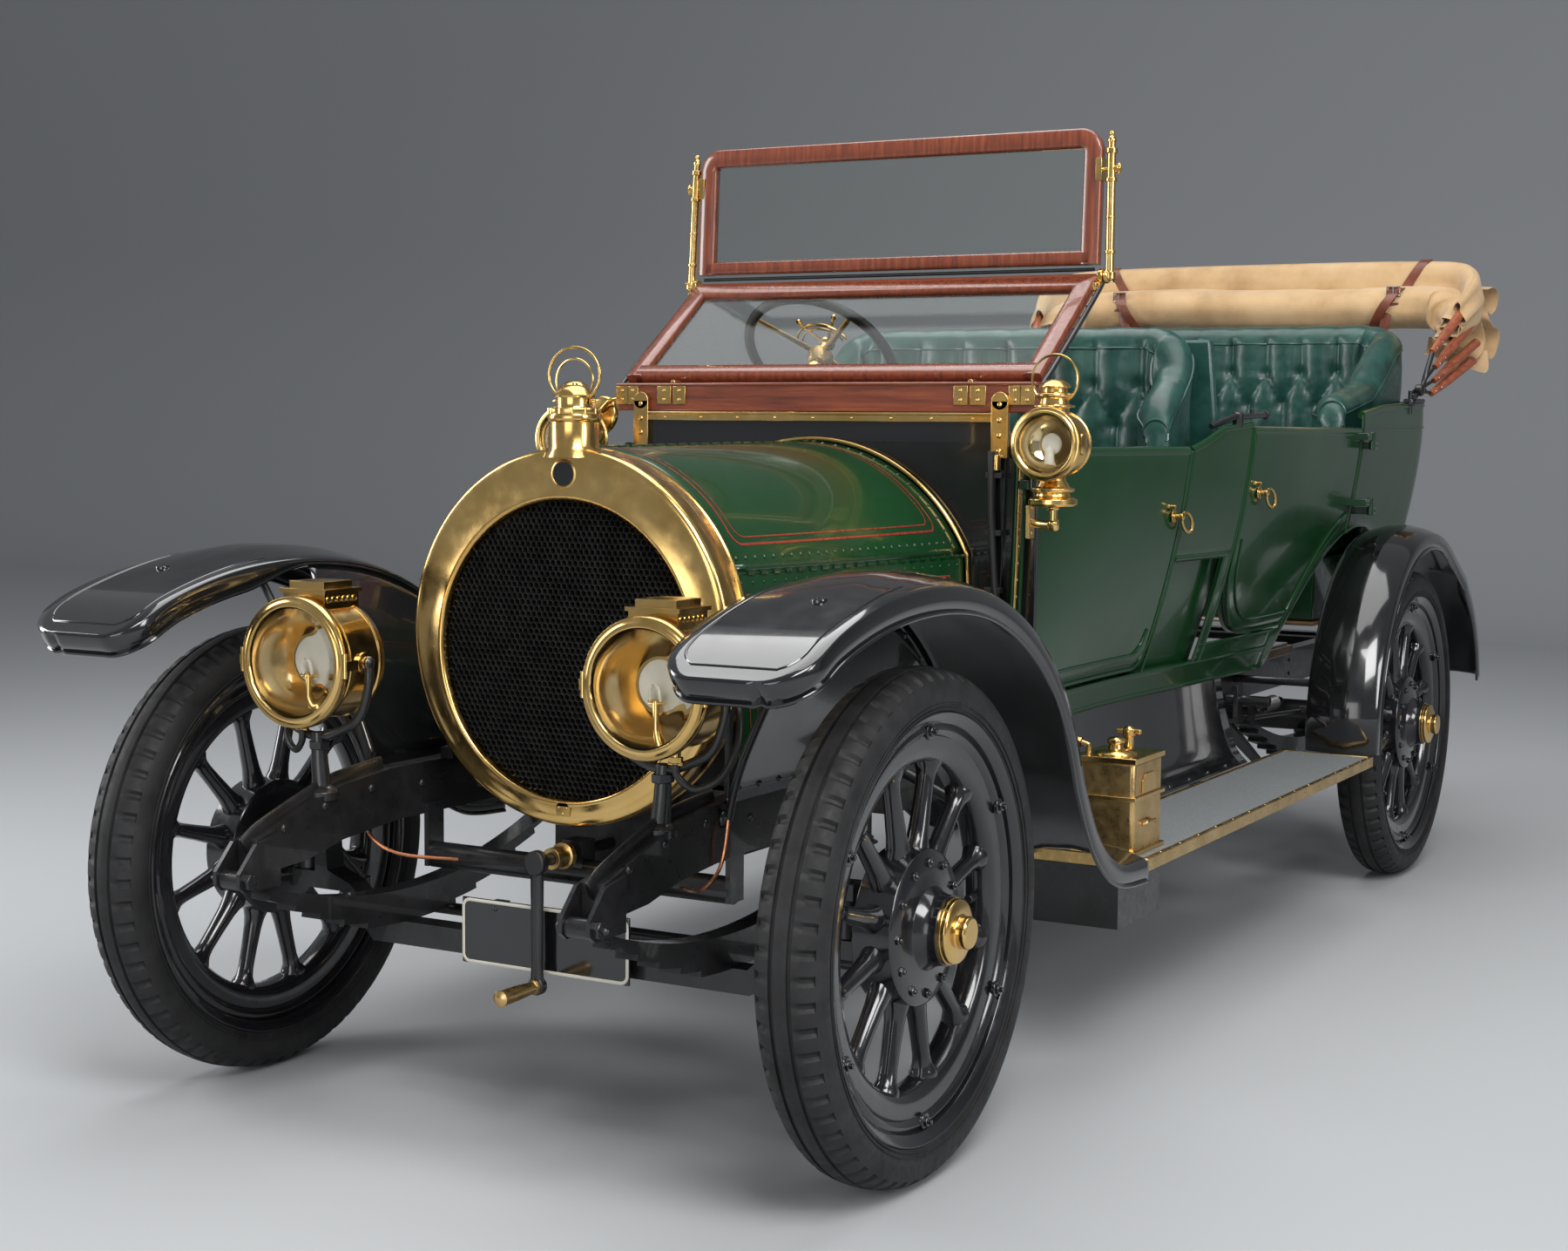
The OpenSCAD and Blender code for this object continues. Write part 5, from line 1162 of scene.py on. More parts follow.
def door(where, sign, side):
    d = DOORS[where]
    node = f"door_{where}_{side}"
    y0, y1 = d["y"]
    outer = skin(y0, y1, d["low"], d["top"], 3, 60, 24, d["radius"])
    inner = skin(y0 + 14, y1 - 14, lambda y: d["low"](y) + 14, lambda y: d["top"](y) - 4, 27, 48, 20,
                 d["radius"])
    b = Build().grid(outer).grid(inner)
    edge_out = outline(outer)
    mirrored(b, sign).make(node + "_skin", GREEN, node, "body_green", solid=4, replaces=[node])
    # Edge frame between the skins
    f = Build()
    f.tube(edge_out, 4.0, 8, closed=True)
    rows = []
    for p in edge_out:
        rows.append([p, p - Vector((24, 0, 0))])
    f.grid(rows, close_u=True)
    top_line = [S(y, d["top"](y), -13) for y in span(y0 + 2, y1 - 2, 30)]
    f.tube(top_line, 13, 12)
    # Bead inset along the lower edge
    inner_bead = skin(y0 + 34, y1 - 34, lambda y: d["low"](y) + 36, lambda y: d["top"](y) - 30, -0.5, 60, 24,
                      (d["radius"][0] * 0.9, d["radius"][1]))
    f.tube([r[-1] for r in inner_bead], 3, 8)
    mirrored(f, sign).make(node + "_beads", GREEN, node, "body_green", solid=1.2)
    # Trim on the inside
    trim_rows = skin(y0 + 30, y1 - 30, lambda y: d["low"](y) + 40, lambda y: d["top"](y) - 24, 31, 40, 20,
                     d["radius"])
    t = Build()
    for i, r in enumerate(trim_rows):
        for k, p in enumerate(r):
            e = min(i, len(trim_rows) - 1 - i, 4) / 4 * min(k, len(r) - 1 - k, 3) / 3
            p.x -= 5 * smooth(e)
    t.grid(trim_rows)
    mirrored(t, sign).make(node + "_trim", LEATHER, node, "green_leather")
    # Handle: escutcheon, spindle, oval drop ring and latch peg
    hy, hz = d["handle"]
    c = S(hy, hz, 1)
    h = Build()
    h.lathe(c, (1, 0, 0), [(0, 0), (17, 0), (17, 2.5), (14, 4), (8, 5), (7, 14), (10, 17), (10, 24), (5, 27),
                           (0, 28)], 28)
    oval = [c + Vector((21 + 4 * math.sin(a), 34 - 34 * math.cos(a), -18 + 19 * math.sin(a)
                        - 12 * (1 - math.cos(a)) / 2 + 18 * (1 - (1 - math.cos(a)) / 2)))
            for a in angles(32)]
    h.tube(oval, 4.2, 10, closed=True)
    h.box(tuple(S(hy - 44, hz + 20, -1)), tuple(S(hy - 44, hz + 20, 5) + Vector((0, 22, 9))))
    h.tube([S(hy - 33, hz + 24, 4), S(hy - 33, hz + 24, 16)], 5, 10)
    mirrored(h, sign).make(node + "_handle", BRASS, node, "polished_brass", bevel=0.5)
    # Leaf of each hinge on the door
    g = Build()
    for z in ((800, 1150) if where == "front" else (1040, 1225)):
        if where == "front":
            x = DASH_HALF + 16
            g.tube([(x, d["axis_y"], z + 25), (x, d["axis_y"], z + 49)], 9, 14)
            g.box((side_x(975, z) - 2, 962, z + 27), (x + 3, 1010, z + 47))
            g.dome((x + 3, 995, z + 37), (1, 0, 0), 4, 2.5)
        else:
            x = TUB_HALF + 26
            g.tube([(x, d["axis_y"], z + 25), (x, d["axis_y"], z + 49)], 9, 14)
            g.box((side_x(3000, z) - 2, 2990, z + 27), (x + 4, 3044, z + 47))
            for yy in (3002, 3022):
                g.dome((x + 4, yy, z + 37), (1, 0, 0), 4, 2.5)
    mirrored(g, sign).make(node + "_hinges", GREEN_TRIM, node, "body_green", bevel=1.5)


for where in DOORS:
    for sign, side in SIDES:
        door(where, sign, side)
knuckles = Build()
for z in (800, 1150):
    knuckles.tube([(DASH_HALF + 16, 957, z), (DASH_HALF + 16, 957, z + 24)], 9, 14)
    knuckles.box((side_x(940, z) - 3, 928, z + 2), (DASH_HALF + 17, 953, z + 22))
for z in (1040, 1225):
    knuckles.tube([(TUB_HALF + 26, 3048, z), (TUB_HALF + 26, 3048, z + 24)], 9, 14)
    knuckles.box((side_x(3070, z) - 3, 3052, z + 2), (TUB_HALF + 28, 3106, z + 22))
    for yy in (3072, 3092):
        knuckles.dome((TUB_HALF + 28, yy, z + 12), (1, 0, 0), 4, 2.5)
both(knuckles).make("hinge_knuckles", GREEN_TRIM, "chassis", "body_green", bevel=1.5)
strip = Build()
strip.grid([[S(y, z, 1) for z in span(1226, 700, 20)] for y in (928, 948)])
both(strip).make("post_brass_strips", BRASS, "chassis", "polished_brass", solid=2)
strip_heads = Build()
for z in span(720, 1210, 14):
    strip_heads.dome(S(938, z, 2), (1, 0, 0), 3, 1.6, 8)
both(strip_heads).make("post_strip_screws", BRASS_DULL, "chassis", "polished_brass")

# ---------------------------------------------------------------- running boards, aprons, boxes

BOARD_Y = (922, 2620)
boards = Build()
boards.box((552, BOARD_Y[0], 385), (794, BOARD_Y[1], 409))
both(boards).make("running_board_decks", CHASSIS, "chassis", "wing_black", bevel=2,
                  replaces=["running_boards"])
lino = Build().box((560, BOARD_Y[0] + 8, 408), (788, BOARD_Y[1] - 8, 411.6))
both(lino).make("running_board_lino", LINO, "chassis", "grey_lino", bevel=1.2)
edges = Build()
edges.box((787, BOARD_Y[0], 386), (799.5, BOARD_Y[1], 413))
edges.box((548, BOARD_Y[0], 400), (561, BOARD_Y[1], 413))
edges.box((548, BOARD_Y[1] - 10, 387), (799, BOARD_Y[1] + 0.5, 413))
edges.box((548, BOARD_Y[0] - 0.5, 387), (799, BOARD_Y[0] + 10, 413))
both(edges).make("running_board_edges", BRASS_DULL, "chassis", "grey_lino", bevel=1.6)
screws = Build()
for y in span(BOARD_Y[0] + 40, BOARD_Y[1] - 40, 14):
    screws.dome((799, y, 399), (1, 0, 0), 4, 1.0, 10)
    screws.dome((793, y + 50 if y < 2500 else y, 413), (0, 0, 1), 3.2, 1.2, 8)
both(screws).make("running_board_screws", BRASS, "chassis", "grey_lino")

apron = Build()
drop = curve([(0, 0, 640), (0.10, 0, 590), (0.30, 0, 520), (0.60, 0, 452), (1, 0, 414)], 6)


def apron_point(y, p):
    return (lerp(side_x(y, 640) - 12, 548, p.x), y, p.z)


apron.grid([[apron_point(y, p) for p in drop] for y in span(BOARD_Y[0], 2330, 24)])
both(apron).make("apron_sheets", BLACK, "chassis", "wing_black", solid=2.5, replaces=["side_aprons"])
apron_bolts = Build()
for y in span(960, 2310, 10):
    for i in (1, len(drop) - 3):
        p = Vector(apron_point(min(y, 2320), drop[i]))
        apron_bolts.dome(p + Vector((2, 0, 1)), (0.8, 0, 0.5), 6, 4)
both(apron_bolts).make("apron_bolts", BLACK, "chassis", "wing_black")
# Brake rod, its bell crank and springs seen behind the apron
links = Build()
links.tube([(470, 2200, 520), (470, 3040, 470)], 6, 10)
links.tube([(440, 2470, 560), (560, 2470, 560)], 13, 16)
links.box((466, 2450, 500), (478, 2490, 600))
for i in range(9):
    y = 2530 + i * 12
    links.lathe((520, y, 540), (0, 1, 0), [(17, 0), (21, 3), (17, 6)], 20)
links.tube([(520, 2490, 540), (520, 2680, 540)], 5, 8)
links.hexagon((520, 2680, 540), (0, 1, 0), 11, 9)
both(links).make("brake_linkage", CHASSIS, "chassis", "chassis_black", bevel=0.8)

gen = Build()
GX, GY = (634, 764), (930, 1092)
gen.box((GX[0], GY[0], 412.2), (GX[1], GY[1], 606))
gen.make("generator_case", BRASS_DULL, "chassis", "polished_brass", bevel=9,
         replaces=["gas_generator"])
gen = Build()
cx, cy = sum(GX) / 2, sum(GY) / 2
for z, grow in ((412.2, 5), (524, 5), (600, 4)):
    gen.box((GX[0] - grow, GY[0] - grow, z), (GX[1] + grow, GY[1] + grow, z + (9 if grow > 4 else 12)))
gen.lathe((cx, cy - 20, 606), (0, 0, 1), [(0, 0), (44, 0), (44, 8), (40, 12), (16, 16), (14, 26), (18, 28),
                                         (18, 36), (12, 40), (0, 42)], 40)
gen.tube([(cx, cy + 54, 606), (cx, cy + 54, 640)], 10, 14)
gen.tube([(cx - 26, cy + 54, 650), (cx + 26, cy + 54, 650)], 6, 12)
gen.lathe((cx, cy + 54, 640), (0, 0, 1), [(0, 0), (13, 0), (13, 16), (7, 20), (0, 22)], 20)
gen.tube([(cx - 44, cy - 62, 606), (cx - 44, cy - 62, 632), (cx - 80, cy - 62, 640)], 7, 12)
gen.hexagon((cx - 60, cy - 62, 636), (-1, 0, 0.2), 11, 12)
gen.tube(curve([(GX[1] + 1, cy - 30, 470), (GX[1] + 9, cy - 20, 476), (GX[1] + 9, cy + 20, 476),
                (GX[1] + 1, cy + 30, 470)], 5), 3.2, 8)
gen.make("generator_fittings", BRASS, "chassis", "polished_brass", bevel=1.5)
plaque = Build()
plaque.prism([(GX[1], cy + x, z) for x, z in ((-40, 536), (40, 536), (40, 562), (24, 576), (-24, 576),
                                              (-40, 562))], (3, 0, 0))
plaque.make("generator_blank_plate", BRASS, "chassis", "polished_brass", bevel=1)

plate = Build()
plate.box((-186, -51, 277), (186, -46, 401))
plate.make("number_plate_face", BLACK, "chassis", "plate_black", bevel=2, replaces=["number_plate"])
border = Build()
loop = []
for sx, sz, a0 in CORNERS:
    for a in span(a0, a0 + 90, 5):
        loop.append((sx * 168 + 14 * math.cos(math.radians(a)), -52,
                     339 + sz * 44 + 14 * math.sin(math.radians(a))))
border.tube(loop, 3.2, 8, closed=True, flat=0.5, up=(0, 1, 0))
border.make("number_plate_border", PALE, "chassis", "plate_black")
hangers = Build()
for x in (-110, 110):
    hangers.box((x - 15, -46, 372), (x + 15, -24, 398))
    hangers.dome((x, -51, 385), (0, -1, 0), 5, 3)
hangers.make("number_plate_hangers", CHASSIS, "chassis", "chassis_black", bevel=1)

# ---------------------------------------------------------------- starting handle

crank = Build()
crank.tube([(0, -70, 486), (0, 165, 486)], 11, 20)
crank.lathe((0, -84, 486), (0, 1, 0), [(0, 0), (20, 0), (23, 4), (23, 16), (20, 20), (11, 22)], 32)
crank.grid([[(w * math.cos(q), -72 + 8 * math.sin(q), z) for q in angles(12)]
            for z, w in ((486, 17), (460, 14), (300, 12), (270, 14), (259, 16))], close_v=True, caps=True)
crank.lathe((0, -64, 259), (0, -1, 0), [(0, 0), (17, 0), (17, 14), (13, 16), (0, 16)], 28)
crank.make("crank", CHASSIS, "starting_handle", "bright_steel", bevel=1.5, replaces=["starting_handle"])
grip = Build()
grip.lathe((0, -82, 259), (0, -1, 0), [(9, -4), (14, 0), (14, 4), (11, 8), (12.5, 30), (14, 60), (14.5, 80),
                                       (13, 94), (15, 98), (15, 103), (9, 107), (0, 108)], 28)
grip.make("crank_grip", BRASS_DULL, "starting_handle", "polished_brass")
tube_brass = Build().lathe((0, -30, 486), (0, 1, 0),
                           [(12, 0), (20, 0), (20, 34), (25, 36), (25, 48), (12, 48)], 30)
tube_brass.make("crank_bearing", BRASS_DULL, "chassis", "polished_brass", bevel=0.6)

# ---------------------------------------------------------------- lamps

HEAD = Vector((373, -302, 849))
SIDE = Vector((588, 846, 1247))


def headlamp(sign, side):
    at = HEAD
    b = Build()
    b.lathe(at, (0, 1, 0), [(98, 10), (98, 1), (101, -3), (106, -4), (110, -2), (113, 1), (118, 1), (120, 5),
                            (120, 17), (117, 21), (108, 23)], 72)
    b.lathe(at, (0, 1, 0), [(104, 20), (107, 24), (107, 32), (109.5, 34), (109.5, 38), (107, 40), (107, 112),
                            (109.5, 114), (109.5, 118), (107, 121), (104, 132), (84, 150), (72, 158),
                            (70, 164), (50, 171), (22, 174), (20, 181), (8, 184), (0, 184)], 72)
    # Vent box with a row of holes on each side
    x, y, z = at
    b.box((x - 48, y + 34, z + 88), (x + 48, y + 128, z + 126))
    b.box((x - 53, y + 30, z + 124), (x + 53, y + 132, z + 131))
    b.box((x - 40, y + 42, z + 130), (x + 40, y + 120, z + 144))
    for i in range(6):
        yy = y + 46 + i * 14
        for s in (-1, 1):
            b.lathe((x + s * 48, yy, z + 112), (s, 0, 0), [(6.4, 0), (6.4, 1.6), (4.2, 1.6), (4.2, -2)], 16)
    # Hinge, catch and their screws
    for s in (-1, 1):
        b.tube([(x + s * 119, y + 6, z + 22), (x + s * 119, y + 6, z - 22)], 5.5, 12)
        b.box((x + s * 119 - 6, y + 2, z - 9), (x + s * 119 + 6, y + 34, z + 9))
        b.lathe((x + s * 107, y + 70, z), (s, 0, 0), [(20, 0), (20, 5), (12, 7), (12, 15), (0, 16)], 24)
    b.tube([(x + 112, y + 58, z + 60), (x + 128, y + 58, z + 66), (x + 128, y + 58, z - 8)], 4.5, 10)
    b.tube([(x + 112, y + 58, z - 12), (x + 128, y + 58, z - 10)], 4.5, 10)
    b.tube([(x + 30, y + 60, z - 103), (x + 30, y + 60, z - 128)], 8, 14)
    b.hexagon((x + 30, y + 60, z - 118), (0, 0, -1), 12, 9)
    b.tube([(x + 16, y + 60, z - 128), (x + 44, y + 60, z - 128)], 4, 10)
    mirrored(b, sign).make(f"headlamp_{side}_shell", BRASS, "chassis", "polished_brass", bevel=1.2,
                           replaces=["headlamps"] if sign > 0 else ())
    inside = Build()
    inside.lathe(at, (0, 1, 0), [(97, 4)] + [(97 * math.cos(a), 6 + 104 * math.sin(a))
                                             for a in (math.radians(q) for q in span(0, 84, 14))], 56)
    mirrored(inside, sign).make(f"headlamp_{side}_reflector", REFLECTOR, "chassis", "polished_brass")
    lens = Build()
    lens.lathe(at, (0, 1, 0), [(44, 72), (46, 66), (44, 60), (0, 54)], 40)
    for s in (-1, 1):
        lens.tube([(at.x + s * 10, at.y + 44, at.z - 24), (at.x + s * 9, at.y + 40, at.z - 4),
                   (at.x + s * 3, at.y + 40, at.z + 3)], 3.4, 8)
    mirrored(lens, sign).make(f"headlamp_{side}_burner", CREAM, "chassis", "clear_glass")
    rim = Build().lathe(at, (0, 1, 0), [(44, 58), (49, 58), (49, 74), (44, 76)], 40)
    rim.tube([(at.x, at.y + 46, at.z - 96), (at.x, at.y + 46, at.z - 24)], 6, 12)
    rim.tube([(at.x - 14, at.y + 46, at.z - 26), (at.x + 14, at.y + 46, at.z - 26)], 5, 12)
    mirrored(rim, sign).make(f"headlamp_{side}_lens_ring", BRASS, "chassis", "polished_brass")
    glass = Build().lathe(at, (0, 1, 0), [(97, 4), (70, 0.5), (35, -1.5), (0, -2)], 48)
    mirrored(glass, sign).make(f"headlamp_{side}_glass", LENS, "chassis", "clear_glass", solid=2.4,
                               replaces=["lamp_glasses"] if sign > 0 else ())
    # Black discs inside the vent rings: painted shade for the dark inside of the holes
    hole_shade = Build()
    for i in range(6):
        for s in (-1, 1):
            hole_shade.lathe((at.x + s * 48.2, at.y + 46 + i * 14, at.z + 112), (s, 0, 0),
                        [(4.2, 0), (0, 0.3)], 14)
    mirrored(hole_shade, sign).make(f"headlamp_{side}_vent_hole_shade", HOSE, "chassis")
    fork = Build()
    for s in (-1, 1):
        fork.tube(curve([(at.x + s * 118, at.y + 70, at.z), (at.x + s * 117, at.y + 70, at.z - 46),
                         (at.x + s * 92, at.y + 70, at.z - 104), (at.x + s * 30, at.y + 70, at.z - 136),
                         (at.x, at.y + 70, at.z - 140)], 6), 8.5, 12)
        fork.dome((at.x + s * 118, at.y + 70, at.z), (s, 0, 0), 13, 10, 16)
    fork.tube([(at.x, at.y + 70, at.z - 132), (at.x - 3, at.y + 70, at.z - 190), (365, at.y + 70, 606)],
              lambda t: 13 + 5 * t, 16)
    fork.hexagon((at.x - 2, at.y + 70, at.z - 150), (0, 0, -1), 20, 14)
    fork.lathe((365, at.y + 70, 598), (0, 0, 1), [(30, -4), (30, 10), (24, 16), (16, 22), (0, 22)], 28)
    mirrored(fork, sign).make(f"headlamp_{side}_fork", CHASSIS, "chassis", "chassis_black", bevel=0.8)
    hose = Build()
    hose.tube(curve([(at.x + 30, at.y + 60, at.z - 128), (at.x + 32, at.y + 62, at.z - 150),
                     (at.x + 58, at.y + 74, at.z - 170), (at.x + 96, at.y + 96, at.z - 150),
                     (at.x + 112, at.y + 122, at.z - 96), (at.x + 96, at.y + 150, at.z - 40),
                     (at.x + 52, at.y + 196, at.z - 60), (396, at.y + 240, 640)], 8), 6.5, 10)
    mirrored(hose, sign).make(f"headlamp_{side}_hose", HOSE, "chassis")
    pipe = Build()
    pipe.tube(curve([(396, -62, 645), (398, -64, 600), (392, -80, 520), (340, -60, 470), (250, 20, 452)], 8),
              3.6, 8)
    mirrored(pipe, sign).make(f"headlamp_{side}_pipe", COPPER, "chassis")


def side_lamp(sign, side):
    at = SIDE
    x, y, z = at
    b = Build()
    b.lathe(at, (0, 1, 0), [(58, 8), (58, 1), (62, -2), (66, -2), (69, 1), (74, 2), (76, 6), (76, 13),
                            (73, 17), (64, 18)], 56)
    b.lathe(at, (0, 1, 0), [(62, 16), (64, 19), (64, 84), (67, 86), (67, 90), (62, 93), (40, 98),
                            (0, 100)], 56)
    axis = Vector((x, y + 52, 0))
    # Chimney with its tiers and dome
    b.lathe(axis, (0, 0, 1), [(30, z + 55), (30, z + 72), (42, z + 74), (42, z + 78), (30, z + 80),
                              (28, z + 92), (36, z + 94), (38, z + 98), (36, z + 102), (26, z + 104),
                              (25, z + 112), (32, z + 113), (33, z + 116), (28, z + 122), (18, z + 128),
                              (6, z + 131), (0, z + 131)], 40)
    # Oil font and its gallery below
    b.lathe(axis, (0, 0, 1), [(0, z - 126), (46, z - 126), (50, z - 122), (50, z - 112), (44, z - 108),
                              (36, z - 106), (34, z - 100), (44, z - 96), (45, z - 90), (34, z - 86),
                              (26, z - 74), (24, z - 60), (30, z - 50)], 40)
    b.lathe(axis, (0, 0, 1), [(0, z - 134), (12, z - 134), (14, z - 130), (12, z - 124)], 24)
    for s in (-1, 1):
        b.lathe((x + s * 62, y + 50, z), (s, 0, 0), [(22, -4), (22, 4), (18, 7), (0, 8)], 28)
        b.tube([(x + s * 66, y + 8, z + 16), (x + s * 66, y + 8, z - 16)], 4.4, 10)
    # Arm to the body and its pin
    b.tube(curve([(522, 934, 1086), (548, 928, 1082), (584, 912, 1082), (592, 900, 1090)], 6), 9, 14)
    b.tube([(x + 2, y + 52, 1082), (x + 2, y + 52, z - 126)], 8, 14)
    b.lathe((x + 2, y + 52, 1070), (0, 0, 1), [(0, 0), (9, 1), (12, 6), (12, 18), (9, 22)], 20)
    b.box((518, 922, 1052), (526, 950, 1120))
    b.tube([(524, 936, z - 30), (x - 50, 922, z - 30)], 7, 12)
    for dz in (8, 60):
        b.dome((526, 936, 1056 + dz), (1, 0, 0), 5, 2.5)
    mirrored(b, sign).make(f"side_lamp_{side}_shell", BRASS, "chassis", "polished_brass", bevel=0.8, sharp=35,
                           replaces=["side_lamps"] if sign > 0 else ())
    bail = Build().tube([(x + 50 * math.sin(a), y + 52, z + 122 - 50 * math.cos(a) + 8) for a in
                         angles(48)], 2.6, 8, closed=True)
    mirrored(bail, sign).make(f"side_lamp_{side}_bail", BRASS, "chassis", "polished_brass")
    bowl = [(58 * math.cos(a), 4 + 54 * math.sin(a)) for a in (math.radians(q) for q in span(0, 84, 10))]
    inner = Build().lathe(at, (0, 1, 0), [(58, 3)] + bowl, 40)
    mirrored(inner, sign).make(f"side_lamp_{side}_reflector", REFLECTOR, "chassis", "polished_brass")
    wick = Build().lathe((x, y + 30, 0), (0, 0, 1),
                         [(0, z - 40), (10, z - 40), (10, z - 12), (3, z - 6), (0, z)], 16)
    wick.lathe(at, (0, 1, 0), [(20, 44), (22, 40), (20, 36), (0, 33)], 24)
    mirrored(wick, sign).make(f"side_lamp_{side}_burner", CREAM, "chassis", "clear_glass")
    glass = Build().lathe(at, (0, 1, 0), [(58, 2), (40, -3), (20, -6), (0, -7)], 40)
    mirrored(glass, sign).make(f"side_lamp_{side}_glass", LENS, "chassis", "clear_glass", solid=2)


for sign, side in SIDES:
    headlamp(sign, side)
    side_lamp(sign, side)

MIRROR = Vector((-588, 1004, 1300))
b = Build()
tilt = (0, -1, 0.17)
b.lathe(MIRROR, tilt, [(0, 8), (34, 7.5), (42, 5), (45.5, 1), (46.5, -3), (45, -6), (42, -6.5)], 48)
b.lathe(MIRROR, tilt, [(0, 15), (7, 14), (9, 10), (9, 7)], 20)
b.tube(curve([MIRROR + Vector((6, -10, 10)), MIRROR + Vector((30, -14, 30)), (-545, 992, 1336),
              (-519, 990, 1340)], 6), 5.5, 12)
b.make("driving_mirror_back", BRASS, "chassis", "polished_brass", replaces=["driving_mirror"])
Build().lathe(MIRROR, tilt, [(43, -5.5), (0, -5.5)], 40).make("driving_mirror_glass", REFLECTOR, "chassis")

# ---------------------------------------------------------------- steering and controls

COL_TOP, COL_TILT = Vector((-290, 1520, 1447)), math.radians(45)
col_axis = Vector((0, math.sin(COL_TILT), math.cos(COL_TILT)))
wheel_side = Vector((0, math.cos(COL_TILT), -math.sin(COL_TILT)))


def on_wheel(r, deg, lift=0.0):
    a = math.radians(deg)
    return COL_TOP + Vector((r * math.cos(a), 0, 0)) + wheel_side * (r * math.sin(a)) + col_axis * lift


rim = Build().tube([on_wheel(187, a) for a in span(0, 356, 89)], 12.5, 16, closed=True)
rim.make("steering_rim", HOSE, "steering_wheel", "black_rim", replaces=["steering_wheel"])
spider = Build()
for a in (45, 135, 225, 315):
    spider.tube([on_wheel(r, a, 10 * (1 - r / 187) - 4) for r in span(20, 186, 10)],
                lambda t: 9.5 - 3 * t, 12, flat=0.6, up=col_axis)
spider.lathe(COL_TOP, col_axis, [(19, -30), (26, -26), (32, -8), (32, 6), (26, 12), (20, 14)], 36)
spider.make("steering_spider", BRASS_DULL, "steering_wheel", "polished_brass", bevel=0.6)
quadrant = Build()
quadrant.tube([on_wheel(74, a, 34) for a in span(200, 340, 30)], 4, 8)
quadrant.tube([on_wheel(60, a, 34) for a in span(200, 340, 30)], 3, 8)
quadrant.lathe(COL_TOP, col_axis, [(14, 6), (16, 14), (14, 40), (20, 42), (20, 48), (12, 52), (0, 54)], 30)
for a, r in ((232, 88), (300, 96)):
    quadrant.tube([on_wheel(12, a, 44), on_wheel(r - 10, a, 46), on_wheel(r, a, 50)], 3.5, 8)
    quadrant.dome(on_wheel(r, a, 48), col_axis, 7, 10)
quadrant.make("throttle_quadrant", BRASS, "steering_wheel", "polished_brass")
column = Build()
foot = COL_TOP - col_axis * ((1520 - 640) / math.sin(COL_TILT))
column.tube([foot, COL_TOP - col_axis * 34], 18.5, 28)
column.lathe(COL_TOP - col_axis * 60, col_axis, [(19, 0), (24, 2), (24, 16), (19, 18)], 30)
column.lathe(foot + col_axis * 500, col_axis, [(19, 0), (34, 2), (34, 8), (19, 12)], 30)
column.make("column_tube", BRASS_DULL, "chassis", "polished_brass", replaces=["steering_column"])
box = Build().lathe(foot, col_axis, [(0, -50), (40, -50), (52, -40), (52, 30), (36, 50), (20, 70)], 28)
box.make("steering_box", CHASSIS, "chassis", "chassis_black", bevel=2)
levers = Build()
for x, y, z in ((-370, 1400, 1130), (-390, 1440, 1180)):
    levers.tube(curve([(x, y - 125, 672), (x, y - 90, 820), (x, y - 50, 980), (x, y, z)], 6),
                lambda t: 9 - 2.5 * t, 12)
    levers.dome((x, y, z - 6), (0, 0.2, 1), 16, 26, 20)
    levers.tube([(x, y - 46, 995), (x + 12, y - 30, 1040), (x + 12, y - 8, z - 24)], 3.5, 8)
levers.make("lever_rods", BRASS, "chassis", "polished_brass", replaces=["hand_levers"])
gate = Build().box((-400, 1265, 656), (-360, 1400, 695))
gate.make("lever_gate", CHASSIS, "chassis", "chassis_black", bevel=4)
pedals = Build()
for x in (-220, -330):
    pedals.tube([(x, 1010, 662), (x, 1060, 720), (x, 1070, 760)], 8, 10)
    pedals.box((x - 28, 1066, 740), (x + 28, 1076, 800))
pedals.make("pedals", STEEL, "chassis", bevel=2)
deck = Build().box((-428, 964, 631), (428, 3100, 655))
deck.make("cabin_floor", BOARDS, "chassis", "floor_wood", bevel=1, replaces=["floor"])
toe = Build().prism([(430, 985, 655), (430, 1130, 656), (430, 985, 860)], (-860, 0, 0))
toe.make("toe_board", LINO, "chassis", "grey_lino", bevel=2)
mat_piece = Build()
for i in range(18):
    mat_piece.box((-415, 1150 + i * 22, 655), (415, 1166 + i * 22, 658))
mat_piece.make("front_mat", HOSE, "chassis", "grey_lino", bevel=1)
carpet = Build().box((-415, 2110, 655), (415, 3090, 662))
carpet.make("rear_carpet", LINO, "chassis", "grey_lino", bevel=2)

# ---------------------------------------------------------------- seats

TUFT_W = 118.0
ROW_UP, ROW_LOW = 92.0, 190.0          # drops of the two rows of buttons below the roll


def tuft(a, drop):
    """Height share of pleated leather: a counts buttons along the back, drop is the way below the roll."""
    if drop < ROW_UP:
        f = abs(math.sin(math.pi * a))
    elif drop > ROW_LOW:
        f = abs(math.cos(math.pi * a))
    else:
        t = (drop - ROW_UP) / (ROW_LOW - ROW_UP) / 2
        f = math.sqrt(abs(math.sin(math.pi * (a + t)) * math.sin(math.pi * (a - t))))
        f = min(1, f * 1.1)
    return f ** 0.42


def wrinkle(p, amount):
    return amount * noise.noise(Vector(p) / 26)


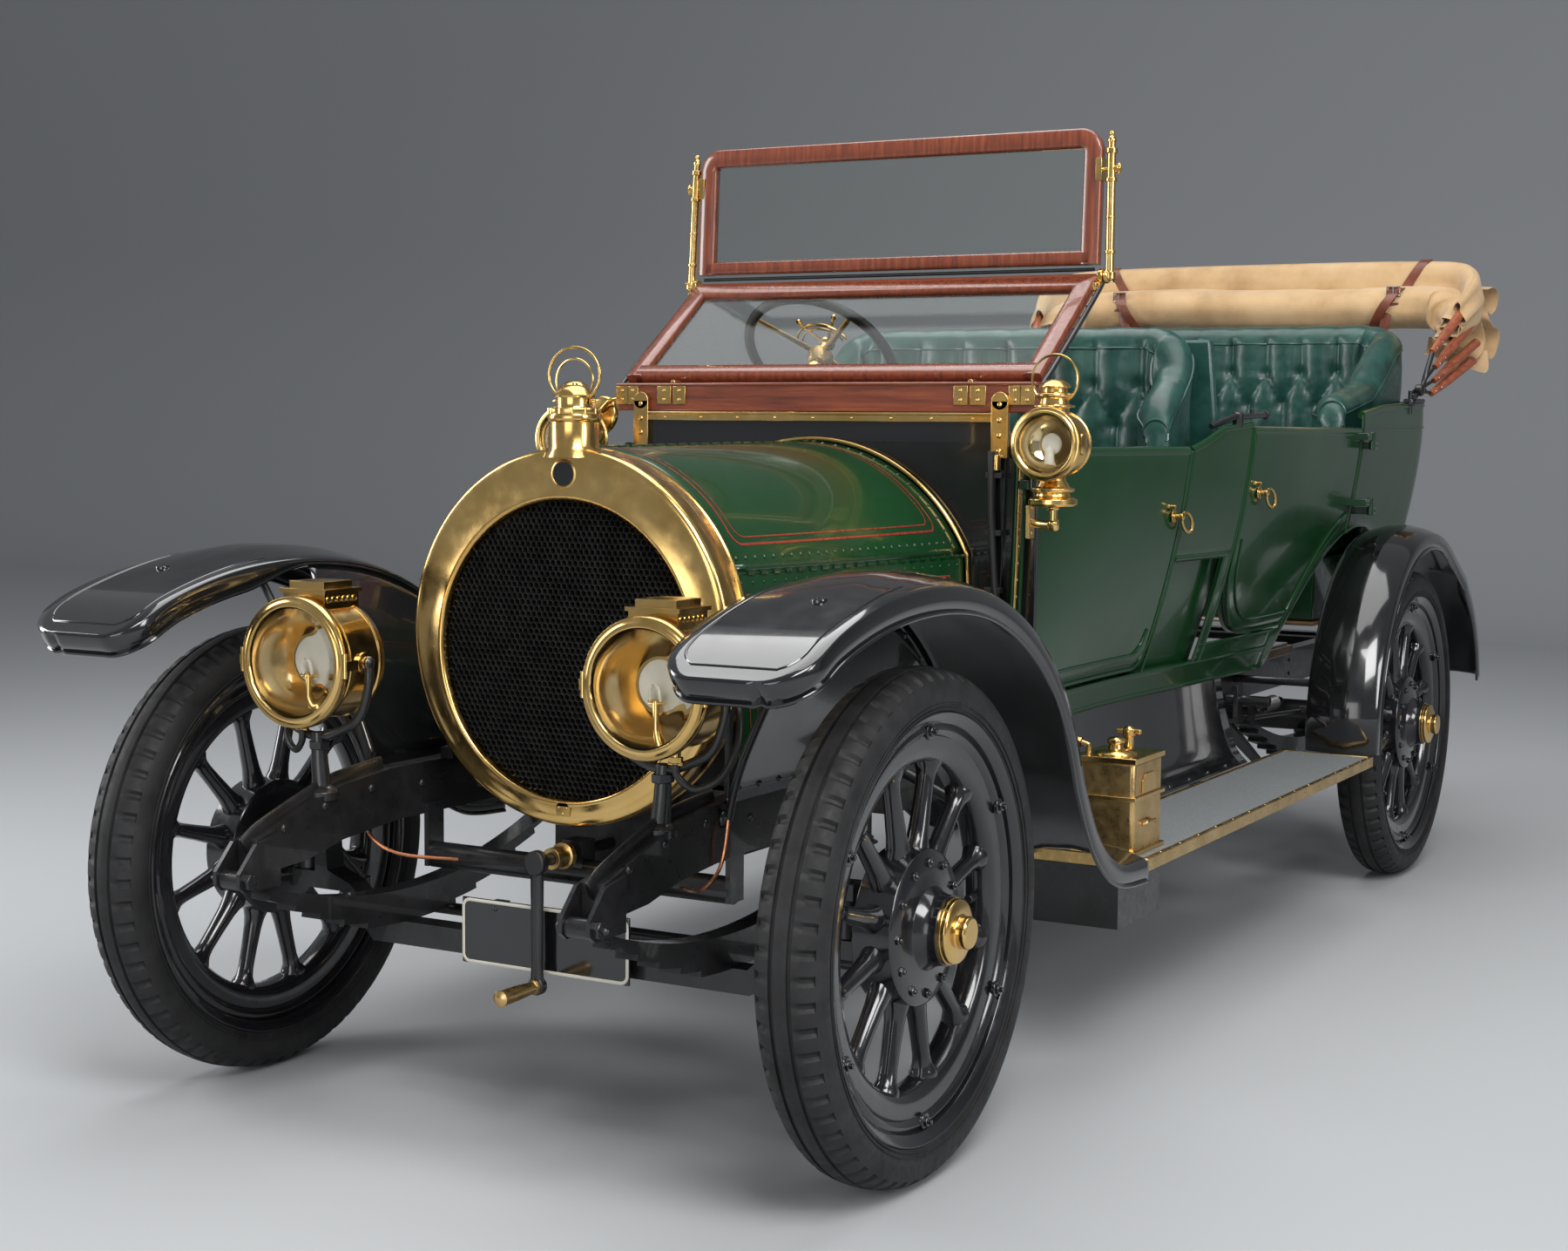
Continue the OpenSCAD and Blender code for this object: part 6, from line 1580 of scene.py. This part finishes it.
def seat_back(name, y_arm, y_back, half, round_r, rise, low, thick, puff, replaces=()):
    """A buttoned back that wraps round the seat into its arms, with a rolled top."""
    half_plan = [(half, y, 1, 0) for y in span(y_arm, y_back - round_r, 30)]
    half_plan += [(half - round_r + round_r * math.cos(a), y_back - round_r + round_r * math.sin(a),
                   math.cos(a), math.sin(a)) for a in (math.radians(q) for q in span(4, 90, 22))]
    half_plan += [(x, y_back, 0, 1) for x in span(half - round_r, 0, 34)[1:]]
    plan = half_plan + [(-x, y, -nx, ny) for x, y, nx, ny in reversed(half_plan[:-1])]
    walked = [0.0]
    for p, q in zip(plan, plan[1:]):
        walked.append(walked[-1] + math.hypot(q[0] - p[0], q[1] - p[1]))
    length = walked[-1]
    rows, buttons = [], Build()
    cells = round(length / TUFT_W / 2) * 2
    for (x, y, nx, ny), s in zip(plan, walked):
        end = min(1, min(s, length - s) / 60)
        top = lookup(y, rise) - (1 - math.sqrt(max(0, 1 - (1 - end) ** 2))) * 46
        t = thick * (0.72 + 0.28 * smooth(end))
        a = s / length * cells
        ring_pts = []

        def at(back, z):
            return Vector((x - nx * back, y - ny * back, z))

        for z in span(low, top - t / 2, 8):
            ring_pts.append(at(1 + 3 * math.sin(z / 40), z))
        for q in span(0, 180, 14)[1:-1]:
            c, sn = cos_sin(q)
            pleat = 1 + 0.08 * (abs(math.sin(math.pi * a)) ** 0.5 - 0.6)
            ring_pts.append(at(t / 2 - t / 2 * c * pleat, top - t / 2 + t / 2 * sn * pleat))
        inner_top = top - t / 2 - 6
        for z in span(inner_top, low, 56):
            drop = inner_top - z
            h = tuft(a, drop)
            for row, shift in ((ROW_UP, 0), (ROW_LOW, 0.5)):
                near = math.hypot((a - shift - round(a - shift)) * TUFT_W, drop - row)
                h -= 0.35 * math.exp(-(near / 16) ** 2)
            swell = (h - 0.4) * puff * (0.5 + 0.5 * end)
            ring_pts.append(at(t - 8 + swell + wrinkle((s, z, low), 2.2) * h, z))
        rows.append(ring_pts)
    b = Build().grid(rows, close_v=True, caps=True)
    o = b.make(name, LEATHER, "chassis", "green_leather", sharp=180, replaces=replaces)
    for row, shift in ((ROW_UP, 0), (ROW_LOW, 0.5)):
        for i in range(1, cells):
            s = length * (i + shift) / cells
            k = min(range(len(walked)), key=lambda j: abs(walked[j] - s))
            x, y, nx, ny = plan[k]
            z = lookup(y, rise) - thick / 2 - 6 - row
            if z > low + 20 and 70 < s < length - 70:
                back = thick - 8 - 0.66 * puff
                buttons.dome((x - nx * back, y - ny * back, z), (-nx, -ny, 0), 8.5, 6, 14)
    buttons.make(name + "_buttons", LEATHER, "chassis", "green_leather")
    piping = Build()
    piping.tube([r[8] for r in rows], 4, 8)
    piping.tube([r[22] for r in rows], 3.2, 8)
    for r in (rows[1], rows[-2]):
        piping.tube(r[6:26], 4, 8)
    piping.make(name + "_piping", LEATHER, "chassis", "green_leather")


FRONT_RISE = [(1800, 1330), (1900, 1400), (2000, 1505), (2060, 1530)]
REAR_RISE = [(3090, 1372), (3400, 1420), (3650, 1560), (3860, 1610)]
seat_back("front_seat_back", 1792, 2060, 506, 130, FRONT_RISE, 1046, 92, 26, ["seat_backs"])
seat_back("rear_seat_back", 3085, 3850, 562, 160, REAR_RISE, 1046, 100, 28)


def cushion(name, x_half, y0, y1, z0, z1, replaces=()):
    """A sprung seat cushion: blown up as cloth, then buttoned on its top."""
    b = Build()
    rows = []
    for z, grow in ((z0, -10), (z0 + 8, 0), ((z0 + z1) / 2, 2), (z1 - 34, 0), (z1 - 14, -14)):
        line = []
        for sx, sy, a0 in CORNERS:
            for a in span(a0, a0 + 90, 5):
                c, r = math.radians(a), 40 + grow
                line.append((sx * (x_half - 46) + r * math.cos(c),
                             (y0 + y1) / 2 + sy * ((y1 - y0) / 2 - 46) + r * math.sin(c), z))
        rows.append(line)
    b.grid(rows, close_v=True, caps=True)
    o = b.make(name, LEATHER, "chassis", "green_leather", sharp=180, replaces=replaces)
    view = bpy.context.view_layer
    view.objects.active = o
    o.select_set(True)
    o.data.remesh_voxel_size = 0.009
    bpy.ops.object.voxel_remesh()
    start = [v.co.copy() for v in o.data.vertices]
    cloth = o.modifiers.new("cloth", "CLOTH")
    cloth.settings.quality = 4
    cloth.settings.use_pressure = True
    cloth.settings.uniform_pressure_force = 4
    cloth.settings.effector_weights.gravity = 0
    cloth.point_cache.frame_end = 14
    for f in range(1, 15):
        bpy.context.scene.frame_set(f)
    shape = o.evaluated_get(view.depsgraph).data
    moved = [v.co.copy() for v in shape.vertices]
    o.modifiers.remove(cloth)
    bpy.context.scene.frame_set(1)
    for v, p0, p1 in zip(o.data.vertices, start, moved):
        d = p1 - p0
        if d.length > 0.016:
            d *= 0.016 / d.length
        v.co = p0 + d
    floor_z = P(0, 0, z0 + 1).z
    for v in o.data.vertices:
        x, y, z = v.co.x * 1000, v.co.y * 1000 + ORIGIN_Y, v.co.z * 1000
        up = smooth((z - (z1 - 40)) / 20)
        inside = smooth(min(x_half - 30 - abs(x), y - y0 - 60, y1 - 30 - y) / 40)
        h = tuft(x / 130 / 2 + 0.25, (y - y0) / 118 / 2)
        v.co.z += (up * ((inside * (h - 1) * 22) + 12 * inside + wrinkle((x, y, z), 1.6))) / 1000
        v.co.z = max(v.co.z, floor_z)
    o.data.shade_smooth()
    d = o.modifiers.new("smooth", "SMOOTH")
    d.factor, d.iterations = 0.5, 2
    o.select_set(False)
    pipe = Build()
    loop = []
    for sx, sy, a0 in CORNERS:
        for a in span(a0, a0 + 90, 6):
            loop.append((sx * (x_half - 44) + 46 * math.cos(math.radians(a)),
                         (y0 + y1) / 2 + sy * ((y1 - y0) / 2 - 44) + 46 * math.sin(math.radians(a)), z1 - 26))
    pipe.tube(loop, 4.5, 8, closed=True)
    pipe.make(name + "_piping", LEATHER, "chassis", "green_leather")


cushion("front_seat_cushion", 420, 1560, 1985, 906, 1040, ["seat_cushions"])
cushion("rear_seat_cushion", 470, 3125, 3740, 906, 1040)
base = Build()
base.prism([(-392, 1580, 655), (392, 1580, 655), (392, 1580, 705), (436, 1580, 905), (-436, 1580, 905),
            (-392, 1580, 705)], (0, 480, 0))
base.box((-470, 3150, 722), (470, 3700, 905))
base.make("seat_boxes", GREEN_TRIM, "chassis", "green_leather", bevel=6, replaces=["seat_base"])
shell_rows = [(400, 700), (484, 960), (492, 1000), (534, 1250), (512, 1500)]
shell = Build()
shell.prism([(w, 2064, z) for w, z in shell_rows] + [(-w, 2064, z) for w, z in reversed(shell_rows)],
            (0, 27, 0))
shell.make("front_seat_panel", LEATHER, "chassis", "green_leather", bevel=8)

# ---------------------------------------------------------------- folded hood

HOOD_TOP = [(0, 4112, 1826), (300, 4108, 1825), (540, 4086, 1820), (668, 4030, 1806), (716, 3950, 1772),
            (716, 3880, 1724), (700, 3820, 1676)]
# The canvas in section: across (towards the inside of the hood) and up, from the front hem
# over the last bow, down the back, and round the folds below it
FOLDS = [(34, -82), (32, -46), (22, -14), (0, 0), (-18, -14), (-28, -56), (-30, -112), (-22, -168),
         (10, -202), (62, -214), (116, -200), (142, -164), (140, -126), (112, -98), (70, -84), (30, -80),
         (2, -96), (0, -132), (34, -166), (84, -168), (104, -140), (70, -116), (26, -122)]

half_top = curve(HOOD_TOP, 10)
hood_line = [Vector((-p.x, p.y, p.z)) for p in reversed(half_top)] + half_top[1:]
section = curve([(a, b, 0) for a, b in FOLDS], 4)


def hood_frame(i):
    """Direction towards the inside of the hood at one point of its top line."""
    t = unit(hood_line[min(i + 1, len(hood_line) - 1)] - hood_line[max(i - 1, 0)])
    return unit(Vector((-t.y, t.x, 0))) if abs(t.x) + abs(t.y) > 1e-6 else Vector((0, -1, 0))


def hood_point(i, a, b):
    """A point of the canvas: a is across and b is up from one point of the hood's top line."""
    p = hood_line[i]
    inward = hood_frame(i)
    if inward.dot(Vector((0, 3600, 0)) - Vector((p.x, p.y, 0))) < 0:
        inward = -inward
    end = min(1, min(i, len(hood_line) - 1 - i) / 26)
    scale = 0.52 + 0.48 * smooth(end)
    sag = 9 * math.sin(p.x / 190.0 + 0.6) * min(1, max(0, -b / 120))
    q = p + inward * (a * scale) + Vector((0, 0, b * (0.62 + 0.38 * smooth(end)) - sag * smooth(end)))
    n = noise.noise(Vector((p.x / 210, a / 60, b / 60))) * 9
    n += noise.noise(Vector((p.x / 60, a / 45, b / 45))) * 4.5
    n += (1 - smooth(end)) * 12 * math.sin(a / 11.0 + b / 17.0)
    depth = min(1, max(0, (-b - 20) / 60))
    return q + inward * (n * depth) + Vector((0, 0, n * 0.5 * depth))


canvas = Build().grid([[hood_point(i, s.x, s.y) for s in section] for i in range(len(hood_line))])
hood = canvas.make("hood_canvas", CANVAS, "chassis", "tan_canvas", sharp=180, solid=2.4,
                   replaces=["hood_bundle"])


hem = Build().tube([hood_point(i, 34, -82) for i in range(len(hood_line))], 3.2, 8)
hem.tube([hood_point(i, 0, 1) for i in range(len(hood_line))], 2.8, 8)
hem.make("hood_hems", CANVAS, "chassis", "tan_canvas")

LOOP = [(4040, 1728), (4100, 1738), (4152, 1716), (4168, 1676), (4140, 1652), (4096, 1662), (4088, 1640),
        (4120, 1612), (4176, 1604), (4206, 1566), (4186, 1520), (4128, 1512), (4084, 1536), (4064, 1500),
        (4040, 1474), (4004, 1462)]
INNER_LOOP = [(4000, 1640), (4040, 1600), (4052, 1556), (4030, 1520), (3984, 1500), (3944, 1504),
              (3930, 1530)]
for sign, side in SIDES:
    for label, loop, x0, x1 in (("folds", LOOP, 560, 742), ("flap", INNER_LOOP, 600, 726)):
        line = curve([(0, y, z) for y, z in loop], 6)
        rows = []
        for t in span(0, 1, 14):
            row = []
            for k, p in enumerate(line):
                w = 1 - 0.22 * (1 - t)
                c = Vector((0, 4080, 1620))
                q = c + (p - c) * w
                ripple = 5 * noise.noise(Vector((t * 2.5, k / 7, sign)))
                row.append((lerp(x0, x1, t) + 10 * math.sin(k / 6) * t, q.y - 40 * (1 - t) + ripple,
                            q.z + ripple + 26 * (1 - t)))
            rows.append(row)
        part = Build().grid(rows)
        o = mirrored(part, sign).make(f"hood_{label}_{side}", CANVAS, "chassis", "tan_canvas", sharp=180,
                                      solid=2.4, subdivide=1)

BOWS = [((664, 3668, 1520), (752, 3990, 1760)), ((668, 3690, 1474), (756, 4050, 1700)),
        ((668, 3684, 1432), (756, 4080, 1612)), ((664, 3668, 1392), (750, 4060, 1548))]
for sign, side in SIDES:
    bows, irons, ends = Build(), Build(), Build()
    for a, b in BOWS:
        a, b = Vector(a), Vector(b)
        bows.tube([a.lerp(b, t) for t in span(0, 0.7, 8)], lambda t: 10 + 5 * min(1, t * 3), 14, flat=0.8)
        ends.dome(a + (b - a) * 0.04 + Vector((9, 0, 2)), (1, 0, 0), 4, 3)
        ends.dome(a + (b - a) * 0.12 + Vector((11, 0, 2)), (1, 0, 0), 4, 3)
    mirrored(bows, sign).make(f"hood_bows_{side}", ASH, "chassis", "ash_wood",
                              replaces=["hood_sticks"] if sign > 0 else ())
    irons.tube(curve([(640, 3560, 1372), (640, 3600, 1392), (646, 3632, 1408), (654, 3640, 1450),
                      (664, 3676, 1522)], 6), 8, 12)
    for a, _ in BOWS[1:]:
        irons.tube([(646, 3610, 1402), (654, 3640, (1402 + a[2]) / 2),
                    tuple(Vector(a) + Vector((0, 8, 4)))], 5.5, 10)
    irons.lathe((634, 3604, 1402), (1, 0, 0), [(0, 0), (16, 0), (18, 4), (18, 20), (14, 24), (0, 26)], 24)
    irons.tube([(626, 3520, 1369), (628, 3720, 1371)], 7, 12)
    irons.tube([(630, 3560, 1330), (630, 3560, 1400)], 7, 12)
    irons.lathe((630, 3560, 1356), (0, 0, 1), [(0, 0), (14, 0), (16, 6), (14, 18), (0, 20)], 20)
    irons.tube([(634, 3590, 1398), (634, 3700, 1402)], 7.5, 12)
    irons.dome((634, 3704, 1402), (0, 1, 0), 9, 8)
    # Rest for the hood above the post before the rear door
    irons.tube(curve([(575, 1900, 1286), (590, 1960, 1300), (602, 2000, 1310), (610, 2060, 1312),
                      (616, 2190, 1316)], 6), 7.5, 12)
    irons.lathe((604, 2016, 1292), (0, 0, 1), [(0, -8), (12, -6), (14, 4), (14, 26), (9, 30), (0, 31)], 20)
    irons.lathe((616, 2186, 1316), (0, 1, 0.02), [(0, 0), (10, 0), (12, 5), (10, 12), (0, 14)], 18)
    irons.tube([(611, 2100, 1314), (611, 2100, 1330)], 5, 10)
    mirrored(irons, sign).make(f"hood_irons_{side}", CHASSIS, "chassis", "chassis_black", bevel=0.6)
    mirrored(ends, sign).make(f"hood_bow_rivets_{side}", STEEL, "chassis")

STRAP_LOOP = [(0, 7), (26, -6), (40, -40), (44, -84), (82, -86), (124, -96), (152, -130), (152, -166),
              (122, -208), (62, -224), (4, -210), (-32, -172), (-38, -112), (-36, -56), (-22, -8)]
for x_at in (-470, 470):
    k = min(range(len(hood_line)), key=lambda j: abs(hood_line[j].x - x_at))
    p = hood_line[k]
    loop = curve([(0, p.y - a, p.z + b) for a, b in STRAP_LOOP] + [(0, p.y, p.z + 7)], 5)
    rows = []
    for q in loop:
        lean = (60 - 0.62 * (p.z - q.z)) * (1 if x_at > 0 else -1)
        rows.append([Vector((x_at + lean + w, q.y, q.z)) for w in (-17, -15, 15, 17)])
    b = Build().grid(rows)
    tail = [Vector((x_at - (8 + 30 * t) * (1 if x_at > 0 else -1), p.y - 128 - 6 * math.sin(t * 3),
                    p.z - 88 - 150 * t))
            for t in span(0, 1, 10)]
    b.grid([[q + Vector((w * (1 if i < 10 else 0.5), -6, 0)) for w in (-15, 15)] for i, q in enumerate(tail)])
    side = "left" if x_at > 0 else "right"
    b.make(f"hood_strap_{side}", STRAP, "chassis", solid=3.2, bevel=0.8)
    buckle = Build()
    c = Vector((x_at - 6 * (1 if x_at > 0 else -1), p.y - 137, p.z - 100))
    buckle.tube([c + Vector((x, 0, z)) for x, z in ((-21, -14), (21, -14), (21, 14), (-21, 14))], 3, 8,
                closed=True)
    buckle.tube([c + Vector((0, 0, -14)), c + Vector((0, -4, 14))], 2.4, 8)
    buckle.make(f"hood_buckle_{side}", STEEL, "chassis")
    keeper = Build().box(c + Vector((-19, -6, -48)), c + Vector((19, 3, -36)))
    keeper.make(f"hood_strap_keeper_{side}", STRAP, "chassis", bevel=1)

# ---------------------------------------------------------------- floor, light, camera

floor_mesh = bpy.data.meshes.new("studio_floor")
rows, width, depth = [], 30.0, 9.0
profile = [(-9.0, 0.0), (depth, 0.0)]
for a in span(0, 90, 12):
    r = 3.0
    profile.append((depth + r * math.sin(math.radians(a)), r * (1 - math.cos(math.radians(a)))))
profile.append((depth + 3.0, 14.0))
verts = [(x, y, z) for y, z in profile for x in (-width, width)]
faces = [(2 * i, 2 * i + 1, 2 * i + 3, 2 * i + 2) for i in range(len(profile) - 1)]
floor_mesh.from_pydata(verts, [], faces)
floor_mesh.shade_smooth()
studio = bpy.data.objects.new("studio_floor", floor_mesh)
bpy.context.scene.collection.objects.link(studio)
pale, nt, b = new_material("studio_pale", (0.40, 0.41, 0.42), 0.9)
floor_mesh.materials.append(pale)

world = bpy.data.worlds.new("studio")
bpy.context.scene.world = world
world.use_nodes = True
bg = world.node_tree.nodes["Background"]
bg.inputs["Color"].default_value = (0.62, 0.64, 0.67, 1)
bg.inputs["Strength"].default_value = 0.42


def area_light(name, at, target, size, power, size_y=None):
    light = bpy.data.lights.new(name, "AREA")
    light.energy = power
    light.shape = "RECTANGLE"
    light.size, light.size_y = size, size_y or size
    o = bpy.data.objects.new(name, light)
    o.location = Vector(at)
    o.rotation_euler = (Vector(target) - Vector(at)).to_track_quat("-Z", "Y").to_euler()
    bpy.context.scene.collection.objects.link(o)


area_light("key", (3.5, -4.5, 5.5), (0, -0.5, 0.6), 3.0, 330)
area_light("top", (-0.5, 0.3, 6.2), (0, 0, 0.6), 4.5, 260, 6.0)
area_light("left_strip", (6.5, -2.6, 3.2), (0, 0.2, 0.8), 1.6, 150, 3.0)
area_light("right_strip", (-5.0, -3.0, 2.6), (0, -1.2, 0.7), 1.6, 160, 4.0)
area_light("front_low", (0.6, -7.0, 1.2), (0, -1.5, 0.7), 3.0, 70)

camera = bpy.data.cameras.new("photo_view")
camera.sensor_width = 36
camera.lens = 52.6
eye = bpy.data.objects.new("photo_view", camera)
yaw, pitch, roll = (math.radians(a) for a in (29.39, 4.99, 0.47))
ahead = Vector((-math.sin(yaw) * math.cos(pitch), math.cos(yaw) * math.cos(pitch), -math.sin(pitch)))
right = Vector((math.cos(yaw), math.sin(yaw), 0))
up = right.cross(ahead)
right_r = right * math.cos(roll) + up * math.sin(roll)
up_r = up * math.cos(roll) - right * math.sin(roll)
turn = Matrix((right_r, up_r, -ahead)).transposed().to_4x4()
eye.matrix_world = Matrix.Translation(P(2400, -3428, 1280)) @ turn
bpy.context.scene.collection.objects.link(eye)
bpy.context.scene.camera = eye

scene = bpy.context.scene
scene.view_settings.view_transform = "Standard"
